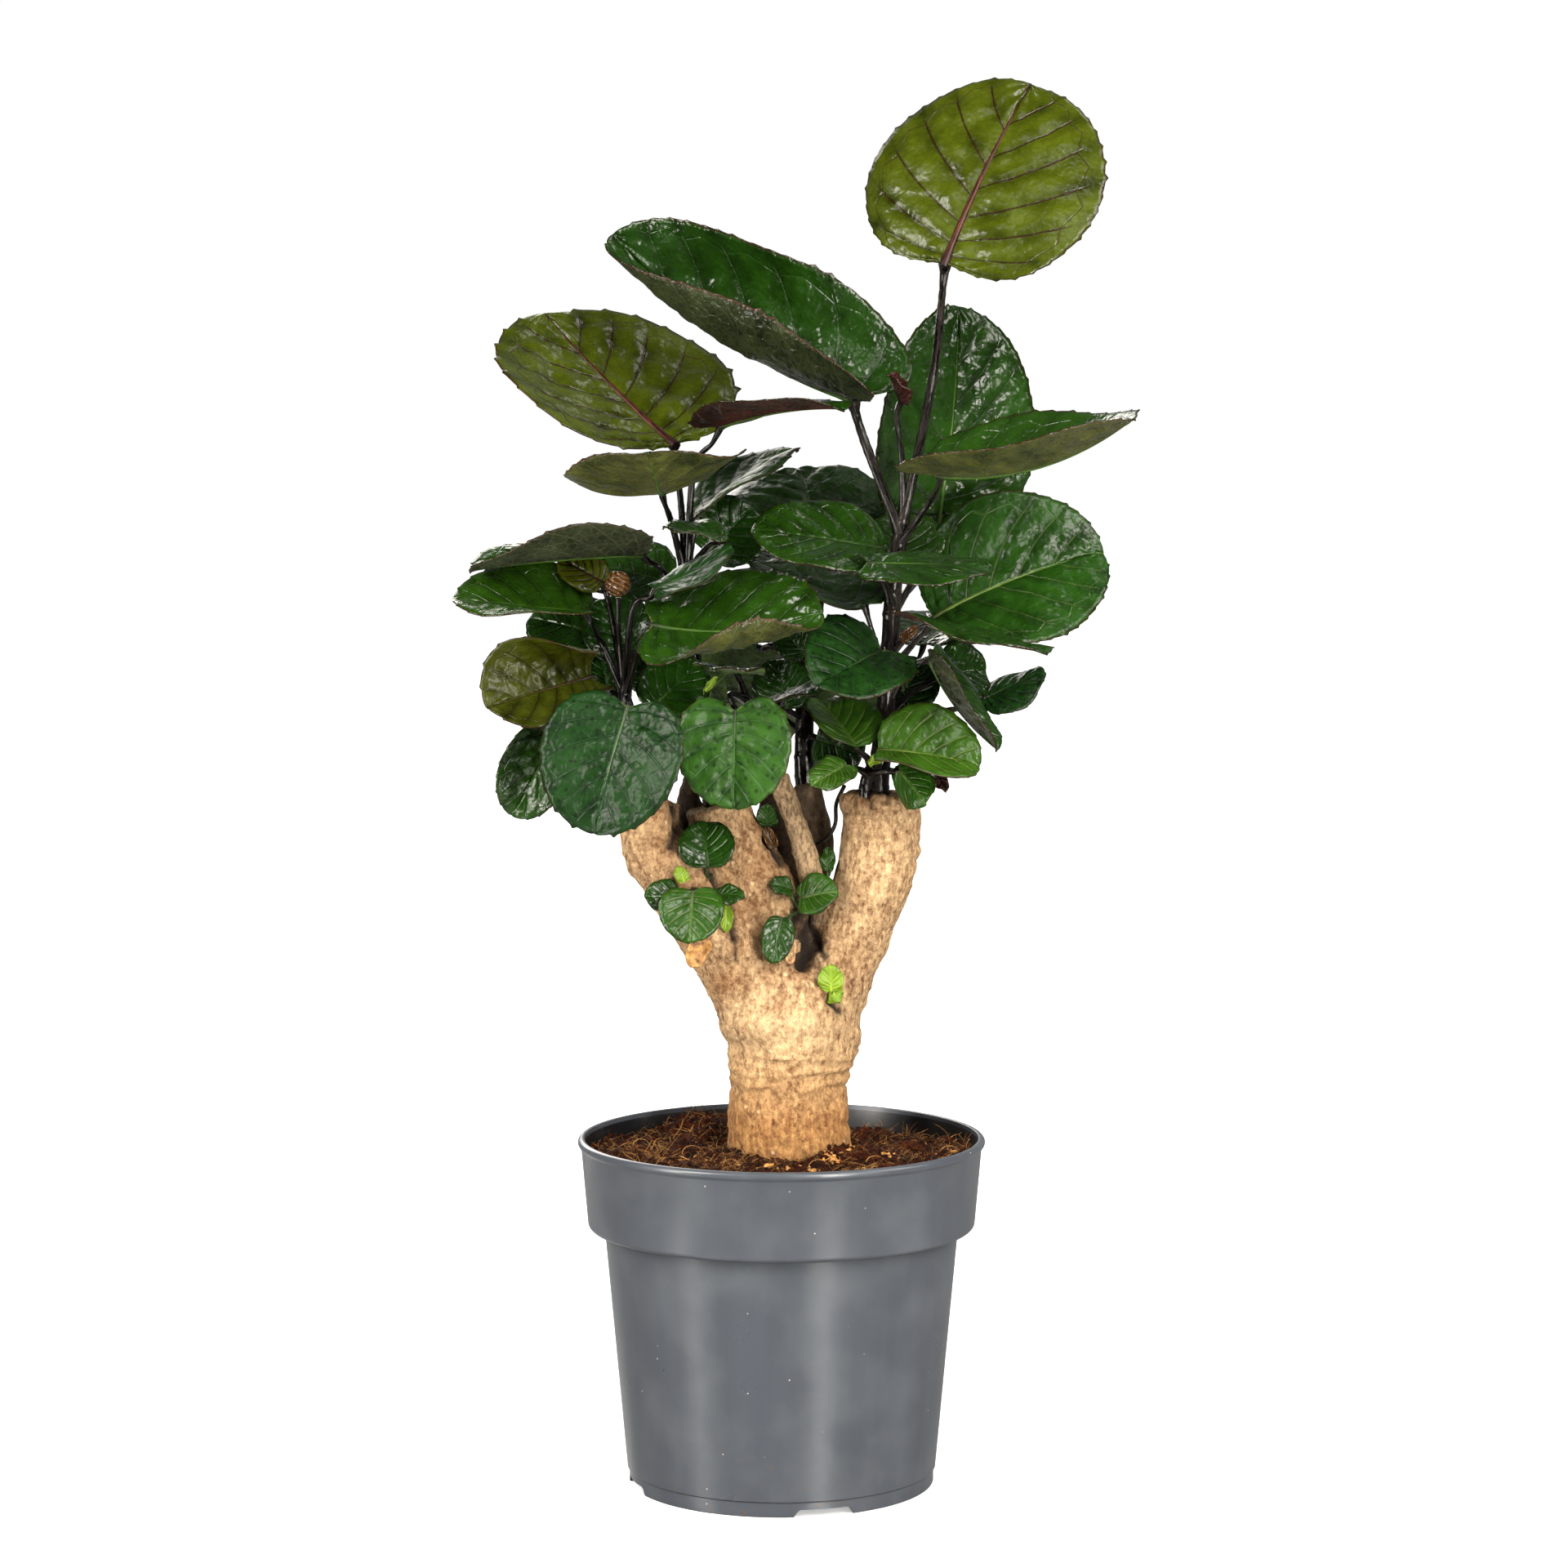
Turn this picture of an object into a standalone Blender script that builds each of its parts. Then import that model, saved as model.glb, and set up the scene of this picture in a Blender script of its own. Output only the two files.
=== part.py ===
"""Potted polyscias with a stump-like trunk, dark shoots and round leaves, in a grower's pot.

Metres, +Z up, the pot's bottom centre at the origin, the front towards -Y.
Stems and leaves are laid out from the front view: a place is given as its column and
row in that view (a 1920 unit square frame) and its depth behind the pot's axis in mm.
"""

import math

import bmesh
import bpy
from mathutils import Vector
from mathutils.bvhtree import BVHTree

for old in list(bpy.data.objects):
    bpy.data.objects.remove(old, do_unlink=True)

MM = 0.001

# Front view that the layout is measured in
VIEW_DISTANCE = 2.4913
VIEW_HEIGHT = 0.6481
VIEW_SIDE = 0.0015
VIEW_TILT = 0.0936
VIEW_FOCAL = 5236.0
VIEW_CENTRE = 960.0

# Pot, in metres
POT_HEIGHT = 0.2058
RIM_RADIUS = 0.1200
RIM_BEAD = 0.0026
BAND_TOP_RADIUS = 0.1180
BAND_BOTTOM_RADIUS = 0.1142
BAND_BOTTOM = 0.1527
BODY_TOP_RADIUS = 0.1044
BODY_FOOT_RADIUS = 0.0909
FOOT_RADIUS = 0.0901
FOOT_HEIGHT = 0.0090
FLOOR_UNDER = 0.0055
FLOOR_TOP = 0.0078
WALL = 0.0020
POT_SIDES = 40
NOTCH_WIDTH = 0.0330
NOTCH_HEIGHT = 0.0045
NOTCH_TURN = math.radians(16.0)
DRAIN_RADIUS = 0.0055
DRAIN_CIRCLE = 0.0620
DRAIN_COUNT = 8

# Soil
FIT_GAP = 0.0003
SOIL_LEVEL = 0.1985
SOIL_RINGS = 6
SOIL_SPOKES = 32
HOLE_RADIUS = 0.0372
HOLE_FLOOR = 0.1480
BURIED_RADIUS = 0.0355
TRUNK_X = 0.0049

# Wood and leaves
VOXEL = 0.0032
TRUNK_FACES = 1540
BLADE = 0.0010
SOCKET_GAP = 0.00035
SPRIG_DEPTH = 0.0035
SPRIG_RADIUS = 0.0013
PETIOLE_TIP_RADIUS = 0.0011
VEIN_SWEEP = 2.2
SINUS_WIDTH = 0.36
TOOTH = 0.010
WAVE = 0.0012
WAVES = 2.5


def seen(column, row, depth):
    """Point on the line of sight through a place of the front view, at a depth in mm."""
    across = (column - VIEW_CENTRE) / VIEW_FOCAL
    upward = (VIEW_CENTRE - row) / VIEW_FOCAL
    ray = Vector((
        across,
        math.cos(VIEW_TILT) + upward * math.sin(VIEW_TILT),
        -math.sin(VIEW_TILT) + upward * math.cos(VIEW_TILT),
    ))
    eye = Vector((VIEW_SIDE, -VIEW_DISTANCE, VIEW_HEIGHT))
    return eye + ray * ((depth * MM + VIEW_DISTANCE) / ray.y)


def reach(start, column, row, length, far):
    """Point on a line of sight at a given length from the start, on its far or near side."""
    a = seen(column, row, 0.0)
    eye = Vector((VIEW_SIDE, -VIEW_DISTANCE, VIEW_HEIGHT))
    ray = (a - eye).normalized()
    along = (start - eye).dot(ray)
    foot = eye + ray * along
    miss = (foot - start).length
    rest = math.sqrt(max(length * length - miss * miss, 0.0))
    point = foot + ray * (rest if far else -rest)
    return start + (point - start).normalized() * length


def material(name, color, roughness, coat=0.0):
    mat = bpy.data.materials.new(name)
    mat.use_nodes = True
    shader = mat.node_tree.nodes["Principled BSDF"]
    shader.inputs["Base Color"].default_value = (*color, 1.0)
    shader.inputs["Roughness"].default_value = roughness
    shader.inputs["Coat Weight"].default_value = coat
    mat.diffuse_color = (*color, 1.0)
    return mat


def solid(name, verts, faces, mat):
    mesh = bpy.data.meshes.new(name)
    mesh.from_pydata([tuple(v) for v in verts], [], faces)
    mesh.materials.append(mat)
    mesh.update()
    obj = bpy.data.objects.new(name, mesh)
    bpy.context.scene.collection.objects.link(obj)
    return obj


def settle(obj):
    """Replace the mesh with the result of its modifiers."""
    graph = bpy.context.evaluated_depsgraph_get()
    made = bpy.data.meshes.new_from_object(obj.evaluated_get(graph))
    obj.modifiers.clear()
    obj.data = made


def carve(obj, cutters):
    for number, cutter in enumerate(cutters):
        cutter.hide_render = True
        cutter.display_type = "WIRE"
        cut = obj.modifiers.new(f"cut_{number}", "BOOLEAN")
        cut.operation = "DIFFERENCE"
        cut.solver = "EXACT"
        cut.object = cutter
    settle(obj)
    for cutter in cutters:
        bpy.data.objects.remove(cutter, do_unlink=True)


def fuse(name, parts, mat):
    """Join overlapping solids into one body with a Boolean union."""
    main = parts[0]
    if len(parts) > 1:
        group = bpy.data.collections.new(name + "_parts")
        bpy.context.scene.collection.children.link(group)
        for part in parts[1:]:
            group.objects.link(part)
            bpy.context.scene.collection.objects.unlink(part)
        join = main.modifiers.new("join", "BOOLEAN")
        join.operation = "UNION"
        join.solver = "EXACT"
        join.operand_type = "COLLECTION"
        join.collection = group
        settle(main)
        for part in parts[1:]:
            bpy.data.objects.remove(part, do_unlink=True)
        bpy.data.collections.remove(group)
    main.name = name
    main.data.name = name
    main.data.materials.clear()
    main.data.materials.append(mat)
    for face in main.data.polygons:
        face.material_index = 0
    return main


def soften(obj, degrees):
    mesh = obj.data
    mesh.polygons.foreach_set("use_smooth", [True] * len(mesh.polygons))
    mesh.set_sharp_from_angle(angle=math.radians(degrees))


def lathe(name, profile, sides, mat):
    """Solid of revolution of a profile that starts and ends on the axis."""
    verts = [(0.0, 0.0, profile[0][1])]
    rings = profile[1:-1]
    for radius, z in rings:
        for k in range(sides):
            turn = 2.0 * math.pi * k / sides
            verts.append((radius * math.cos(turn), radius * math.sin(turn), z))
    verts.append((0.0, 0.0, profile[-1][1]))
    last = len(verts) - 1
    faces = []
    for k in range(sides):
        n = (k + 1) % sides
        faces.append((0, 1 + k, 1 + n))
        end = 1 + (len(rings) - 1) * sides
        faces.append((end + n, end + k, last))
        for ring in range(len(rings) - 1):
            a = 1 + ring * sides
            b = a + sides
            faces.append((a + k, b + k, b + n, a + n))
    return solid(name, verts, faces, mat)


def curve_points(points, step):
    """Smooth curve through points of (position, radius), by rounded spans."""
    out = []
    for i in range(len(points) - 1):
        p0 = points[max(i - 1, 0)]
        p1 = points[i]
        p2 = points[i + 1]
        p3 = points[min(i + 2, len(points) - 1)]
        span = (p2[0] - p1[0]).length
        count = max(1, round(span / step))
        for k in range(count):
            t = k / count
            t2 = t * t
            t3 = t2 * t
            place = 0.5 * (
                p1[0] * 2.0
                + (p2[0] - p0[0]) * t
                + (p0[0] * 2.0 - p1[0] * 5.0 + p2[0] * 4.0 - p3[0]) * t2
                + (p1[0] * 3.0 - p0[0] - p2[0] * 3.0 + p3[0]) * t3
            )
            blend = t * t * (3.0 - 2.0 * t)
            out.append((place, p1[1] + (p2[1] - p1[1]) * blend))
    out.append(points[-1])
    return out


def tube(name, points, sides, mat, turn=0.0):
    """Closed round bar along points of (position, radius)."""
    verts = []
    faces = []
    tangent = (points[1][0] - points[0][0]).normalized()
    helper = Vector((0.0, 1.0, 0.0)) if abs(tangent.z) > 0.5 else Vector((0.0, 0.0, 1.0))
    side = tangent.cross(helper).normalized()
    for i, (place, radius) in enumerate(points):
        before = points[max(i - 1, 0)][0]
        after = points[min(i + 1, len(points) - 1)][0]
        tangent = (after - before).normalized()
        side = (side - tangent * side.dot(tangent)).normalized()
        other = tangent.cross(side)
        for k in range(sides):
            a = turn + 2.0 * math.pi * k / sides
            verts.append(place + (side * math.cos(a) + other * math.sin(a)) * radius)
    for i in range(len(points) - 1):
        for k in range(sides):
            n = (k + 1) % sides
            a = i * sides
            b = a + sides
            faces.append((a + k, a + n, b + n, b + k))
    faces.append(tuple(reversed(range(sides))))
    top = (len(points) - 1) * sides
    faces.append(tuple(range(top, top + sides)))
    return solid(name, verts, faces, mat)


# Materials
POT_PLASTIC = material("pot_grey_polypropylene", (0.115, 0.125, 0.140), 0.42)
COCO_PEAT = material("coco_peat_soil", (0.075, 0.036, 0.020), 0.95)
BARK = material("tan_bark", (0.560, 0.370, 0.200), 0.80)
STEM_SKIN = material("dark_purple_stem_skin", (0.030, 0.020, 0.028), 0.40)
LEAF_GREEN = material("glossy_dark_green_leaf", (0.020, 0.095, 0.012), 0.30, 0.3)
LEAF_YOUNG = material("young_yellow_green_leaf", (0.130, 0.210, 0.012), 0.30, 0.3)
LEAF_BLOOM = material("dusty_blue_green_leaf", (0.030, 0.095, 0.040), 0.42, 0.1)
SPROUT_LIME = material("fresh_lime_sprout", (0.330, 0.520, 0.020), 0.40)
LEAF_BROWN = material("curled_brown_young_leaf", (0.110, 0.050, 0.018), 0.30, 0.3)
LEAF_DRY = material("dried_amber_leaf", (0.420, 0.180, 0.045), 0.60)


# Pot
def pot_profile():
    rim = POT_HEIGHT - RIM_BEAD
    band_in = BAND_TOP_RADIUS - WALL
    step_in = BAND_BOTTOM_RADIUS - WALL
    return [
        (0.0, FLOOR_TOP),
        (BODY_FOOT_RADIUS - WALL - 0.0035, FLOOR_TOP),
        (BODY_FOOT_RADIUS - WALL, FLOOR_TOP + 0.0035),
        (BODY_TOP_RADIUS - WALL, BAND_BOTTOM + WALL),
        (step_in, BAND_BOTTOM + WALL),
        (band_in - 0.0004, rim),
        (band_in + 0.0004, rim + 0.0018),
        (RIM_RADIUS - RIM_BEAD, POT_HEIGHT),
        (RIM_RADIUS - 0.0009, rim + 0.0019),
        (RIM_RADIUS, rim),
        (RIM_RADIUS - 0.0008, rim - 0.0018),
        (BAND_TOP_RADIUS + 0.0002, rim - 0.0028),
        (BAND_BOTTOM_RADIUS, BAND_BOTTOM + 0.0034),
        (BAND_BOTTOM_RADIUS - 0.0010, BAND_BOTTOM + 0.0010),
        (BAND_BOTTOM_RADIUS - 0.0034, BAND_BOTTOM),
        (BODY_TOP_RADIUS, BAND_BOTTOM),
        (BODY_FOOT_RADIUS + 0.0004, FOOT_HEIGHT + 0.0006),
        (FOOT_RADIUS, FOOT_HEIGHT - 0.0006),
        (FOOT_RADIUS, 0.0008),
        (FOOT_RADIUS - 0.0008, 0.0),
        (FOOT_RADIUS - 0.0030, 0.0),
        (FOOT_RADIUS - 0.0030, FLOOR_UNDER),
        (0.0, FLOOR_UNDER),
    ]


def block(name, centre, size, turn):
    half = [s / 2.0 for s in size]
    verts = []
    for x in (-half[0], half[0]):
        for y in (-half[1], half[1]):
            for z in (-half[2], half[2]):
                verts.append((
                    centre[0] + x * math.cos(turn) - y * math.sin(turn),
                    centre[1] + x * math.sin(turn) + y * math.cos(turn),
                    centre[2] + z,
                ))
    faces = [(0, 1, 3, 2), (4, 6, 7, 5), (0, 4, 5, 1), (2, 3, 7, 6), (0, 2, 6, 4), (1, 5, 7, 3)]
    return solid(name, verts, faces, POT_PLASTIC)


pot = lathe("pot", pot_profile(), POT_SIDES, POT_PLASTIC)
cutters = []
for k in range(4):
    heading = -math.pi / 2.0 + NOTCH_TURN + k * math.pi / 2.0
    middle = FOOT_RADIUS - 0.0015
    cutters.append(block(
        f"notch_{k}",
        (middle * math.cos(heading), middle * math.sin(heading), NOTCH_HEIGHT / 2.0 - 0.002),
        (0.014, NOTCH_WIDTH, NOTCH_HEIGHT + 0.004),
        heading,
    ))
for k in range(DRAIN_COUNT):
    heading = 2.0 * math.pi * (k + 0.5) / DRAIN_COUNT
    x = DRAIN_CIRCLE * math.cos(heading)
    y = DRAIN_CIRCLE * math.sin(heading)
    cutters.append(tube(
        f"drain_{k}",
        [(Vector((x, y, FLOOR_UNDER - 0.003)), DRAIN_RADIUS),
         (Vector((x, y, FLOOR_TOP + 0.003)), DRAIN_RADIUS)],
        8,
        POT_PLASTIC,
    ))
carve(pot, cutters)
soften(pot, 35)


# Soil
def soil_height(x, y):
    """Uneven top of the peat: lower at the back right, heaped at the back left."""
    r = math.hypot(x, y)
    z = SOIL_LEVEL
    z -= 0.0075 * max(0.0, y) / 0.115
    z -= 0.0030 * max(0.0, x) * max(0.0, y) / 0.0066
    z += 0.0070 * math.exp(-((x + 0.047) ** 2 + (y - 0.088) ** 2) / 0.0011)
    z += 0.0030 * math.exp(-((x - 0.048) ** 2 + (y + 0.030) ** 2) / 0.0009)
    z += 0.0012 * math.sin(95.0 * x + 1.0) * math.sin(83.0 * y + 0.4)
    z += 0.0009 * math.sin(190.0 * x - 70.0 * y)
    return z - 0.0015 * (r / 0.115) ** 4


def band_bore(z):
    """Radius that fits inside the pot's band at a height, with the fitting gap."""
    rise = (z - BAND_BOTTOM - WALL) / (POT_HEIGHT - RIM_BEAD - BAND_BOTTOM - WALL)
    wall = BAND_BOTTOM_RADIUS + (BAND_TOP_RADIUS - BAND_BOTTOM_RADIUS) * rise - WALL
    return (wall - 0.0004) * math.cos(math.pi / POT_SIDES) - FIT_GAP


def soil_solid():
    inner = BODY_TOP_RADIUS - WALL - 2.0 * FIT_GAP
    wide = band_bore(BAND_BOTTOM + WALL) - FIT_GAP
    base = BODY_FOOT_RADIUS - WALL - 2.0 * FIT_GAP
    verts = [(0.0, 0.0, soil_height(0.0, 0.0))]
    faces = []
    for ring in range(1, SOIL_RINGS + 1):
        for k in range(SOIL_SPOKES):
            turn = 2.0 * math.pi * (k + 0.5 * (ring % 2)) / SOIL_SPOKES
            level = soil_height(BAND_BOTTOM_RADIUS * math.cos(turn), BAND_BOTTOM_RADIUS * math.sin(turn))
            radius = band_bore(level) * ring / SOIL_RINGS
            x = radius * math.cos(turn)
            y = radius * math.sin(turn)
            z = level if ring == SOIL_RINGS else soil_height(x, y)
            verts.append((x, y, z))
    wall = [
        (wide, BAND_BOTTOM + WALL + FIT_GAP),
        (inner, BAND_BOTTOM + WALL + FIT_GAP),
        (base, FLOOR_TOP + 0.0040),
        (base - 0.0038, FLOOR_TOP + FIT_GAP),
    ]
    for radius, z in wall:
        for k in range(SOIL_SPOKES):
            turn = 2.0 * math.pi * (k + 0.5 * (SOIL_RINGS % 2)) / SOIL_SPOKES
            verts.append((radius * math.cos(turn), radius * math.sin(turn), z))
    verts.append((0.0, 0.0, FLOOR_TOP + FIT_GAP))
    last = len(verts) - 1
    rows = SOIL_RINGS + len(wall)
    for k in range(SOIL_SPOKES):
        n = (k + 1) % SOIL_SPOKES
        faces.append((0, 1 + k, 1 + n))
        end = 1 + (rows - 1) * SOIL_SPOKES
        faces.append((end + n, end + k, last))
        for row in range(rows - 1):
            a = 1 + row * SOIL_SPOKES
            b = a + SOIL_SPOKES
            if row < SOIL_RINGS - 1 and row % 2 == 1:
                faces.append((a + k, b + k, a + n))
                faces.append((a + n, b + k, b + n))
            elif row < SOIL_RINGS - 1:
                faces.append((a + k, b + k, b + n))
                faces.append((a + k, b + n, a + n))
            else:
                faces.append((a + k, b + k, b + n, a + n))
    return solid("soil", verts, faces, COCO_PEAT)


soil = soil_solid()
hole = tube(
    "trunk_hole",
    [(Vector((TRUNK_X, 0.0, HOLE_FLOOR)), HOLE_RADIUS),
     (Vector((TRUNK_X, 0.0, SOIL_LEVEL + 0.030)), HOLE_RADIUS)],
    28,
    COCO_PEAT,
)
carve(soil, [hole])
soften(soil, 60)

# Trunk limbs: column, row, depth in mm, radius in mm
LIMBS = {
    "foot": [(967, 1440, 0, 36.5), (967, 1405, 0, 36.8), (965, 1370, 0, 35.4),
             (965, 1330, 0, 34.6), (966, 1300, 0, 35.8), (971, 1270, 0, 39.6),
             (966, 1238, 0, 43.0), (958, 1208, 0, 38.0), (948, 1185, 0, 32.0)],
    "left": [(958, 1262, -2, 32.0), (936, 1216, -4, 31.0), (890, 1155, -8, 24.4),
             (863, 1117, -10, 23.6), (835, 1077, -12, 22.6), (813, 1052, -13, 20.8),
             (798, 1028, -13, 19.2), (797, 1003, -12, 17.0), (803, 975, -10, 15.5)],
    "middle": [(958, 1240, 4, 35.0), (948, 1190, 3, 33.0), (938, 1145, 3, 29.0),
               (924, 1090, 4, 24.5), (906, 1050, 5, 22.5), (886, 1015, 6, 20.5),
               (877, 985, 6, 19.6)],
    "right": [(978, 1262, 0, 32.0), (1003, 1206, 0, 30.0), (1038, 1152, -2, 23.5),
              (1054, 1116, -3, 22.0), (1069, 1078, -4, 22.8), (1076, 1046, -4, 23.2),
              (1079, 1018, -4, 23.2), (1080, 990, -4, 23.0), (1081, 970, -4, 20.5)],
    "cane": [(985, 1150, -8, 8.5), (995, 1100, -9, 7.4), (991, 1065, -9, 7.2),
             (978, 1020, -8, 7.0), (965, 985, -8, 6.7), (954, 950, -8, 6.3)],
    "dark_back": [(975, 1130, 26, 16.0), (992, 1080, 28, 11.0), (1001, 1040, 30, 10.0),
                  (996, 1000, 31, 9.5), (986, 962, 32, 9.0)],
    "stub": [(960, 1190, -22, 8.0), (970, 1164, -29, 6.0), (972, 1152, -31, 5.2)],
    "elbow_knot": [(790, 1048, -14, 16.0), (776, 1038, -14, 10.0)],
    "right_knot": [(1036, 1266, 0, 16.0), (1045, 1266, 0, 7.0)],
    "limb_knot": [(1092, 1082, -4, 14.0), (1104, 1076, -4, 9.0)],
    "crown_knot": [(1045, 985, -6, 11.0), (1036, 996, -8, 6.5)],
}

# Dark shoots: column, row, depth and radius; the first point lies in its socket in the wood
STEMS = {
    "left": [(803, 992, -10, 5.2), (800, 965, -10, 5.2), (784, 918, -13, 4.6),
             (768, 868, -16, 4.2), (764, 842, -17, 3.4)],
    "middle": [(876, 1005, 6, 6.2), (872, 965, 6, 6.0), (858, 880, 6, 5.2),
               (848, 800, 4, 4.8), (842, 740, 2, 4.4), (839, 692, 0, 3.6)],
    "cane": [(956, 962, -8, 4.2), (952, 940, -8, 4.2), (938, 896, -9, 3.8),
             (920, 866, -10, 3.4), (910, 850, -11, 2.8)],
    "back": [(989, 975, 32, 6.0), (985, 940, 33, 6.0), (986, 860, 36, 5.2),
             (994, 780, 38, 4.8), (1002, 720, 40, 4.4), (1006, 690, 42, 3.6)],
    "right": [(1076, 990, -4, 6.4), (1076, 955, -4, 6.2), (1081, 900, -4, 5.8),
              (1087, 840, -4, 5.4), (1090, 780, -4, 5.2), (1094, 720, -4, 5.0),
              (1100, 670, -4, 4.8), (1106, 636, -4, 3.8)],
    "low_right": [(1058, 990, -16, 3.4), (1060, 958, -17, 3.4), (1068, 934, -21, 2.6)],
}

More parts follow.
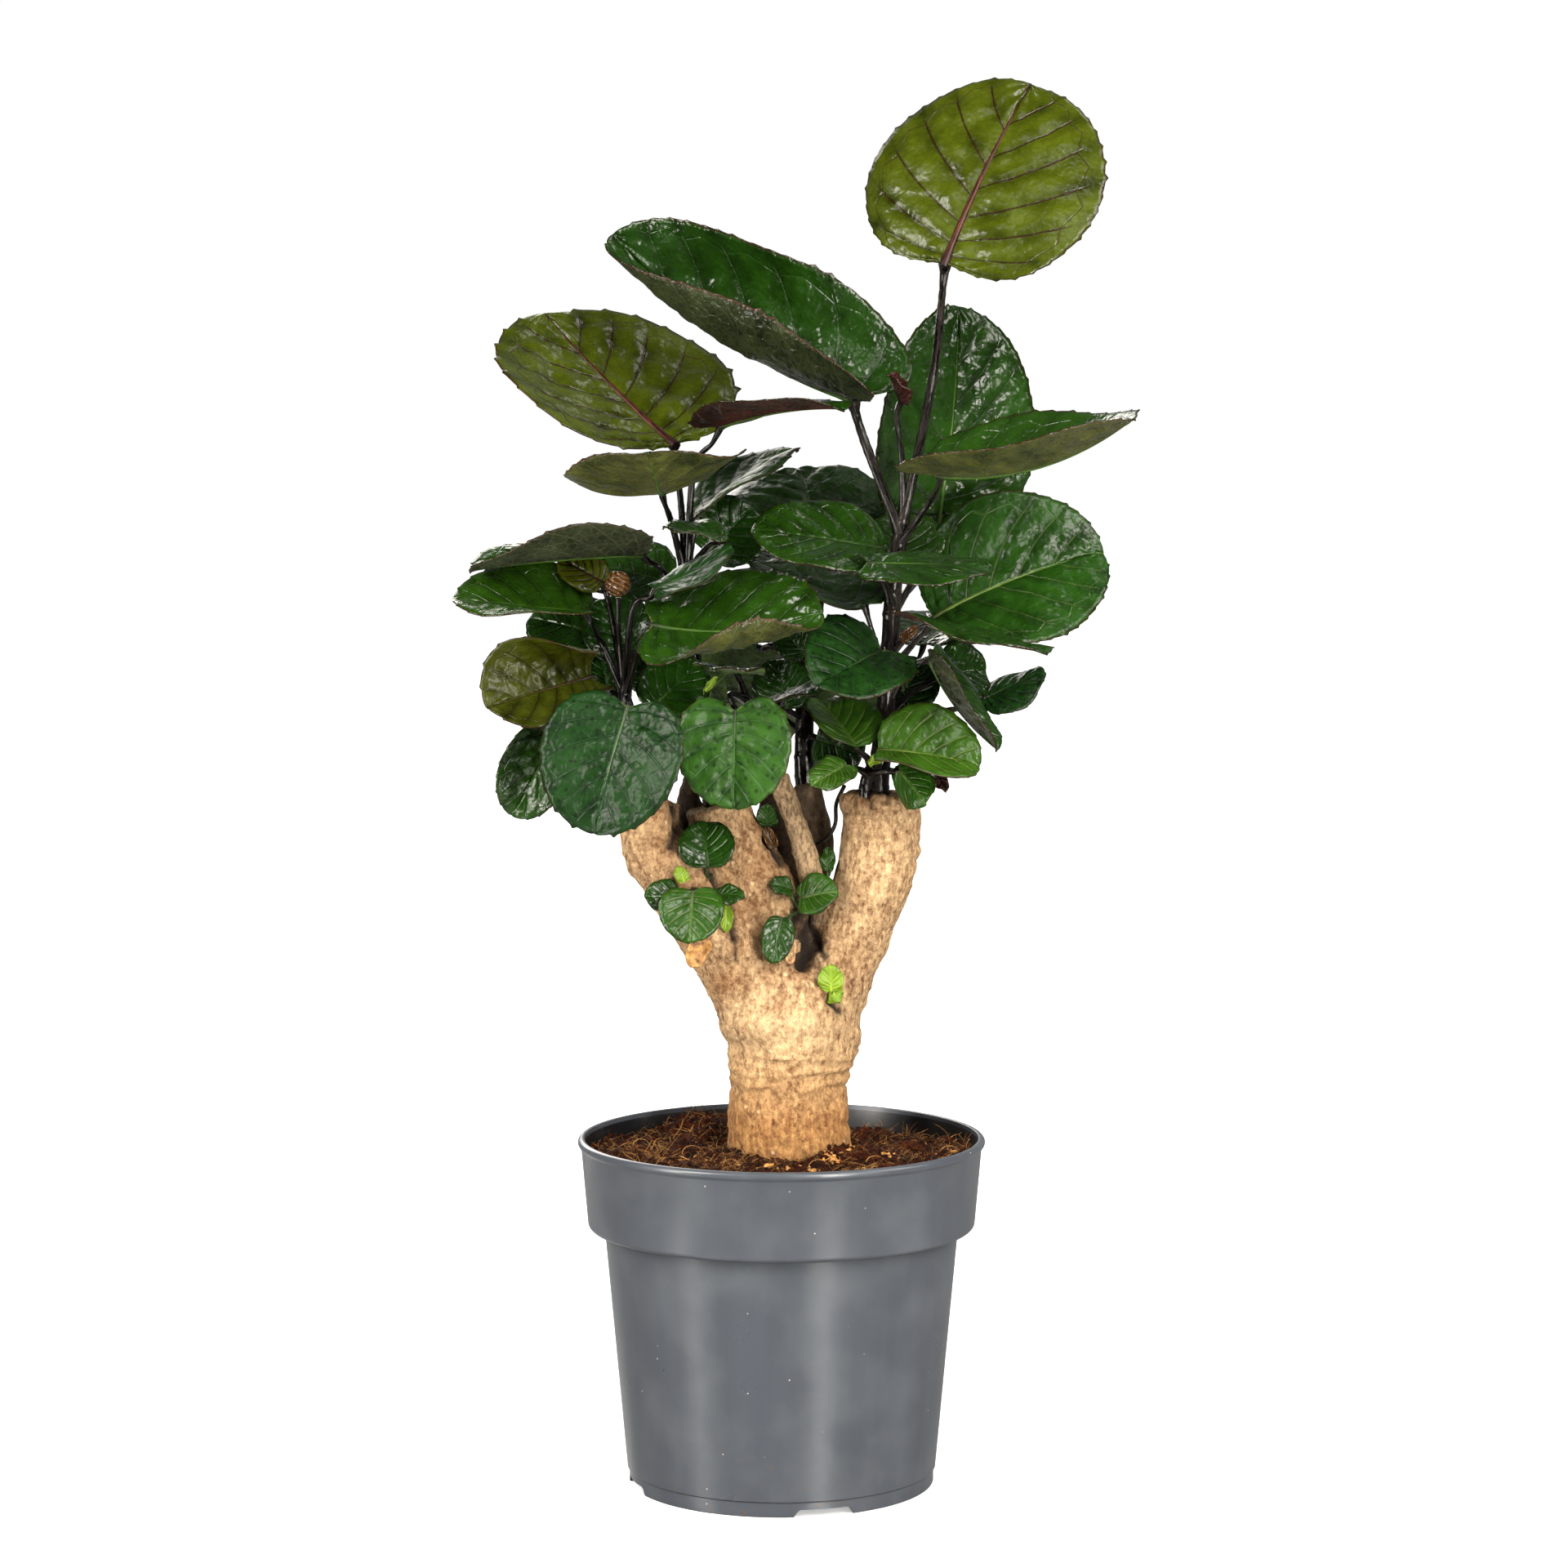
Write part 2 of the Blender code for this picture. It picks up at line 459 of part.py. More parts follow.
# Leaves. Each row holds: the stem and its row where the petiole starts, places of the
# blade's base (column, row, depth) and tip (column, row), real length and width in mm,
# whether the tip is farther than the base, the way that the upper face looks, then
# fold and curl of the left and right half and arch of the midrib in degrees.
LEAVES = {
    "leaf_crown": dict(
        stem="right", start=640, via=(1141, 470, -14), base=(1157, 323, -18), tip=(1263, 103),
        length=131, width=143, far=True, face=(-0.26, -0.91, 0.33), fold=(-1, 4),
        curl=(-21, -11), arch=25, sinus=0.07, twist=-2, close=0.0, mat="young"),
    "leaf_left_crown": dict(
        stem="middle", start=700, via=(833, 610, 0), base=(825, 545, 2), tip=(667, 384),
        length=133, width=149, far=True, face=(0.30, -0.58, 0.76), fold=(0, 4),
        curl=(21, 6), arch=-9, sinus=0.04, twist=-2, close=-0.37, mat="young"),
    "leaf_long_cupped": dict(
        stem="right", start=655, via=(1066, 560, -6), base=(1046, 490, -6), tip=(751, 287),
        length=178, width=129, far=True, face=(0.42, -0.60, 0.68), fold=(29, 11),
        curl=(92, 75), arch=-40, sinus=0.22, twist=36, close=0.35, mat="green"),
    "leaf_flag": dict(
        stem="middle", start=720, via=(849, 580, -6), base=(880, 524, -12), tip=(1034, 501),
        length=86, width=75, far=False, face=(-0.16, 0.13, 0.98), fold=(11, 15),
        curl=(-2, -5), arch=20, sinus=0.15, twist=-3, close=0.25, mat="green"),
    "leaf_bowl": dict(
        stem="middle", start=708, via=(822, 640, -8), base=(811, 604, -22), tip=(795, 554),
        length=89, width=108, far=False, face=(-0.10, 0.46, 0.88), fold=(7, 1),
        curl=(27, 19), arch=-36, sinus=0.16, twist=12, close=-0.38, mat="green"),
    "leaf_small_wing": dict(
        stem="middle", start=715, via=(848, 660, 8), base=(853, 634, 12), tip=(974, 551),
        length=77, width=61, far=True, face=(-0.69, -0.23, 0.69), fold=(1, 25),
        curl=(32, -39), arch=18, sinus=0.04, twist=-9, close=0.18, mat="green"),
    "leaf_left_long": dict(
        stem="middle", start=760, via=(812, 700, 12), base=(789, 680, 6), tip=(567, 700),
        length=102, width=80, far=True, face=(-0.01, -0.22, 0.98), fold=(35, 1),
        curl=(23, -1), arch=8, sinus=0.11, twist=12, close=-0.52, mat="green"),
    "leaf_left_bright": dict(
        stem="left", start=850, via=(740, 795, -12), base=(719, 750, -2), tip=(555, 734),
        length=78, width=72, far=True, face=(-0.02, -0.25, 0.97), fold=(15, 0),
        curl=(6, 48), arch=0, sinus=0.11, twist=15, close=-0.60, mat="green"),
    "leaf_olive_cup": dict(
        stem="left", start=866, via=(748, 846, 0), base=(724, 829, -9), tip=(598, 866),
        length=70, width=82, far=False, face=(-0.45, -0.75, 0.20), fold=(0, 18),
        curl=(60, 110), arch=2, sinus=0.12, twist=-14, close=-0.84, mat="young"),
    "leaf_front_left": dict(
        stem="left", start=862, via=(767, 852, -46), base=(769, 866, -64), tip=(727, 1020),
        length=75, width=84, far=False, face=(-0.28, -0.93, 0.25), fold=(7, 9),
        curl=(2, 1), arch=18, sinus=0.16, twist=5, close=0.06, mat="bloom"),
    "leaf_front_round": dict(
        stem="cane", start=856, via=(894, 850, -32), base=(900, 871, -42), tip=(899, 990),
        length=56, width=67, far=False, face=(-0.10, -0.97, 0.21), fold=(9, 10),
        curl=(-1, -4), arch=15, sinus=0.24, twist=-3, close=-0.02, mat="bloom"),
    "leaf_low_left": dict(
        stem="left", start=905, via=(720, 880, -2), base=(688, 888, -2), tip=(625, 1001),
        length=60, width=48, far=False, face=(0.28, -0.92, 0.27), fold=(19, 8),
        curl=(60, 27), arch=9, sinus=0.04, twist=1, close=-0.50, mat="green"),
    "leaf_big_front": dict(
        stem="left", start=855, via=(783, 790, -46), base=(799, 766, -56), tip=(1006, 750),
        length=99, width=108, far=False, face=(-0.22, -0.48, 0.85), fold=(-2, -5),
        curl=(0, 105), arch=-38, sinus=0.14, twist=-20, close=0.84, mat="green"),
    "leaf_back_wide": dict(
        stem="back", start=700, via=(1000, 665, 46), base=(1000, 648, 54), tip=(975, 574),
        length=69, width=96, far=True, face=(0.10, -0.45, 0.88), fold=(2, 3),
        curl=(-9, -9), arch=28, sinus=0.11, twist=8, close=-0.1, mat="green"),
    "leaf_mid_oval": dict(
        stem="right", start=735, via=(1092, 700, -8), base=(1082, 672, -12), tip=(919, 649),
        length=77, width=67, far=True, face=(0.03, -0.54, 0.84), fold=(8, 4),
        curl=(-5, 9), arch=6, sinus=0.05, twist=0, close=0.0, mat="green"),
    "leaf_mid_narrow": dict(
        stem="right", start=745, via=(1082, 712, -32), base=(1063, 690, -48), tip=(1214, 694),
        length=70, width=64, far=False, face=(-0.12, -0.37, 0.92), fold=(-2, 3),
        curl=(-18, 2), arch=2, sinus=0.15, twist=3, close=0.0, mat="green"),
    "leaf_mid_shadow": dict(
        stem="right", start=850, via=(1072, 790, -8), base=(1060, 742, -12), tip=(925, 689),
        length=79, width=67, far=True, face=(0.32, -0.50, 0.80), fold=(9, 5),
        curl=(18, 7), arch=-3, sinus=0.13, twist=-9, close=-0.14, mat="green"),
    "leaf_right_round": dict(
        stem="right", start=800, via=(1118, 774, 6), base=(1144, 756, 8), tip=(1351, 677),
        length=108, width=107, far=True, face=(-0.10, -0.62, 0.78), fold=(16, 16),
        curl=(18, -20), arch=24, sinus=0.04, twist=-19, close=0.3, mat="green"),
    "leaf_right_back": dict(
        stem="right", start=760, via=(1128, 690, 36), base=(1148, 640, 54), tip=(1174, 368),
        length=129, width=105, far=True, face=(0.38, -0.88, 0.29), fold=(10, 9),
        curl=(-2, 4), arch=24, sinus=0.10, twist=-11, close=-0.06, mat="green"),
    "leaf_right_pointed": dict(
        stem="right", start=672, via=(1140, 612, -24), base=(1151, 583, -40), tip=(1389, 512),
        length=129, width=106, far=False, face=(-0.25, -0.06, 0.97), fold=(11, 15),
        curl=(38, 17), arch=-40, sinus=0.22, twist=3, close=-0.3, mat="green"),
    "leaf_right_thin": dict(
        stem="right", start=822, via=(1122, 784, -40), base=(1137, 766, -58), tip=(1283, 799),
        length=78, width=68, far=False, face=(0.12, 0.01, 0.99), fold=(9, 18),
        curl=(-15, -24), arch=-8, sinus=0.31, twist=-5, close=0.5, mat="green"),
    "leaf_mid_notched": dict(
        stem="right", start=830, via=(1084, 806, -24), base=(1078, 797, -34), tip=(1001, 839),
        length=55, width=66, far=False, face=(-0.06, -0.82, 0.57), fold=(9, 10),
        curl=(17, 1), arch=5, sinus=0.25, twist=7, close=-0.07, mat="bloom"),
    "leaf_hanging_grey": dict(
        stem="right", start=862, via=(1112, 818, -14), base=(1137, 806, -20), tip=(1227, 926),
        length=67, width=52, far=False, face=(0.78, -0.16, 0.60), fold=(32, 28),
        curl=(-20, 10), arch=-30, sinus=0.16, twist=-6, close=0.2, mat="green"),
    "leaf_brown_back": dict(
        stem="right", start=880, via=(1120, 846, 12), base=(1156, 826, 18), tip=(1207, 819),
        length=32, width=37, far=True, face=(-0.28, -0.93, 0.24), fold=(8, 13),
        curl=(12, 24), arch=5, sinus=0.08, twist=-12, close=-0.12, mat="green"),
    "leaf_small_right": dict(
        stem="right", start=890, via=(1150, 872, 30), base=(1203, 856, 34), tip=(1281, 820),
        length=40, width=39, far=True, face=(-0.11, -0.72, 0.68), fold=(-7, 8),
        curl=(-35, -18), arch=-8, sinus=0.05, twist=14, close=0.06, mat="bloom"),
    "leaf_dark_left": dict(
        stem="left", start=858, via=(745, 806, 12), base=(735, 778, 22), tip=(648, 757),
        length=46, width=46, far=True, face=(0.0, -1.0, 0.6), fold=(6, 6),
        curl=(-10, -12), arch=12, sinus=0.10, twist=0, close=0.0, mat="green"),
    "leaf_dark_mid": dict(
        stem="left", start=895, via=(788, 884, -22), base=(798, 868, -24), tip=(858, 812),
        length=43, width=40, far=True, face=(0.0, -1.0, 0.55), fold=(4, 4),
        curl=(-8, -8), arch=10, sinus=0.08, twist=0, close=0.0, mat="green"),
    "leaf_rising_blue": dict(
        stem="left", start=848, via=(774, 748, -40), base=(802, 722, -42), tip=(897, 670),
        length=50, width=42, far=False, face=(-0.42, -0.52, 0.75), fold=(-1, 11),
        curl=(-32, 9), arch=-20, sinus=0.10, twist=-3, close=-0.13, mat="bloom"),
    "leaf_small_flat": dict(
        stem="middle", start=702, via=(868, 668, -14), base=(888, 657, -30), tip=(810, 645),
        length=36, width=36, far=False, face=(-0.01, -0.27, 0.96), fold=(6, 7),
        curl=(9, 9), arch=1, sinus=0.12, twist=-9, close=0.07, mat="green"),
    "leaf_shade_left": dict(
        stem="middle", start=790, via=(826, 730, 34), base=(812, 712, 44), tip=(722, 692),
        length=54, width=50, far=True, face=(0.0, -0.8, 0.8), fold=(4, 4),
        curl=(8, 8), arch=12, sinus=0.10, twist=0, close=0.0, mat="green"),
    "leaf_shade_bright": dict(
        stem="cane", start=852, via=(908, 838, -18), base=(903, 824, -24), tip=(876, 819),
        length=34, width=42, far=False, face=(0.0, -0.18, 1.0), fold=(4, 4),
        curl=(6, 6), arch=10, sinus=0.14, twist=0, close=0.0, mat="green"),
    "leaf_shade_blue": dict(
        stem="cane", start=874, via=(950, 868, -4), base=(958, 852, -4), tip=(1000, 846),
        length=34, width=46, far=False, face=(0.0, -0.5, 1.0), fold=(4, 4),
        curl=(6, 6), arch=10, sinus=0.14, twist=0, close=0.0, mat="bloom"),
    "leaf_young_cup": dict(
        stem="right", start=638, via=(1104, 560, -10), base=(1104, 494, -10), tip=(1090, 460),
        length=22, width=20, far=False, face=(0.6, -0.3, 0.7), fold=(24, 24),
        curl=(50, 50), arch=-10, sinus=0.06, twist=0, close=0.0, mat="brown"),
    "leaf_back_low_left": dict(
        stem="back", start=800, via=(950, 790, 60), base=(930, 792, 66), tip=(850, 866),
        length=66, width=72, far=True, face=(-0.2, 0.75, 0.5), fold=(8, 8),
        curl=(8, 8), arch=16, sinus=0.12, twist=0, close=0.0, mat="green"),
    "leaf_back_low_right": dict(
        stem="back", start=820, via=(1010, 800, 58), base=(1022, 796, 64), tip=(1045, 905),
        length=64, width=66, far=True, face=(0.2, 0.8, 0.4), fold=(8, 8),
        curl=(8, 8), arch=16, sinus=0.12, twist=0, close=0.0, mat="green"),
    "leaf_back_middle": dict(
        stem="back", start=740, via=(985, 715, 50), base=(968, 700, 54), tip=(920, 660),
        length=62, width=74, far=True, face=(-0.2, 0.5, 0.85), fold=(8, 8),
        curl=(8, 8), arch=16, sinus=0.12, twist=0, close=0.0, mat="green"),
    "leaf_back_tall": dict(
        stem="right", start=740, via=(1135, 690, 62), base=(1158, 590, 84), tip=(1185, 450),
        length=72, width=70, far=True, face=(0.3, 0.8, 0.5), fold=(8, 8),
        curl=(8, 8), arch=16, sinus=0.12, twist=0, close=0.0, mat="green"),
    "leaf_back_right": dict(
        stem="right", start=870, via=(1112, 825, 34), base=(1130, 790, 50), tip=(1205, 750),
        length=72, width=76, far=True, face=(0.3, 0.5, 0.80), fold=(8, 8),
        curl=(8, 8), arch=16, sinus=0.12, twist=0, close=0.0, mat="green"),
    "leaf_back_left": dict(
        stem="middle", start=850, via=(820, 815, 34), base=(795, 795, 46), tip=(700, 780),
        length=64, width=66, far=True, face=(-0.3, 0.5, 0.80), fold=(8, 8),
        curl=(8, 8), arch=16, sinus=0.12, twist=0, close=0.0, mat="green"),
    "leaf_back_foot": dict(
        stem="back", start=905, via=(960, 880, 56), base=(945, 870, 66), tip=(900, 925),
        length=62, width=58, far=True, face=(-0.1, 0.7, 0.65), fold=(8, 8),
        curl=(8, 8), arch=16, sinus=0.12, twist=0, close=0.0, mat="bloom"),
}

# Low spray at the right limb: blades fused with their petioles
SPRAY = [
    dict(start=938, via=(1070, 930, -26), base=(1076, 918, -34), tip=(1203, 938),
         length=59, width=59, far=False, face=(0.17, -0.74, 0.65), fold=(15, 26),
         curl=(19, 26), arch=18, sinus=0.07, twist=-8, close=-0.31),
    dict(start=936, via=(1062, 928, -22), base=(1049, 915, -30), tip=(1003, 858),
         length=46, width=48, far=True, face=(0.40, -0.76, 0.51), fold=(24, 11),
         curl=(1, 27), arch=10, sinus=0.04, twist=0, close=0.08),
    dict(start=948, via=(1052, 942, -26), base=(1036, 938, -38), tip=(995, 962),
         length=26, width=24, far=False, face=(-0.17, -0.82, 0.55), fold=(8, 1),
         curl=(20, 1), arch=8, sinus=0.20, twist=7, close=0.0),
    dict(start=950, via=(1080, 945, -30), base=(1098, 940, -24), tip=(1133, 983),
         length=35, width=28, far=False, face=(-0.26, -0.94, 0.20), fold=(-8, -8),
         curl=(-30, -45), arch=7, sinus=0.04, twist=0, close=-0.75),
]

# Sprigs on the wood: the root's column and row, how far its tip stands out in mm, then
# the leaves with base depths counted from the root
SPRIGS = {
    "sprig_round": dict(root=(868, 1074), mat="green", leaves=[
        dict(base=(867, 1061, -9), tip=(863, 1006), length=28, width=33, far=True,
             face=(0.0, -0.93, 0.36))]),
    "sprig_left": dict(root=(850, 1088), mat="green", leaves=[
        dict(base=(848, 1092, -12), tip=(845, 1154), length=31, width=38, far=False,
             face=(-0.05, -0.96, 0.28), sinus=0.16),
        dict(base=(833, 1098, -5), tip=(790, 1098), length=21, width=20, far=False,
             face=(-0.1, -0.9, 0.4)),
        dict(base=(876, 1096, -6), tip=(911, 1097), length=17, width=13, far=False,
             face=(0.1, -0.8, 0.6))]),
    "sprout_lime_high": dict(root=(842, 1076), mat="lime", leaves=[
        dict(base=(838, 1079, -6), tip=(829, 1062), length=9.5, width=8, far=False,
             face=(0.0, -0.9, 0.4))]),
    "sprout_lime_side": dict(root=(890, 1104), mat="lime", leaves=[
        dict(base=(889, 1110, -5), tip=(889, 1141), length=15, width=8, far=False,
             face=(0.1, -0.95, 0.3))]),
    "sprig_middle": dict(root=(980, 1118), mat="green", leaves=[
        dict(base=(980, 1100, -10), tip=(1025, 1092), length=24, width=26, far=False,
             face=(0.0, -0.85, 0.5), sinus=0.14),
        dict(base=(970, 1088, -8), tip=(943, 1083), length=14, width=13, far=False,
             face=(0.0, -0.8, 0.6)),
        dict(base=(957, 1124, -20), tip=(946, 1179), length=27, width=19, far=False,
             face=(0.0, -1.0, 0.15))]),
    "sprout_lime_low": dict(root=(1020, 1226), mat="lime", leaves=[
        dict(base=(1018, 1213, -5), tip=(1017, 1182), length=15, width=15, far=False,
             face=(-0.1, -0.95, 0.3)),
        dict(base=(1021, 1216, -5), tip=(1028, 1227), length=6.5, width=6, far=False,
             face=(0.1, -0.95, 0.3))]),
    "sprig_back": dict(root=(1014, 1094), mat="green", leaves=[
        dict(base=(1013, 1066, -3), tip=(1014, 1038), length=14, width=9, far=True,
             face=(-0.1, -0.95, 0.3))]),
}

# Rolled young leaf on the left shoot
BUD = dict(start=850, via=(758, 780, -20), base=(757, 732, -24), height=15, width=14.5)
BUD_RINGS = 6

# Blade detail: stations along each margin, and columns across each half
STATIONS = 10
STATIONS_SMALL = 8
COLUMNS = 2
EGG = 0.07


def blade_frame(base, tip, face):
    along = (tip - base).normalized()
    up = Vector(face)
    up = (up - along * up.dot(along)).normalized()
    return along.cross(up), along, up


SMALL_LEAF = dict(
    fold=(6, 6), curl=(14, 14), arch=10, sinus=0.08, twist=0, close=0.0, stations=6, columns=1)


def blade_height(leaf, stations, columns):
    """Middle surface of a blade in its own frame: rows from the notch to the tip."""
    length = leaf["length"] * MM
    width = leaf["width"] * MM
    lobe = leaf["sinus"] * length
    centre = (length - lobe) / 2.0
    half = (length + lobe) / 2.0
    cut = 1.0 - centre / half
    arch = math.radians(leaf["arch"]) or 0.001
    bend = arch / length
    rows = []
    for i in range(stations + 1):
        u = i / stations
        phi = math.pi * (1.0 - u)
        pull = 1.0 - cut * math.exp(-(((math.pi - phi) / SINUS_WIDTH) ** 2))
        tooth = 1.0 + (TOOTH if i % 2 else -TOOTH) * (0 < i < stations)
        edge_x = width / 2.0 * math.sin(phi) * pull * (1.0 - EGG * math.cos(phi)) * tooth
        edge_y = centre + half * math.cos(phi) * pull * tooth
        if i == 0:
            edge_y = 0.0
        mid_y = length * u ** VEIN_SWEEP
        row = []
        for j in range(-columns, columns + 1):
            t = abs(j) / columns
            side = 0 if j < 0 else 1
            x = edge_x * t
            y = mid_y + (edge_y - mid_y) * t
            ahead = min(max(y / length, 0.0), 1.0)
            fold = math.radians(leaf["fold"][side])
            curl = math.radians(leaf["curl"][side]) / (width / 2.0)
            curl = curl * (1.0 + leaf["close"] * (2.0 * ahead - 1.0)) or 0.001
            across = (math.sin(fold + curl * x) - math.sin(fold)) / curl
            lift = (math.cos(fold) - math.cos(fold + curl * x)) / curl
            lift += WAVE * t * t * math.sin(2.0 * math.pi * WAVES * u + 2.0 * side)
            turn = math.radians(leaf["twist"]) * ahead
            across = -across if j < 0 else across
            across, lift = (
                across * math.cos(turn) - lift * math.sin(turn),
                across * math.sin(turn) + lift * math.cos(turn),
            )
            lean = arch / 2.0 - bend * max(y, 0.0)
            run = (math.sin(arch / 2.0) - math.sin(lean)) / bend
            rise = (math.cos(lean) - math.cos(arch / 2.0)) / bend
            if y < 0.0:
                run = y * math.cos(arch / 2.0)
                rise = y * math.sin(arch / 2.0)
            row.append(Vector((
                across,
                run - lift * math.sin(lean),
                rise + lift * math.cos(lean),
            )))
        rows.append(row)
    return rows


def blade_chord(leaf):
    arch = math.radians(leaf["arch"]) or 0.001
    return leaf["length"] * MM * math.sin(arch / 2.0) / (arch / 2.0)


def blade_solid(name, leaf, stations, columns, mat):
    """Thin waved blade whose two faces are split into the same triangles."""
    base = seen(*leaf["base"])
    tip = reach(base, *leaf["tip"], blade_chord(leaf), leaf["far"])
    side, along, up = blade_frame(base, tip, leaf["face"])
    rows = blade_height(leaf, stations, columns)
    place = {}
    points = []
    for i, row in enumerate(rows):
        for j, p in enumerate(row):
            if i in (0, stations) and j > 0:
                place[i, j] = place[i, 0]
                continue
            place[i, j] = len(points)
            points.append(base + side * p.x + along * p.y + up * p.z)
    tris = []
    wide = 2 * columns
    for i in range(stations):
        for j in range(wide):
            a = place[i, j]
            b = place[i, j + 1]
            c = place[i + 1, j + 1]
            d = place[i + 1, j]
            if j < columns:
                pair = ((a, b, d), (b, c, d))
            else:
                pair = ((a, b, c), (a, c, d))
            for tri in pair:
                if len(set(tri)) == 3:
                    tris.append(tri)
    normals = [Vector((0.0, 0.0, 0.0)) for _ in points]
    for tri in tris:
        a, b, c = (points[k] for k in tri)
        n = (b - a).cross(c - a)
        for k in tri:
            normals[k] += n
    count = len(points)
    middle = {place[i, columns] for i in range(stations + 1)}
    hinge = 1.0 / math.cos(math.radians(min(sum(leaf["fold"]) / 2.0, 50.0)))
    verts = []
    for sign in (1.0, -1.0):
        for k, point in enumerate(points):
            thick = BLADE / 2.0 * (hinge if k in middle else 1.0)
            verts.append(point + normals[k].normalized() * (sign * thick))
    faces = [tri for tri in tris]
    faces += [(a + count, c + count, b + count) for a, b, c in tris]
    border = [place[i, 0] for i in range(stations + 1)]
    border += [place[i, wide] for i in range(stations - 1, 0, -1)]
    for k in range(len(border)):
        a = border[k]
        b = border[(k + 1) % len(border)]
        faces.append((a, a + count, b + count))
        faces.append((a, b + count, b))
    obj = solid(name, verts, faces, mat)
    bm = bmesh.new()
    bm.from_mesh(obj.data)
    bmesh.ops.recalc_face_normals(bm, faces=bm.faces)
    bm.to_mesh(obj.data)
    bm.free()
    soften(obj, 50)
    return obj


def layout(rows):
    """Places and radii in metres from rows of column, row, depth and radius in mm."""
    return [(seen(c, r, d), radius * MM) for c, r, d, radius in rows]


# Trunk: limbs run together, rounded over and thinned to facets
def grow_trunk():
    bars = []
    for name, rows in LIMBS.items():
        if name == "foot":
            ground = seen(967, 1405, 0)
            buried = [
                (Vector((TRUNK_X, 0.0, HOLE_FLOOR - 0.004)), 0.0345),
                (Vector((TRUNK_X, 0.0, HOLE_FLOOR + 0.020)), 0.0350),
            ]
            points = buried + layout(rows)
            points[2] = (Vector((TRUNK_X, 0.0, ground.z - 0.018)), 0.0352)
        else:
            points = layout(rows)
        bars.append(tube("limb_" + name, curve_points(points, 0.006), 18, BARK))
    verts = []
    faces = []
    for bar in bars:
        start = len(verts)
        verts += [v.co.copy() for v in bar.data.vertices]
        faces += [tuple(start + k for k in f.vertices) for f in bar.data.polygons]
        bpy.data.objects.remove(bar, do_unlink=True)
    trunk = solid("trunk", verts, faces, BARK)
    mesh_over = trunk.modifiers.new("run_together", "REMESH")
    mesh_over.mode = "VOXEL"
    mesh_over.voxel_size = VOXEL
    smooth = trunk.modifiers.new("round_over", "SMOOTH")
    smooth.factor = 0.5
    smooth.iterations = 5
    settle(trunk)
    trunk.data.calc_loop_triangles()
    thin = trunk.modifiers.new("facets", "DECIMATE")
    thin.ratio = TRUNK_FACES / len(trunk.data.loop_triangles)
    thin.use_collapse_triangulate = True
    settle(trunk)
    return trunk


def flat_base(trunk):
    """Cut the buried end flat so that it rests on the floor of its hole."""
    bm = bmesh.new()
    bm.from_mesh(trunk.data)
    level = HOLE_FLOOR + FIT_GAP
    cut = bmesh.ops.bisect_plane(
        bm, geom=bm.verts[:] + bm.edges[:] + bm.faces[:], dist=1e-6,
        plane_co=(0.0, 0.0, level), plane_no=(0.0, 0.0, 1.0), clear_inner=True)
    rim = [e for e in cut["geom_cut"] if isinstance(e, bmesh.types.BMEdge)]
    bmesh.ops.contextual_create(bm, geom=rim)
    bmesh.ops.triangulate(bm, faces=[f for f in bm.faces if len(f.verts) > 4])
    bm.to_mesh(trunk.data)
    bm.free()


trunk = grow_trunk()
flat_base(trunk)


def socket(path):
    """Round cutter around the buried first part of a stem, a little wider than it."""
    low, radius = path[0]
    high = path[1][0]
    way = (high - low).normalized()
    return tube("socket", [
        (low - way * SOCKET_GAP, radius + SOCKET_GAP),
        (high + way * 0.030, radius + SOCKET_GAP),
    ], 12, BARK)


def on_stem(path, row):
    """Point of a stem's axis at a row of the front view, and the stem's way there."""
    best = None
    for (a, _), (b, _) in zip(path, path[1:]):
        for k in range(9):
            place = a.lerp(b, k / 8)
            drop = abs(row_of(place) - row)
            if best is None or drop < best[0]:
                best = (drop, place, (b - a).normalized())
    return best[1], best[2]


def row_of(point):
    away = point - Vector((VIEW_SIDE, -VIEW_DISTANCE, VIEW_HEIGHT))
    depth = away.y * math.cos(VIEW_TILT) - away.z * math.sin(VIEW_TILT)
    height = away.y * math.sin(VIEW_TILT) + away.z * math.cos(VIEW_TILT)
    return VIEW_CENTRE - VIEW_FOCAL * height / depth


def petiole_path(start, leaf, root_radius, sink=False):
    """Rounded path from inside the stem to just under the blade's base, or into the blade."""
    base = seen(*leaf["base"])
    tip = reach(base, *leaf["tip"], blade_chord(leaf), leaf["far"])
    _, along, up = blade_frame(base, tip, leaf["face"])
    knots = [start]
    if "via" in leaf:
        knots.append(seen(*leaf["via"]))
    last = (base - knots[-1]).normalized()
    arrive = (last + up * 0.5 + along * 0.3).normalized()
    end = base - up * 0.0008 - along * 0.0005 - arrive * 0.0003
    if sink:
        end = base + along * 0.0025
    size = (base - start).length
    lead = min(0.30 * (end - knots[-1]).length, 0.012)
    knots.append(end - arrive * lead)
    knots.append(end)
    tip_radius = leaf.get("petiole", PETIOLE_TIP_RADIUS)
    root = min(root_radius, tip_radius + 0.0010 + 0.004 * size)
    points = []
    for k, knot in enumerate(knots):
        t = k / (len(knots) - 1)
        points.append((knot, root + (tip_radius - root) * min(1.0, t * 1.25)))
    return curve_points(points, max(0.014, size / 6.0))


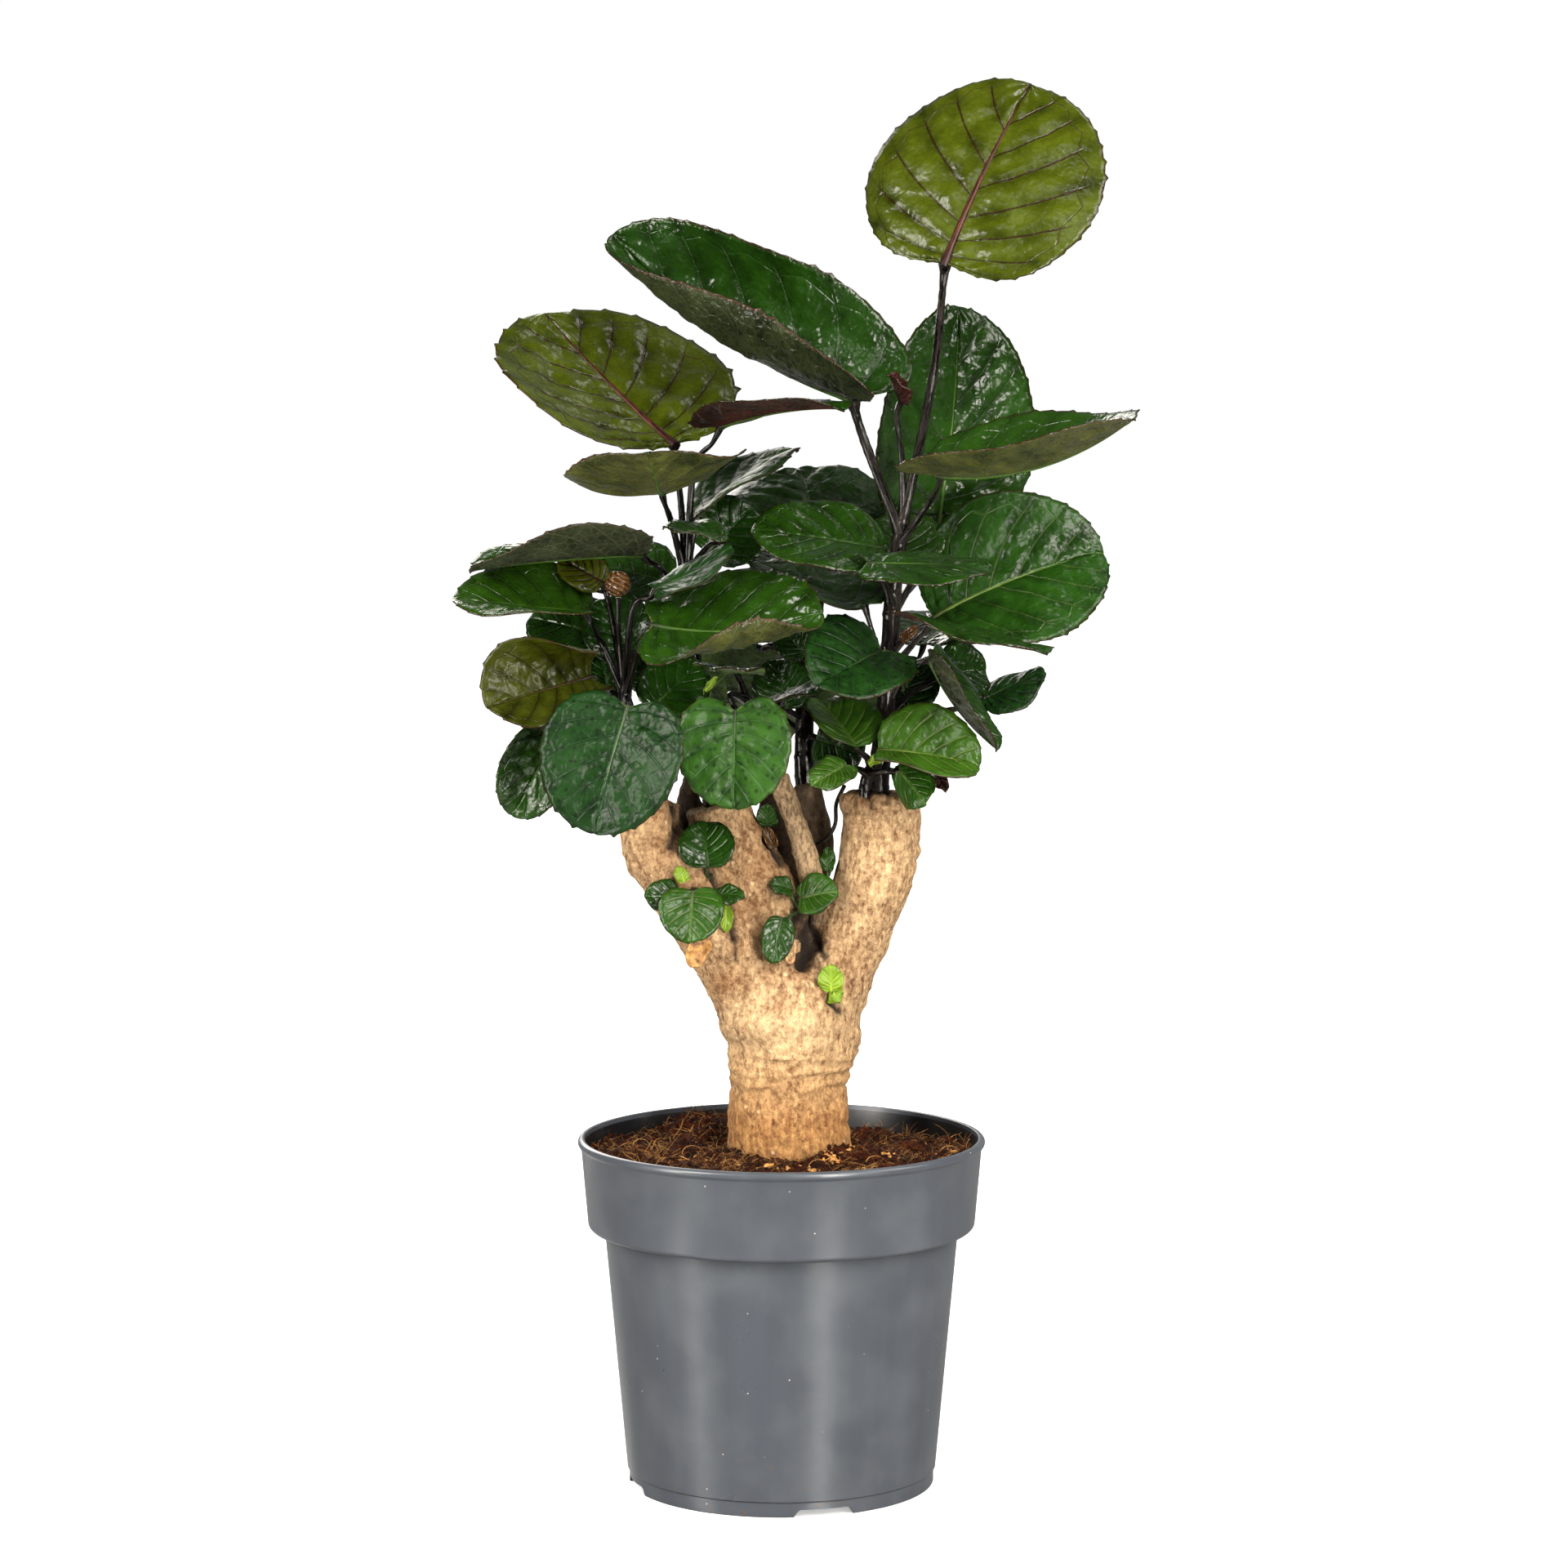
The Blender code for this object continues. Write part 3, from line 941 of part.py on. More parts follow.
# Shoots with their petioles
sockets = []
for key, rows in STEMS.items():
    path = layout(rows)
    sockets.append(socket(path))
    bars = [tube("stem_" + key, path, 8, STEM_SKIN)]
    if key == "low_right":
        for number, leaf in enumerate(SPRAY):
            start, way = on_stem(path, leaf["start"])
            line = petiole_path(start, leaf, 0.0022, sink=True)
            bars.append(tube(f"petiole_{number}", line, 5, STEM_SKIN, 0.2))
            bars.append(blade_solid(f"blade_{number}", leaf, STATIONS_SMALL, COLUMNS, LEAF_GREEN))
        soften(fuse("spray_low_right", bars, LEAF_GREEN), 50)
        continue
    for name, leaf in LEAVES.items():
        if leaf["stem"] == key:
            start, way = on_stem(path, leaf["start"])
            line = petiole_path(start, leaf, 0.0030)
            bars.append(tube("petiole_" + name, line, 5, STEM_SKIN, 0.2))
    if key == "left":
        start, way = on_stem(path, BUD["start"])
        line = [(start, 0.0018), (seen(*BUD["via"]), 0.0014), (seen(*BUD["base"]), 0.0012)]
        bars.append(tube("petiole_bud", curve_points(line, 0.012), 5, STEM_SKIN, 0.2))
    soften(fuse("shoot_" + key, bars, STEM_SKIN), 50)

# Blades
LEAF_PAINTS = {
    "young": LEAF_YOUNG, "green": LEAF_GREEN, "bloom": LEAF_BLOOM,
    "lime": SPROUT_LIME, "brown": LEAF_BROWN, "dry": LEAF_DRY,
}
for name, leaf in LEAVES.items():
    stations = STATIONS_SMALL if leaf["length"] < 60 or "_back_" in name else STATIONS
    blade_solid(name, leaf, stations, COLUMNS, LEAF_PAINTS[leaf["mat"]])


def bud_solid():
    """Young leaf rolled into a ridged ball at the end of its petiole."""
    base = seen(*BUD["base"])
    tall = BUD["height"] * MM
    wide = BUD["width"] / 2.0 * MM
    points = []
    for k in range(BUD_RINGS + 1):
        t = k / BUD_RINGS
        radius = max(0.0012, wide * math.sin(math.pi * (0.08 + 0.86 * t)) ** 0.7)
        points.append((base + Vector((0.0, 0.0, 0.0007 + tall * t)), radius))
    bud = tube("bud_left", points, 12, LEAF_BROWN)
    for number, vert in enumerate(bud.data.vertices):
        ridge = 1.0 + 0.06 * math.cos(math.pi * (number % 12))
        axis = base + Vector((0.0, 0.0, vert.co.z - base.z))
        vert.co = axis + (vert.co - axis) * ridge
    soften(bud, 60)


bud_solid()


def on_wood(tree, column, row):
    """Place and outward direction where a line of sight meets the wood."""
    eye = Vector((VIEW_SIDE, -VIEW_DISTANCE, VIEW_HEIGHT))
    ray = (seen(column, row, 0.0) - eye).normalized()
    place, outward, _, _ = tree.ray_cast(eye, ray)
    return place, outward


# Sprigs rooted in the wood
wood = BVHTree.FromPolygons(
    [v.co.copy() for v in trunk.data.vertices], [tuple(f.vertices) for f in trunk.data.polygons])
for name, sprig in SPRIGS.items():
    place, outward = on_wood(wood, *sprig["root"])
    depth = place.y / MM
    inner = place - outward * SPRIG_DEPTH
    first = seen(*sprig["leaves"][0]["base"][:2], depth + sprig["leaves"][0]["base"][2])
    neck = place + outward * 0.0030 + (first - place) * 0.15
    path = [(inner, SPRIG_RADIUS), (place + outward * 0.0008, SPRIG_RADIUS), (neck, SPRIG_RADIUS)]
    sockets.append(socket(path[:2]))
    paint = LEAF_PAINTS[sprig["mat"]]
    bars = [tube("root", path, 6, paint)]
    for number, row in enumerate(sprig["leaves"]):
        leaf = SMALL_LEAF | row
        column, line, ahead = row["base"]
        leaf["base"] = (column, line, depth + ahead)
        leaf["petiole"] = 0.0007
        inside = neck - outward * 0.0012
        bars.append(tube(f"petiole_{number}", petiole_path(inside, leaf, 0.0011, sink=True), 5, paint))
        bars.append(blade_solid(f"blade_{number}", leaf, leaf["stations"], leaf["columns"], paint))
    soften(fuse(name, bars, paint), 50)

carve(trunk, sockets)
soften(trunk, 70)
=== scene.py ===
import math
import random

import bpy
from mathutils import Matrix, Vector, noise
from mathutils.bvhtree import BVHTree


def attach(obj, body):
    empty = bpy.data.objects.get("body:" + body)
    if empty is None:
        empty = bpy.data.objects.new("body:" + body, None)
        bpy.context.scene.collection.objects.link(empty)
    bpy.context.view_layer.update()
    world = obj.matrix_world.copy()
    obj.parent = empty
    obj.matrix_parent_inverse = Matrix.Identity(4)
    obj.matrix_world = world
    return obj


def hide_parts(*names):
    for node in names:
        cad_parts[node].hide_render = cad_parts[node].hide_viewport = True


# Potted polyscias: a forked stump of tan bark in a grey grower's pot of coco peat, with dark
# shoots and large round glossy leaves. Metres, +Z up, the pot's bottom centre at the origin,
# the front towards -Y. Stems and leaves are laid out as in the source of the solids: a place
# is given as its column and row in the front view (a 1920 unit square frame) and its depth
# behind the pot's axis in mm.

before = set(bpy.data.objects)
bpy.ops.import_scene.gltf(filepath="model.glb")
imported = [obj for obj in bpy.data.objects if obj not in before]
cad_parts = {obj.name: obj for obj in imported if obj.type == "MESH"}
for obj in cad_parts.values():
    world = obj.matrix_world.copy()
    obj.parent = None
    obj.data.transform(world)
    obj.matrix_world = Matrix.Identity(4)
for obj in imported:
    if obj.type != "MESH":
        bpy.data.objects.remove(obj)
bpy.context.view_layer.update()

MM = 0.001
TINT = dict(out=2, data_type="RGBA")
TIMES = dict(operation="MULTIPLY")
TIMES_PLUS = dict(operation="MULTIPLY_ADD")

# Front view that the layout is measured in
VIEW_DISTANCE = 2.4913
VIEW_HEIGHT = 0.6481
VIEW_SIDE = 0.0015
VIEW_TILT = 0.0936
VIEW_FOCAL = 5236.0
VIEW_SIZE = 1920.0
VIEW_CENTRE = VIEW_SIZE / 2.0
VIEW_UNITS_PER_MM = 2.09
SENSOR = 36.0
EYE = Vector((VIEW_SIDE, -VIEW_DISTANCE, VIEW_HEIGHT))

# Pot, in metres
POT_HEIGHT = 0.2058
RIM_RADIUS = 0.1200
RIM_BEAD = 0.0026
BAND_TOP_RADIUS = 0.1180
BAND_BOTTOM_RADIUS = 0.1142
BAND_BOTTOM = 0.1527
BODY_TOP_RADIUS = 0.1044
BODY_FOOT_RADIUS = 0.0909
FOOT_RADIUS = 0.0901
FOOT_HEIGHT = 0.0090
FLOOR_UNDER = 0.0055
FLOOR_TOP = 0.0078
WALL = 0.0020
POT_SIDES = 160
NOTCH_TOP_WIDTH = 0.0296
NOTCH_BOTTOM_WIDTH = 0.0370
NOTCH_HEIGHT = 0.0045
NOTCH_TURN = math.radians(16.0)
NOTCH_COUNT = 4
NOTCH_ROUNDING = 0.0012
DRAIN_RADIUS = 0.0055
DRAIN_CIRCLE = 0.0620
DRAIN_COUNT = 8

# Soil
SOIL_LEVEL = 0.1985
SOIL_SIDES = 200
SOIL_STEPS = 56
CRUMBS = 2300
CRUMB_REACH = 0.1130
THREADS = 5200
THREAD_REACH = 0.1120

# Wood
HOLE_FLOOR = 0.1480
TRUNK_X = 0.0049
WOOD_GRID = 0.0013

# Leaves
BLADE = 0.0008
VEIN_SWEEP = 2.2
SINUS_WIDTH = 0.36
EGG = 0.07
WAVE = 0.0012
WAVES = 2.5
PETIOLE_TIP_RADIUS = 0.0011
VEIN_ROWS = (0.0, 0.10, 0.22, 0.35, 0.48, 0.61, 0.73, 0.85, 1.0)
SPRAY_SEED = 60
SPRIG_SEED = 80
DEEP_SEED = 120
BIT_SEED = 160


def seen(column, row, depth):
    """Point on the line of sight through a place of the front view, at a depth in mm."""
    across = (column - VIEW_CENTRE) / VIEW_FOCAL
    upward = (VIEW_CENTRE - row) / VIEW_FOCAL
    ray = Vector((
        across,
        math.cos(VIEW_TILT) + upward * math.sin(VIEW_TILT),
        -math.sin(VIEW_TILT) + upward * math.cos(VIEW_TILT),
    ))
    return EYE + ray * ((depth * MM + VIEW_DISTANCE) / ray.y)


def reach(start, column, row, length, far):
    """Point on a line of sight at a given length from the start, on its far or near side."""
    ray = (seen(column, row, 0.0) - EYE).normalized()
    foot = EYE + ray * (start - EYE).dot(ray)
    miss = (foot - start).length
    rest = math.sqrt(max(length * length - miss * miss, 0.0))
    point = foot + ray * (rest if far else -rest)
    return start + (point - start).normalized() * length


def place_in_view(point):
    """Column and row of the front view that a point lies at."""
    away = point - EYE
    depth = away.y * math.cos(VIEW_TILT) - away.z * math.sin(VIEW_TILT)
    height = away.y * math.sin(VIEW_TILT) + away.z * math.cos(VIEW_TILT)
    return VIEW_CENTRE + VIEW_FOCAL * away.x / depth, VIEW_CENTRE - VIEW_FOCAL * height / depth


def linear(code):
    """Linear colour of an sRGB hex value."""
    parts = [int(code[k:k + 2], 16) / 255.0 for k in (1, 3, 5)]
    parts = [c / 12.92 if c <= 0.04045 else ((c + 0.055) / 1.055) ** 2.4 for c in parts]
    return (*parts, 1.0)


def step(a, b, x):
    """Smooth rise from 0 at a to 1 at b."""
    t = min(max((x - a) / (b - a), 0.0), 1.0)
    return t * t * (3.0 - 2.0 * t)


def node_adder(tree):
    """The one function that adds shader nodes to a tree."""
    def add(kind, inputs=None, out=0, ramp=None, **settings):
        """Add a node with its settings and links, and return one of its outputs."""
        made = tree.nodes.new("ShaderNode" + kind)
        for key, value in settings.items():
            setattr(made, key, value)
        for key, value in (inputs or {}).items():
            if isinstance(value, bpy.types.NodeSocket):
                tree.links.new(value, made.inputs[key])
            else:
                made.inputs[key].default_value = linear(value) if isinstance(value, str) else value
        if ramp:
            keys = made.color_ramp.elements
            for place, colour in ramp[2:]:
                keys.new(place)
            for key, (place, colour) in zip(keys, ramp):
                key.position = place
                key.color = linear(colour)
        return made.outputs[out]
    return add


def new_material(name, **sockets):
    """Material whose shader has these plain sockets, with its node adder and that shader."""
    made = bpy.data.materials.new(name)
    made.use_nodes = True
    shader = made.node_tree.nodes["Principled BSDF"]
    for key, value in sockets.items():
        shader.inputs[key.replace("_", " ")].default_value = value
    return made, node_adder(made.node_tree), shader


def plug(shader, **sockets):
    """Link outputs of nodes to a shader's sockets."""
    for key, value in sockets.items():
        shader.id_data.links.new(value, shader.inputs[key.replace("_", " ")])


def link(obj):
    bpy.context.scene.collection.objects.link(obj)


def deselect():
    bpy.ops.object.select_all(action="DESELECT")


def only(obj):
    deselect()
    obj.select_set(True)
    bpy.context.view_layer.objects.active = obj


def modify(obj, kind, **settings):
    """Add a modifier with its settings and apply it."""
    only(obj)
    made = obj.modifiers.new("work", kind)
    for key, value in settings.items():
        setattr(made, key, value)
    bpy.ops.object.modifier_apply(modifier=made.name)


def put_marks(mesh, **marks):
    """Write named point attributes, of one number or three, for the materials to read."""
    for key, values in marks.items():
        wide = isinstance(values[0], tuple)
        mark = mesh.attributes.new(key, "FLOAT_VECTOR" if wide else "FLOAT", "POINT")
        flat = [c for value in values for c in value] if wide else values
        mark.data.foreach_set("vector" if wide else "value", flat)


def body(name, store, material):
    """Mesh object from a store of points, faces and, where there is one, grain marks."""
    verts, faces, grain = store
    mesh = bpy.data.meshes.new(name)
    mesh.from_pydata([tuple(v) for v in verts], [], faces)
    if grain:
        put_marks(mesh, grain=grain)
    mesh.materials.append(material)
    obj = bpy.data.objects.new(name, mesh)
    link(obj)
    return obj


def together(name, parts):
    """Join finished meshes into one piece."""
    deselect()
    for part in parts:
        part.select_set(True)
    bpy.context.view_layer.objects.active = parts[0]
    bpy.ops.object.join()
    parts[0].name = name
    parts[0].data.name = name
    return parts[0]


def smooth(obj, degrees):
    only(obj)
    bpy.ops.object.shade_smooth_by_angle(angle=math.radians(degrees))


def stand_for(piece, slot, *nodes):
    """The piece takes the place of CAD nodes and rides with the plant."""
    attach(piece, "root")
    if nodes:
        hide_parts(*nodes)


def as_path(rows):
    """Points of (position, radius) from rows of column, row, depth and radius in mm."""
    return [(seen(c, r, d), radius * MM) for c, r, d, radius in rows]


def curve_points(points, gap):
    """Smooth curve through points of (position, radius), by rounded spans."""
    out = []
    for i in range(len(points) - 1):
        p0 = points[max(i - 1, 0)]
        p1 = points[i]
        p2 = points[i + 1]
        p3 = points[min(i + 2, len(points) - 1)]
        span = (p2[0] - p1[0]).length
        count = max(1, round(span / gap))
        for k in range(count):
            t = k / count
            t2 = t * t
            t3 = t2 * t
            place = 0.5 * (
                p1[0] * 2.0
                + (p2[0] - p0[0]) * t
                + (p0[0] * 2.0 - p1[0] * 5.0 + p2[0] * 4.0 - p3[0]) * t2
                + (p1[0] * 3.0 - p0[0] - p2[0] * 3.0 + p3[0]) * t3
            )
            blend = t * t * (3.0 - 2.0 * t)
            out.append((place, p1[1] + (p2[1] - p1[1]) * blend))
    out.append(points[-1])
    return out


def rod(store, points, sides, tone=0.5, ridges=0.0):
    """Round bar along points of (position, radius), added to a store of points and faces.

    Its grain mark holds the turn round the bar, the run along it in metres and a tone.
    """
    verts, faces, grain = store
    start = len(verts)
    tangent = (points[1][0] - points[0][0]).normalized()
    helper = Vector((0.0, 1.0, 0.0)) if abs(tangent.z) > 0.5 else Vector((0.0, 0.0, 1.0))
    side = tangent.cross(helper).normalized()
    run = 0.0
    for i, (place, radius) in enumerate(points):
        before = points[max(i - 1, 0)][0]
        after = points[min(i + 1, len(points) - 1)][0]
        run += (place - before).length
        tangent = (after - before).normalized()
        side = (side - tangent * side.dot(tangent)).normalized()
        other = tangent.cross(side)
        for k in range(sides):
            a = 2.0 * math.pi * k / sides
            wide = radius * (1.0 + ridges * math.cos(5.0 * a + 90.0 * run))
            verts.append(place + (side * math.cos(a) + other * math.sin(a)) * wide)
            grain.append((k / sides, run, tone))
    for i in range(len(points) - 1):
        for k in range(sides):
            n = (k + 1) % sides
            a = start + i * sides
            b = a + sides
            faces.append((a + k, a + n, b + n, b + k))
    faces.append(tuple(start + k for k in reversed(range(sides))))
    top = start + (len(points) - 1) * sides
    faces.append(tuple(range(top, top + sides)))


# Trunk limbs: column, row, depth in mm, radius in mm
LIMBS = {
    "foot": [(967, 1440, 0, 36.5), (967, 1405, 0, 36.8), (965, 1370, 0, 35.4),
        (965, 1330, 0, 34.6), (966, 1300, 0, 35.8), (971, 1270, 0, 39.6), (966, 1238, 0, 43.0),
        (958, 1208, 0, 38.0), (948, 1185, 0, 32.0)],
    "left": [(958, 1262, -2, 32.0), (936, 1216, -4, 31.0), (890, 1155, -8, 24.4),
        (863, 1117, -10, 23.6), (835, 1077, -12, 22.6), (813, 1052, -13, 20.8),
        (798, 1028, -13, 19.2), (797, 1003, -12, 17.0), (803, 975, -10, 15.5)],
    "middle": [(958, 1240, 4, 35.0), (948, 1190, 3, 33.0), (938, 1145, 3, 29.0),
        (924, 1090, 4, 24.5), (906, 1050, 5, 22.5), (886, 1015, 6, 20.5), (877, 985, 6, 19.6)],
    "right": [(978, 1262, 0, 32.0), (1003, 1206, 0, 30.0), (1038, 1152, -2, 23.5),
        (1054, 1116, -3, 22.0), (1069, 1078, -4, 22.8), (1076, 1046, -4, 23.2),
        (1079, 1018, -4, 23.2), (1080, 990, -4, 23.0), (1081, 970, -4, 20.5)],
    "cane": [(985, 1150, -8, 8.5), (995, 1100, -9, 7.4), (991, 1065, -9, 7.2),
        (978, 1020, -8, 7.0), (965, 985, -8, 6.7), (954, 950, -8, 6.3)],
    # The back limb, painted dark as shade by the bark's shade mark
    "dark_back": [(968, 1240, 8, 32.0), (970, 1185, 16, 24.0), (975, 1130, 26, 16.0),
        (992, 1080, 28, 11.0), (1001, 1040, 30, 10.0), (996, 1000, 31, 9.5), (986, 962, 32, 9.0)],
    "stub": [(960, 1190, -22, 8.0), (970, 1164, -29, 6.0), (972, 1152, -31, 5.2)],
    "elbow_knot": [(790, 1048, -14, 16.0), (776, 1038, -14, 10.0)],
    "right_knot": [(1036, 1266, 0, 16.0), (1045, 1266, 0, 7.0)],
    "limb_knot": [(1092, 1082, -4, 14.0), (1104, 1076, -4, 9.0)],
    "crown_knot": [(1045, 985, -6, 11.0), (1036, 996, -8, 6.5)],
}

# Dark shoots: column, row, depth and radius; the first point lies in its socket in the wood
STEMS = {
    "left": [(803, 992, -10, 5.2), (800, 965, -10, 5.2), (784, 918, -13, 4.6),
        (768, 868, -16, 4.2), (764, 842, -17, 3.4)],
    "middle": [(876, 1005, 6, 6.2), (872, 965, 6, 6.0), (858, 880, 6, 5.2),
        (848, 800, 4, 4.8), (842, 740, 2, 4.4), (839, 692, 0, 3.6)],
    "cane": [(956, 962, -8, 4.2), (952, 940, -8, 4.2), (938, 896, -9, 3.8),
        (920, 866, -10, 3.4), (910, 850, -11, 2.8)],
    "back": [(989, 975, 32, 6.0), (985, 940, 33, 6.0), (986, 860, 36, 5.2),
        (994, 780, 38, 4.8), (1002, 720, 40, 4.4), (1006, 690, 42, 3.6)],
    "right": [(1076, 990, -4, 6.4), (1076, 955, -4, 6.2), (1081, 900, -4, 5.8),
        (1087, 840, -4, 5.4), (1090, 780, -4, 5.2), (1094, 720, -4, 5.0),
        (1100, 670, -4, 4.8), (1106, 636, -4, 3.8)],
    "low_right": [(1058, 990, -16, 3.4), (1060, 958, -17, 3.4), (1068, 934, -21, 2.6)],
}

# Leaves. The columns of a row: the stem and the row on it where the petiole starts, places
# (column, row, depth) of the petiole's bend and the blade's base, the tip (column, row), real
# length and width in mm, the way that the upper face looks, fold and curl of the left and
# right half and arch of the midrib in degrees, and how deep the cut at the stalk is. Then what
# differs from the usual leaf: whether the tip is farther than the base, twist in degrees, how
# much more the tip curls than the base, skin, petiole radius in metres and look. A look is the
# height of the pillows between veins in mm, the tissue's brightness from 0 to 1, the kind of
# under face, the gap between teeth in mm and the height of the fine puckers in mm.
LEAF = dict(
    far=True, fold=(8, 8), curl=(8, 8), arch=16, sinus=0.12, twist=0, close=0.0, mat="green",
    look=(1.1, 0.42, "green", 11.0))
LEAF_COLUMNS = (
    "stem", "start", "via", "base", "tip", "length", "width", "face", "fold", "curl", "arch",
    "sinus")


def grown(*values, **more):
    """A leaf from the columns of its row and what else differs from the usual leaf."""
    return LEAF | dict(zip(LEAF_COLUMNS, values)) | more


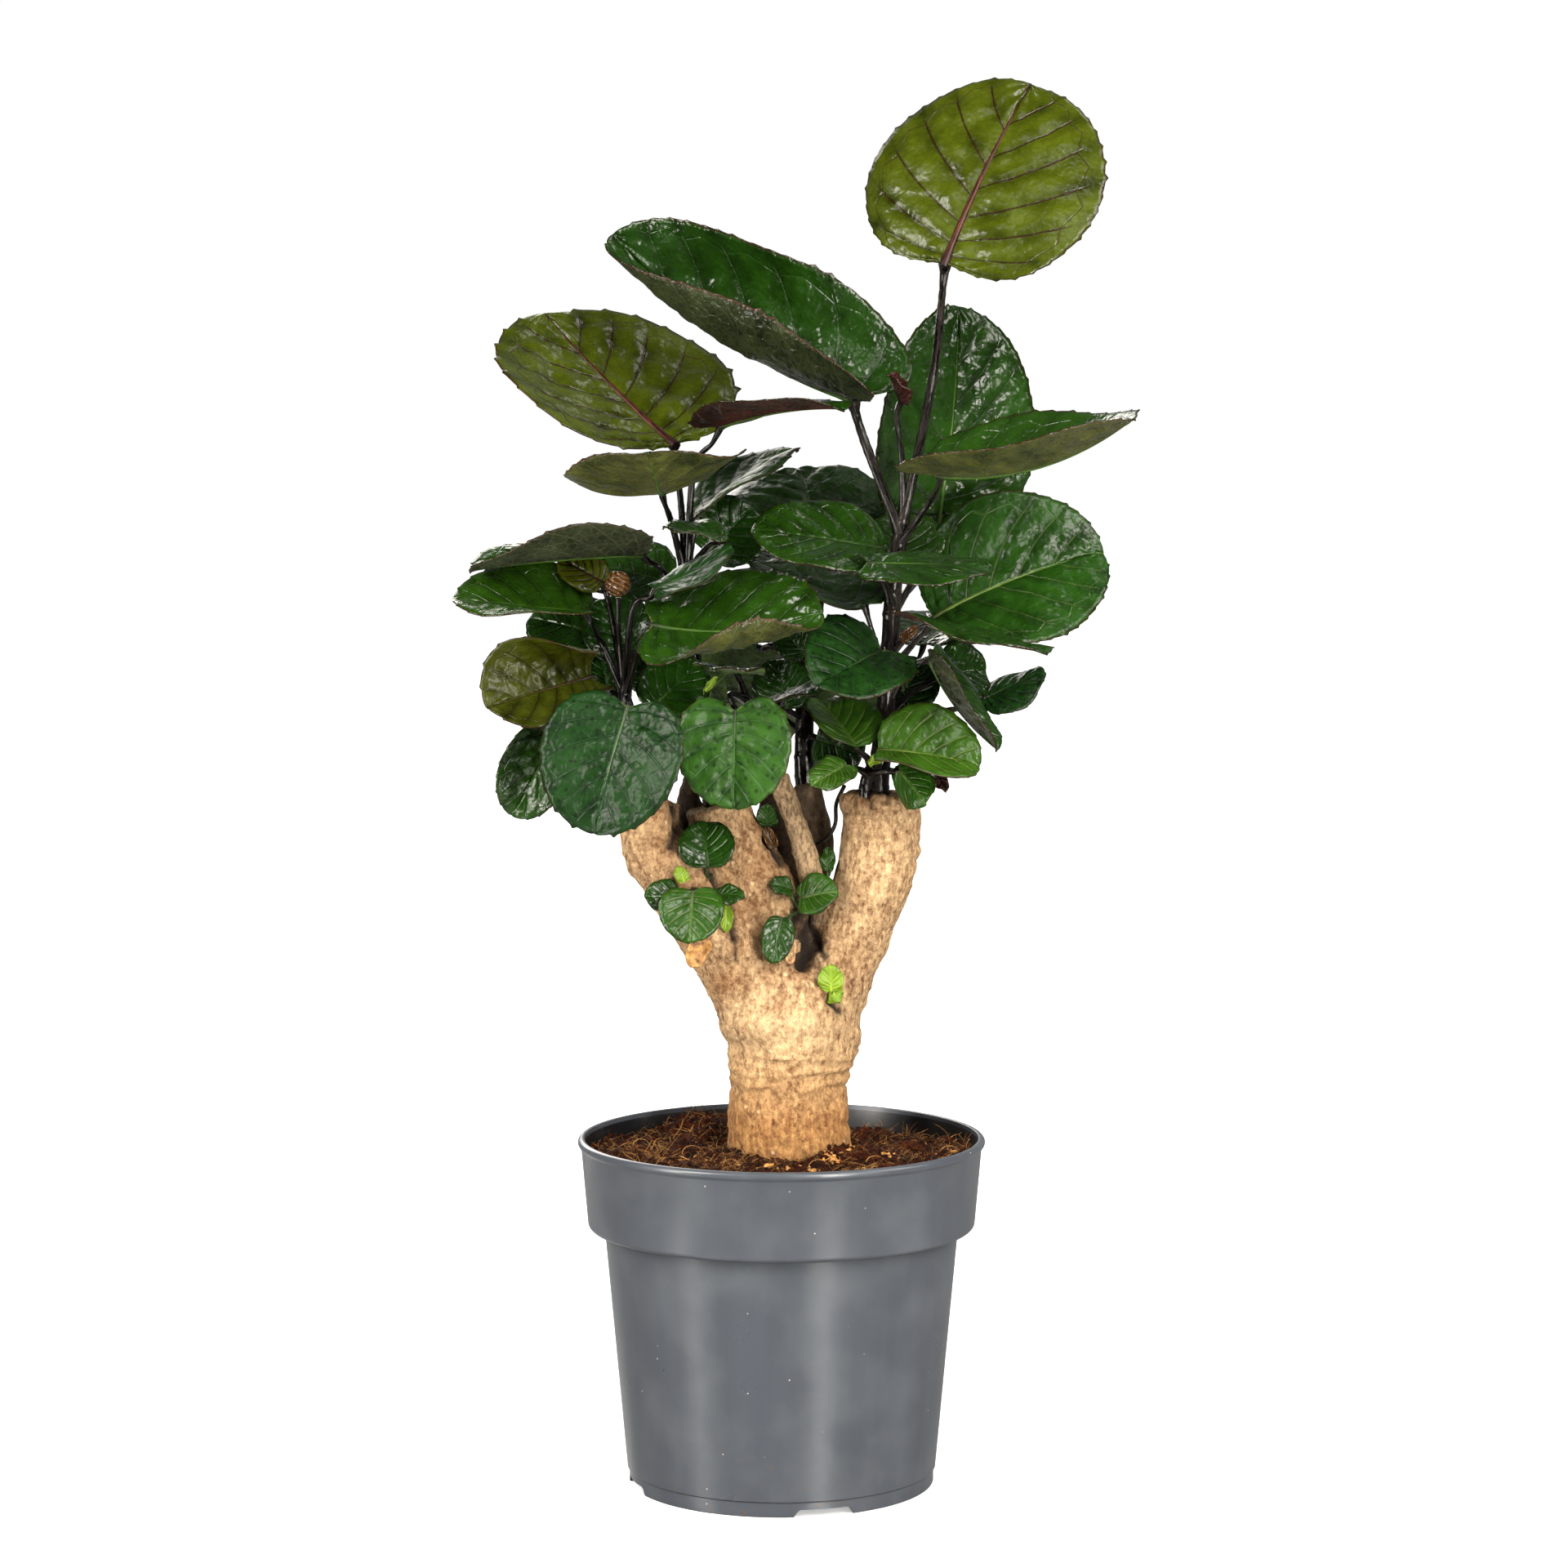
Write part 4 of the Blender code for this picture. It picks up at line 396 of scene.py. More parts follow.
LEAVES = {
    "crown": grown("right", 640, (1141, 470, -14), (1157, 323, -18), (1263, 103), 131, 143,
        (-0.26, -0.91, 0.33), (-1, 4), (-21, -11), 25, 0.07, twist=-2, mat="young", petiole=0.0020,
        look=(2.4, 0.57, "olive", 11.0, 0.35)),
    "left_crown": grown("middle", 700, (833, 610, 0), (825, 545, 2), (667, 384), 133, 149,
        (0.30, -0.58, 0.76), (0, 4), (21, 6), -9, 0.04, twist=-2, close=-0.37, mat="young",
        look=(2.4, 0.55, "grey", 19.0, 1.5)),
    "long_cupped": grown("right", 655, (1066, 560, -6), (1046, 490, -6), (751, 287), 178, 129,
        (0.42, -0.60, 0.68), (29, 11), (92, 75), -40, 0.22, twist=36, close=0.35, petiole=0.0024,
        look=(1.9, 0.36, "bronze", 12.0, 0.9)),
    "flag": grown("middle", 720, (849, 580, -6), (880, 524, -12), (1034, 501), 86, 75,
        (-0.16, 0.13, 0.98), (11, 15), (-2, -5), 20, 0.15, far=False, twist=-3, close=0.25,
        look=(1.2, 0.30, "maroon", 12.0)),
    "bowl": grown("middle", 708, (822, 640, -8), (811, 604, -22), (795, 554), 89, 108,
        (-0.10, 0.46, 0.88), (7, 1), (27, 19), -36, 0.16, far=False, twist=12, close=-0.38,
        look=(2.0, 0.50, "olive", 11.0, 1.2)),
    "small_wing": grown("middle", 715, (848, 660, 8), (853, 634, 12), (974, 551), 77, 61,
        (-0.69, -0.23, 0.69), (1, 25), (32, -39), 18, 0.04, twist=-9, close=0.18, mat="dull",
        look=(1.0, 0.30, "maroon", 10.0)),
    "left_long": grown("middle", 760, (812, 700, 12), (789, 680, 6), (567, 700), 102, 80,
        (-0.01, -0.22, 0.98), (35, 1), (23, -1), 8, 0.11, twist=12, close=-0.52,
        look=(1.5, 0.45, "grey", 11.0)),
    "left_bright": grown("left", 850, (740, 795, -12), (719, 750, -2), (555, 734), 78, 72,
        (-0.02, -0.25, 0.97), (15, 0), (6, 48), 0, 0.11, twist=15, close=-0.60,
        look=(1.2, 0.72, "green", 11.0)),
    "olive_cup": grown("left", 866, (748, 846, 0), (724, 829, -9), (598, 866), 70, 82,
        (-0.45, -0.75, 0.20), (0, 18), (60, 110), 2, 0.12, far=False, twist=-14, close=-0.84,
        mat="olive", look=(1.2, 0.25, "olive", 12.0, 1.6)),
    "front_left": grown("left", 862, (767, 852, -46), (769, 866, -64), (727, 1020), 75, 84,
        (-0.28, -0.93, 0.25), (7, 9), (2, 1), 18, 0.16, far=False, twist=5, close=0.06,
        mat="bloom", look=(0.9, 0.20, "green", 12.0, 1.6)),
    "front_round": grown("cane", 856, (894, 850, -32), (900, 871, -42), (899, 990), 56, 67,
        (-0.10, -0.97, 0.21), (9, 10), (-1, -4), 15, 0.24, far=False, twist=-3, close=-0.02,
        mat="bloom", look=(1.4, 1.95, "green", 12.0, 2.0)),
    "low_left": grown("left", 905, (720, 880, -2), (688, 888, -2), (625, 1001), 60, 48,
        (0.28, -0.92, 0.27), (19, 8), (60, 27), 9, 0.04, far=False, twist=1, close=-0.50,
        look=(1.2, 0.40, "green", 9.0)),
    "big_front": grown("left", 855, (783, 790, -46), (799, 766, -56), (1006, 750), 99, 108,
        (-0.22, -0.48, 0.85), (-2, -5), (0, 105), -38, 0.14, far=False, twist=-20, close=0.84,
        look=(2.2, 0.52, "olive", 14.0, 0.8)),
    "back_wide": grown("back", 700, (1000, 665, 46), (1000, 648, 54), (975, 574), 69, 96,
        (0.10, -0.45, 0.88), (2, 3), (-9, -9), 28, 0.11, twist=8, close=-0.1, mat="dull",
        look=(2.0, 0.36, "green", 12.0, 0.9)),
    "mid_oval": grown("right", 735, (1092, 700, -8), (1082, 672, -12), (919, 649), 77, 67,
        (0.03, -0.54, 0.84), (8, 4), (-5, 9), 6, 0.05, look=(1.2, 0.52, "green", 9.0)),
    "mid_narrow": grown("right", 745, (1082, 712, -32), (1063, 690, -48), (1214, 694), 70, 64,
        (-0.12, -0.37, 0.92), (-2, 3), (-18, 2), 2, 0.15, far=False, twist=3,
        look=(1.3, 0.36, "green", 14.0)),
    "mid_shadow": grown("right", 850, (1072, 790, -8), (1060, 742, -12), (925, 689), 79, 67,
        (0.32, -0.50, 0.80), (9, 5), (18, 7), -3, 0.13, twist=-9, close=-0.14, mat="dull",
        look=(1.2, 0.40, "grey", 12.0)),
    "right_round": grown("right", 800, (1118, 774, 6), (1144, 756, 8), (1351, 677), 108, 107,
        (-0.10, -0.62, 0.78), (16, 16), (18, -20), 24, 0.04, twist=-19, close=0.3, mat="veined",
        look=(1.4, 0.36, "green", 9.0, 1.3)),
    "right_back": grown("right", 760, (1128, 690, 36), (1148, 640, 54), (1174, 368), 129, 105,
        (0.38, -0.88, 0.29), (10, 9), (-2, 4), 24, 0.10, twist=-11, close=-0.06,
        look=(2.0, 0.42, "green", 9.0, 1.0)),
    "right_pointed": grown("right", 672, (1140, 612, -24), (1151, 583, -40), (1389, 512), 129, 106,
        (-0.25, -0.06, 0.97), (11, 15), (38, 17), -40, 0.22, far=False, twist=3, close=-0.3,
        look=(1.4, 0.50, "olive", 13.0, 1.0)),
    "right_thin": grown("right", 822, (1122, 784, -40), (1137, 766, -58), (1283, 799), 78, 68,
        (0.12, 0.01, 0.99), (9, 18), (-15, -24), -8, 0.31, far=False, twist=-5, close=0.5,
        look=(1.2, 0.34, "maroon", 13.0)),
    "mid_notched": grown("right", 830, (1084, 806, -24), (1078, 797, -34), (1001, 839), 55, 66,
        (-0.06, -0.82, 0.57), (9, 10), (17, 1), 5, 0.25, far=False, twist=7, close=-0.07,
        mat="bloom", look=(1.0, 0.42, "green", 12.0)),
    "hanging_grey": grown("right", 862, (1112, 818, -14), (1137, 806, -20), (1227, 926), 67, 52,
        (0.78, -0.16, 0.60), (32, 28), (-20, 10), -30, 0.16, far=False, twist=-6, close=0.2,
        look=(1.4, 0.35, "grey", 9.0)),
    "brown_back": grown("right", 880, (1120, 846, 12), (1156, 826, 18), (1207, 819), 32, 37,
        (-0.28, -0.93, 0.24), (8, 13), (12, 24), 5, 0.08, twist=-12, close=-0.12,
        look=(1.0, 0.25, "grey", 8.0)),
    "small_right": grown("right", 890, (1150, 872, 30), (1203, 856, 34), (1281, 820), 40, 39,
        (-0.11, -0.72, 0.68), (-7, 8), (-35, -18), -8, 0.05, twist=14, close=0.06, mat="bloom",
        look=(1.0, 0.40, "green", 9.0)),
    "dark_left": grown("left", 858, (745, 806, 12), (735, 778, 22), (648, 757), 46, 46,
        (0, -1, 0.6), (6, 6), (-10, -12), 12, 0.10, look=(0.8, 0.25, "green", 10.0)),
    "dark_mid": grown("left", 895, (788, 884, -22), (798, 868, -24), (858, 812), 43, 40,
        (0, -1, 0.55), (4, 4), (-8, -8), 10, 0.08, look=(0.8, 0.22, "green", 10.0)),
    "rising_blue": grown("left", 848, (774, 748, -40), (802, 722, -42), (897, 670), 50, 42,
        (-0.42, -0.52, 0.75), (-1, 11), (-32, 9), -20, 0.10, far=False, twist=-3, close=-0.13,
        mat="bloom", look=(0.8, 0.30, "maroon", 10.0)),
    "small_flat": grown("middle", 702, (868, 668, -14), (888, 657, -30), (810, 645), 36, 36,
        (-0.01, -0.27, 0.96), (6, 7), (9, 9), 1, 0.12, far=False, twist=-9, close=0.07),
    "shade_left": grown("middle", 790, (826, 730, 34), (812, 712, 44), (722, 692), 54, 50,
        (0, -0.8, 0.8), (4, 4), (8, 8), 12, 0.10),
    "shade_bright": grown("cane", 852, (908, 838, -18), (903, 824, -24), (876, 819), 34, 42,
        (0, -0.18, 1), (4, 4), (6, 6), 10, 0.14, far=False, look=(0.8, 0.65, "green", 10.0)),
    "shade_blue": grown("cane", 874, (950, 868, -4), (958, 852, -4), (1000, 846), 34, 46,
        (0, -0.5, 1), (4, 4), (6, 6), 10, 0.14, far=False, mat="bloom"),
    "young_cup": grown("right", 638, (1104, 560, -10), (1104, 494, -10), (1090, 460), 22, 20,
        (0.6, -0.3, 0.7), (24, 24), (50, 50), -10, 0.06, far=False, mat="red",
        look=(0.5, 0.50, "maroon", 5.0)),
    "back_low_left": grown("back", 800, (950, 790, 60), (930, 792, 66), (850, 866), 66, 72,
        (-0.2, 0.75, 0.5)),
    "back_low_right": grown("back", 820, (1010, 800, 58), (1022, 796, 64), (1045, 905), 64, 66,
        (0.2, 0.8, 0.4)),
    "back_middle": grown("back", 740, (985, 715, 50), (968, 700, 54), (920, 660), 62, 74,
        (-0.2, 0.5, 0.85)),
    "back_tall": grown("right", 740, (1135, 690, 62), (1158, 590, 84), (1185, 450), 72, 70,
        (0.3, 0.8, 0.5)),
    "back_right": grown("right", 870, (1112, 825, 34), (1130, 790, 50), (1205, 750), 72, 76,
        (0.3, 0.5, 0.80)),
    "back_left": grown("middle", 850, (820, 815, 34), (795, 795, 46), (700, 780), 64, 66,
        (-0.3, 0.5, 0.80)),
    "back_foot": grown("back", 905, (960, 880, 56), (945, 870, 66), (900, 925), 62, 58,
        (-0.1, 0.7, 0.65), mat="bloom"),
}

# Low spray at the right limb: blades fused with their petioles
SPRAY = [
    dict(start=938, via=(1070, 930, -26), base=(1076, 918, -34), tip=(1203, 938),
        length=59, width=59, far=False, face=(0.17, -0.74, 0.65), fold=(15, 26),
        curl=(19, 26), arch=18, sinus=0.07, twist=-8, close=-0.31),
    dict(start=936, via=(1062, 928, -22), base=(1049, 915, -30), tip=(1003, 858),
        length=46, width=48, far=True, face=(0.40, -0.76, 0.51), fold=(24, 11),
        curl=(1, 27), arch=10, sinus=0.04, twist=0, close=0.08),
    dict(start=948, via=(1052, 942, -26), base=(1036, 938, -38), tip=(995, 962),
        length=26, width=24, far=False, face=(-0.17, -0.82, 0.55), fold=(8, 1),
        curl=(20, 1), arch=8, sinus=0.20, twist=7, close=0.0),
    dict(start=950, via=(1080, 945, -30), base=(1098, 940, -24), tip=(1133, 983),
        length=35, width=28, far=False, face=(-0.26, -0.94, 0.20), fold=(-8, -8),
        curl=(-30, -45), arch=7, sinus=0.04, twist=0, close=-0.75),
]

# Sprigs on the wood: the root's column and row, the skin, then the leaves with base depths
# counted from the root
SPRIGS = {
    "sprig_round": dict(root=(868, 1074), mat="green", leaves=[
        dict(base=(867, 1061, -9), tip=(863, 1006), length=28, width=33, far=True,
            face=(0.0, -0.93, 0.36))]),
    "sprig_left": dict(root=(850, 1088), mat="green", leaves=[
        dict(base=(848, 1092, -12), tip=(845, 1154), length=31, width=38, far=False,
            face=(-0.05, -0.96, 0.28), sinus=0.16),
        dict(base=(833, 1098, -5), tip=(790, 1098), length=21, width=20, far=False,
            face=(-0.1, -0.9, 0.4)),
        dict(base=(876, 1096, -6), tip=(911, 1097), length=17, width=13, far=False,
            face=(0.1, -0.8, 0.6))]),
    "sprout_lime_high": dict(root=(842, 1076), mat="lime", leaves=[
        dict(base=(838, 1079, -6), tip=(829, 1062), length=9.5, width=8, far=False,
            face=(0.0, -0.9, 0.4))]),
    "sprout_lime_side": dict(root=(890, 1104), mat="lime", leaves=[
        dict(base=(889, 1110, -5), tip=(889, 1141), length=15, width=8, far=False,
            face=(0.1, -0.95, 0.3))]),
    "sprig_middle": dict(root=(980, 1118), mat="green", leaves=[
        dict(base=(980, 1100, -10), tip=(1025, 1092), length=24, width=26, far=False,
            face=(0.0, -0.85, 0.5), sinus=0.14),
        dict(base=(970, 1088, -8), tip=(943, 1083), length=14, width=13, far=False,
            face=(0.0, -0.8, 0.6)),
        dict(base=(957, 1124, -20), tip=(946, 1179), length=27, width=19, far=False,
            face=(0.0, -1.0, 0.15))]),
    "sprout_lime_low": dict(root=(1020, 1226), mat="lime", leaves=[
        dict(base=(1018, 1213, -5), tip=(1017, 1182), length=15, width=15, far=False,
            face=(-0.1, -0.95, 0.3)),
        dict(base=(1021, 1216, -5), tip=(1028, 1227), length=6.5, width=6, far=False,
            face=(0.1, -0.95, 0.3))]),
    "sprig_back": dict(root=(1014, 1094), mat="green", leaves=[
        dict(base=(1013, 1066, -3), tip=(1014, 1038), length=14, width=9, far=True,
            face=(-0.1, -0.95, 0.3))]),
}

# Rolled young leaf on the left shoot
BUD = dict(start=850, via=(758, 780, -20), base=(757, 732, -24), height=15, width=14.5)


def blade_marks(add):
    """Marks of a blade: place when flat, tone, way out to the margin, and how far the nearest
    side vein is, in gaps between veins and in mm."""
    blade_at = add("Attribute", out="Vector", attribute_name="blade")
    tone = add("Attribute", out="Fac", attribute_name="tone")
    vein_at = add("Attribute", out="Vector", attribute_name="vein")
    phase, across, gap = add("SeparateXYZ", {0: vein_at}).node.outputs
    near = add("Math", {0: phase, 1: 0.5}, operation="PINGPONG")
    return blade_at, tone, across, near, add("Math", {0: near, 1: gap}, **TIMES)


# Leaf skin, upper face: a living blade under a natural wax film. The eye gets soft broad
# highlights on the pillows between sunken veins, a fine net and a thin dark red margin. The
# pillows' middles are painted lighter and the tissue along the veins darker: painted light and
# shade.
def leaf_skin(name, shades, vein, vein_show, rough, spots=0.0, gloss=1.45, dents=0.0009):
    made, add, shader = new_material(name, IOR=gloss)
    blade_at, tone, across, near, off = blade_marks(add)
    wide = add("SeparateXYZ", {0: blade_at})
    inside = add("MapRange", {0: across, 1: 0.78, 2: 0.90, 3: 1.0, 4: 0.0})
    lateral = add("MapRange", {0: off, 1: 0.15, 2: 0.70, 3: 1.0, 4: 0.0},
                  interpolation_type="SMOOTHSTEP")
    lateral = add("Math", {0: lateral, 1: inside}, **TIMES)
    loop_at = add("Math", {0: near, 1: 0.16, 2: 0.80}, **TIMES_PLUS)
    loop_off = add("Math", {0: across, 1: loop_at}, operation="SUBTRACT")
    loop_off = add("Math", {0: loop_off}, operation="ABSOLUTE")
    loop = add("MapRange", {0: loop_off, 1: 0.002, 2: 0.012, 3: 0.6, 4: 0.0})
    rib_off = add("Math", {0: wide}, operation="ABSOLUTE")
    rib = add("MapRange", {0: rib_off, 1: 0.0005, 2: 0.0013, 3: 1.0, 4: 0.0})
    lines = add("Math", {0: lateral, 1: loop}, operation="MAXIMUM")
    lines = add("Math", {0: lines, 1: rib}, operation="MAXIMUM")
    # The net's cells are about 6 mm, the dents about 5 mm
    stray = add("TexNoise", {"Vector": blade_at, "Scale": 140.0, "Detail": 2.0}, out="Color")
    bent = add("Mix", {0: 0.004, 4: blade_at, 5: stray}, out=1, data_type="VECTOR")
    net = add("TexVoronoi", {"Vector": bent, "Scale": 165.0},
              feature="DISTANCE_TO_EDGE", out="Distance")
    dome = add("MapRange", {0: net, 1: 0.0, 2: 0.45, 3: 0.0, 4: 1.0},
               interpolation_type="SMOOTHERSTEP")
    net = add("MapRange", {0: net, 1: 0.0, 2: 0.11, 3: 1.0, 4: 0.0})
    patch = add("TexNoise", {"Vector": blade_at, "Scale": 55.0, "Detail": 4.0, "Roughness": 0.6})
    colour = add("ValToRGB", {0: patch}, ramp=(
        (0.30, shades[0]), (0.72, shades[2]), (0.50, shades[1])))
    # Painted light and shade: lighter towards the middle of each pillow, darker right along the
    # veins
    pillow_painted_light = add("MapRange", {0: near, 1: 0.05, 2: 0.5, 3: 0.0, 4: 0.55})
    colour = add("Mix", {0: pillow_painted_light, 6: colour, 7: shades[2]}, **TINT)
    vein_painted_shade = add("MapRange", {0: near, 1: 0.0, 2: 0.08, 3: 0.25, 4: 0.0})
    colour = add("Mix", {0: vein_painted_shade, 6: colour, 7: shades[0]}, **TINT)
    faint = add("Math", {0: net, 1: 0.30 * vein_show}, **TIMES)
    colour = add("Mix", {0: faint, 6: colour, 7: shades[0]}, **TINT)
    shown = add("Math", {0: lines, 1: vein_show}, **TIMES)
    colour = add("Mix", {0: shown, 6: colour, 7: vein}, **TINT)
    if spots:
        dots = add("TexVoronoi", {"Vector": blade_at, "Scale": 240.0}, out="Distance")
        dots = add("MapRange", {0: dots, 1: 0.20, 2: 0.36, 3: spots, 4: 0.0})
        colour = add("Mix", {0: dots, 6: colour, 7: shades[0]}, **TINT)
    margin = add("MapRange", {0: across, 1: 0.980, 2: 0.994, 3: 0.0, 4: 0.75})
    colour = add("Mix", {0: margin, 6: colour, 7: "#2c110c"}, **TINT)
    bright = add("MapRange", {0: tone, 1: 0.0, 2: 1.0, 3: 0.52, 4: 1.37}, clamp=False)
    hue = add("MapRange", {0: tone, 1: 0.0, 2: 1.0, 3: 0.515, 4: 0.485})
    colour = add("HueSaturation", {"Hue": hue, "Value": bright, "Color": colour})
    wax = add("MapRange", {0: patch, 1: 0.3, 2: 0.7, 3: rough - 0.05, 4: rough + 0.08})
    relief = add("Math", {0: lines, 1: -0.5}, **TIMES)
    relief = add("Math", {0: dome, 1: 0.22, 2: relief}, **TIMES_PLUS)
    swell = add("TexNoise", {"Vector": blade_at, "Scale": 210.0, "Detail": 1.0})
    relief = add("Math", {0: swell, 1: 1.1, 2: relief}, **TIMES_PLUS)
    bump = add("Bump", {"Height": relief, "Strength": 0.9, "Distance": dents}, out="Normal")
    plug(shader, Base_Color=colour, Roughness=wax, Normal=bump)
    return made


# Leaf skin, under face: duller, with raised veins and a pale net that look silky
def leaf_back(name, shades, vein, rough, net_show=0.2):
    made, add, shader = new_material(name, IOR=1.32, Sheen_Weight=0.02)
    blade_at, tone, across, _, off = blade_marks(add)
    lateral = add("MapRange", {0: off, 1: 0.2, 2: 0.9, 3: 1.0, 4: 0.0},
                  interpolation_type="SMOOTHSTEP")
    net = add("TexVoronoi", {"Vector": blade_at, "Scale": 170.0},
              feature="DISTANCE_TO_EDGE", out="Distance")
    net = add("MapRange", {0: net, 1: 0.0, 2: 0.14, 3: 0.7, 4: 0.0})
    lines = add("Math", {0: lateral, 1: net}, operation="MAXIMUM")
    patch = add("TexNoise", {"Vector": blade_at, "Scale": 50.0, "Detail": 4.0})
    colour = add("ValToRGB", {0: patch}, ramp=(
        (0.32, shades[0]), (0.70, shades[2]), (0.50, shades[1])))
    shown = add("Math", {0: lines, 1: net_show}, **TIMES)
    colour = add("Mix", {0: shown, 6: colour, 7: vein}, **TINT)
    margin = add("MapRange", {0: across, 1: 0.972, 2: 0.990, 3: 0.0, 4: 0.6})
    colour = add("Mix", {0: margin, 6: colour, 7: "#46251f"}, **TINT)
    bright = add("MapRange", {0: tone, 1: 0.0, 2: 1.0, 3: 0.6, 4: 1.4})
    colour = add("HueSaturation", {"Value": bright, "Color": colour})
    wax = add("MapRange", {0: patch, 1: 0.3, 2: 0.7, 3: rough - 0.06, 4: rough + 0.10})
    relief = add("Math", {0: lines, 1: 0.35}, **TIMES)
    swell = add("TexNoise", {"Vector": blade_at, "Scale": 150.0, "Detail": 1.0})
    relief = add("Math", {0: swell, 1: 2.4, 2: relief}, **TIMES_PLUS)
    bump = add("Bump", {"Height": relief, "Strength": 0.8, "Distance": 0.0012}, out="Normal")
    plug(shader, Base_Color=colour, Roughness=wax, Normal=bump)
    return made


SKINS = {
    "young": leaf_skin(
        "young_yellow_green_leaf_wax", ("#1d2401", "#303a01", "#465203"), "#240806", 0.85, 0.27,
        gloss=1.38, dents=0.0006),
    "green": leaf_skin(
        "glossy_dark_green_leaf_wax", ("#0b1a03", "#132b04", "#214308"), "#3f6a22", 0.14, 0.23,
        gloss=1.41),
    "dull": leaf_skin(
        "dull_shaded_green_leaf_wax", ("#0c1a04", "#162b08", "#24440f"), "#3f5a22", 0.14, 0.40,
        gloss=1.28),
    "veined": leaf_skin(
        "pale_veined_green_leaf_wax", ("#0a1c03", "#143005", "#264e0b"), "#6f8a3e", 0.20, 0.31,
        gloss=1.36),
    "bloom": leaf_skin(
        "dusty_blue_green_leaf_wax", ("#091a08", "#11280c", "#1c4010"), "#3f6a3c", 0.12, 0.36,
        spots=0.75, gloss=1.30),
    "olive": leaf_skin(
        "olive_young_leaf_wax", ("#181c02", "#2c3205", "#434808"), "#2a1408", 0.35, 0.29,
        gloss=1.28),
    "lime": leaf_skin(
        "fresh_lime_sprout_skin", ("#456408", "#63860c", "#88a41a"), "#a4be44", 0.25, 0.34),
    "red": leaf_skin(
        "dark_red_young_leaf_skin", ("#120504", "#240a08", "#43170f"), "#1c0a07", 0.5, 0.26),
    "brown": leaf_skin(
        "curled_brown_young_leaf_skin", ("#1c0d05", "#3a220e", "#66451e"), "#1c0a07", 0.5, 0.20),
}
BACKS = {
    "bronze": leaf_back(
        "bronze_leaf_underside", ("#0f1406", "#1b230b", "#2f381a"), "#454a2c", 0.30, 0.3),
    "olive": leaf_back(
        "olive_leaf_underside", ("#20250a", "#373b12", "#4f5222"), "#5e6030", 0.32),
    "green": leaf_back(
        "green_leaf_underside", ("#182808", "#2a4412", "#4a642c"), "#5f7a40", 0.44),
    "grey": leaf_back(
        "grey_brown_leaf_underside", ("#12150a", "#222914", "#384027"), "#545840", 0.36, 0.45),
    "maroon": leaf_back(
        "maroon_leaf_underside", ("#180a09", "#2c1210", "#4c251e"), "#5a322a", 0.34),
}


# Midrib and sprout stalk skins: living tissue, smooth, dark red or pale yellow-green
def rib_skin(name, low, high, rough, foot_show=0.9):
    made, add, shader = new_material(name, IOR=1.36)
    grain = add("Attribute", out="Vector", attribute_name="grain")
    placed = add("VectorMath", {0: grain, 1: (8.0, 120.0, 1.0)}, **TIMES)
    streak = add("TexNoise", {"Vector": placed, "Scale": 1.0, "Detail": 4.0})
    colour = add("ValToRGB", {0: streak}, ramp=((0.35, low), (0.68, high)))
    run = add("SeparateXYZ", {0: grain}).node.outputs[1]
    foot = add("MapRange", {0: run, 1: 0.0, 2: 0.014, 3: foot_show, 4: 0.0})
    colour = add("Mix", {0: foot, 6: colour, 7: "#140d10"}, **TINT)
    gloss = add("MapRange", {0: streak, 1: 0.3, 2: 0.7, 3: rough - 0.05, 4: rough + 0.1})
    bump = add("Bump", {"Height": streak, "Strength": 0.3, "Distance": 0.0003}, out="Normal")
    plug(shader, Base_Color=colour, Roughness=gloss, Normal=bump)
    return made


RIBS = {
    "young": rib_skin("maroon_midrib", "#230a07", "#54261a", 0.32),
    "green": rib_skin("pale_green_midrib", "#25440f", "#4f6e28", 0.32),
    "dull": rib_skin("dark_green_midrib", "#1e3410", "#3c5622", 0.38),
    "veined": rib_skin("yellow_green_midrib", "#41601e", "#82964a", 0.34),
    "olive": rib_skin("brown_olive_midrib", "#2c1a0a", "#4e3a18", 0.36),
    "bloom": rib_skin("pale_blue_green_midrib", "#2a3f1e", "#4c6a38", 0.36),
    "lime": rib_skin("lime_sprout_stalk", "#66840f", "#93ad2c", 0.40, 0.0),
    "brown": rib_skin("brown_young_leaf_rib", "#2a120c", "#5a3420", 0.36),
    "red": rib_skin("dark_red_young_leaf_rib", "#1a0806", "#3a140e", 0.32),
}


# Stem skin: dark purple, smooth and glossy, with pale cork streaks along it
def stem_skin():
    made, add, shader = new_material("dark_purple_stem_skin", IOR=1.33)
    grain = add("Attribute", out="Vector", attribute_name="grain")
    tone = add("SeparateXYZ", {0: grain}).node.outputs[2]
    placed = add("VectorMath", {0: grain, 1: (9.0, 55.0, 1.0)}, **TIMES)
    streak = add("TexNoise", {"Vector": placed, "Scale": 1.0, "Detail": 6.0, "Roughness": 0.62})
    fine = add("VectorMath", {0: grain, 1: (30.0, 160.0, 3.0)}, **TIMES)
    cork = add("TexNoise", {"Vector": fine, "Scale": 1.0, "Detail": 3.0})
    shift = add("Math", {0: tone, 1: 0.30, 2: -0.15}, **TIMES_PLUS)
    level = add("Math", {0: streak, 1: shift}, operation="ADD")
    colour = add("ValToRGB", {0: level}, ramp=(
        (0.40, "#030202"), (0.88, "#4a433f"), (0.58, "#090608"), (0.72, "#141013")))
    specks = add("MapRange", {0: cork, 1: 0.68, 2: 0.76, 3: 0.0, 4: 0.4})
    colour = add("Mix", {0: specks, 6: colour, 7: "#a2968a"}, **TINT)
    gloss = add("MapRange", {0: streak, 1: 0.35, 2: 0.7, 3: 0.09, 4: 0.20})
    bump = add("Bump", {"Height": streak, "Strength": 0.5, "Distance": 0.0006}, out="Normal")
    plug(shader, Base_Color=colour, Roughness=gloss, Normal=bump)
    return made


BARK_MARKS = ("cleft_shade", "grey", "shade", "pale_highlight", "stain_and_shade")
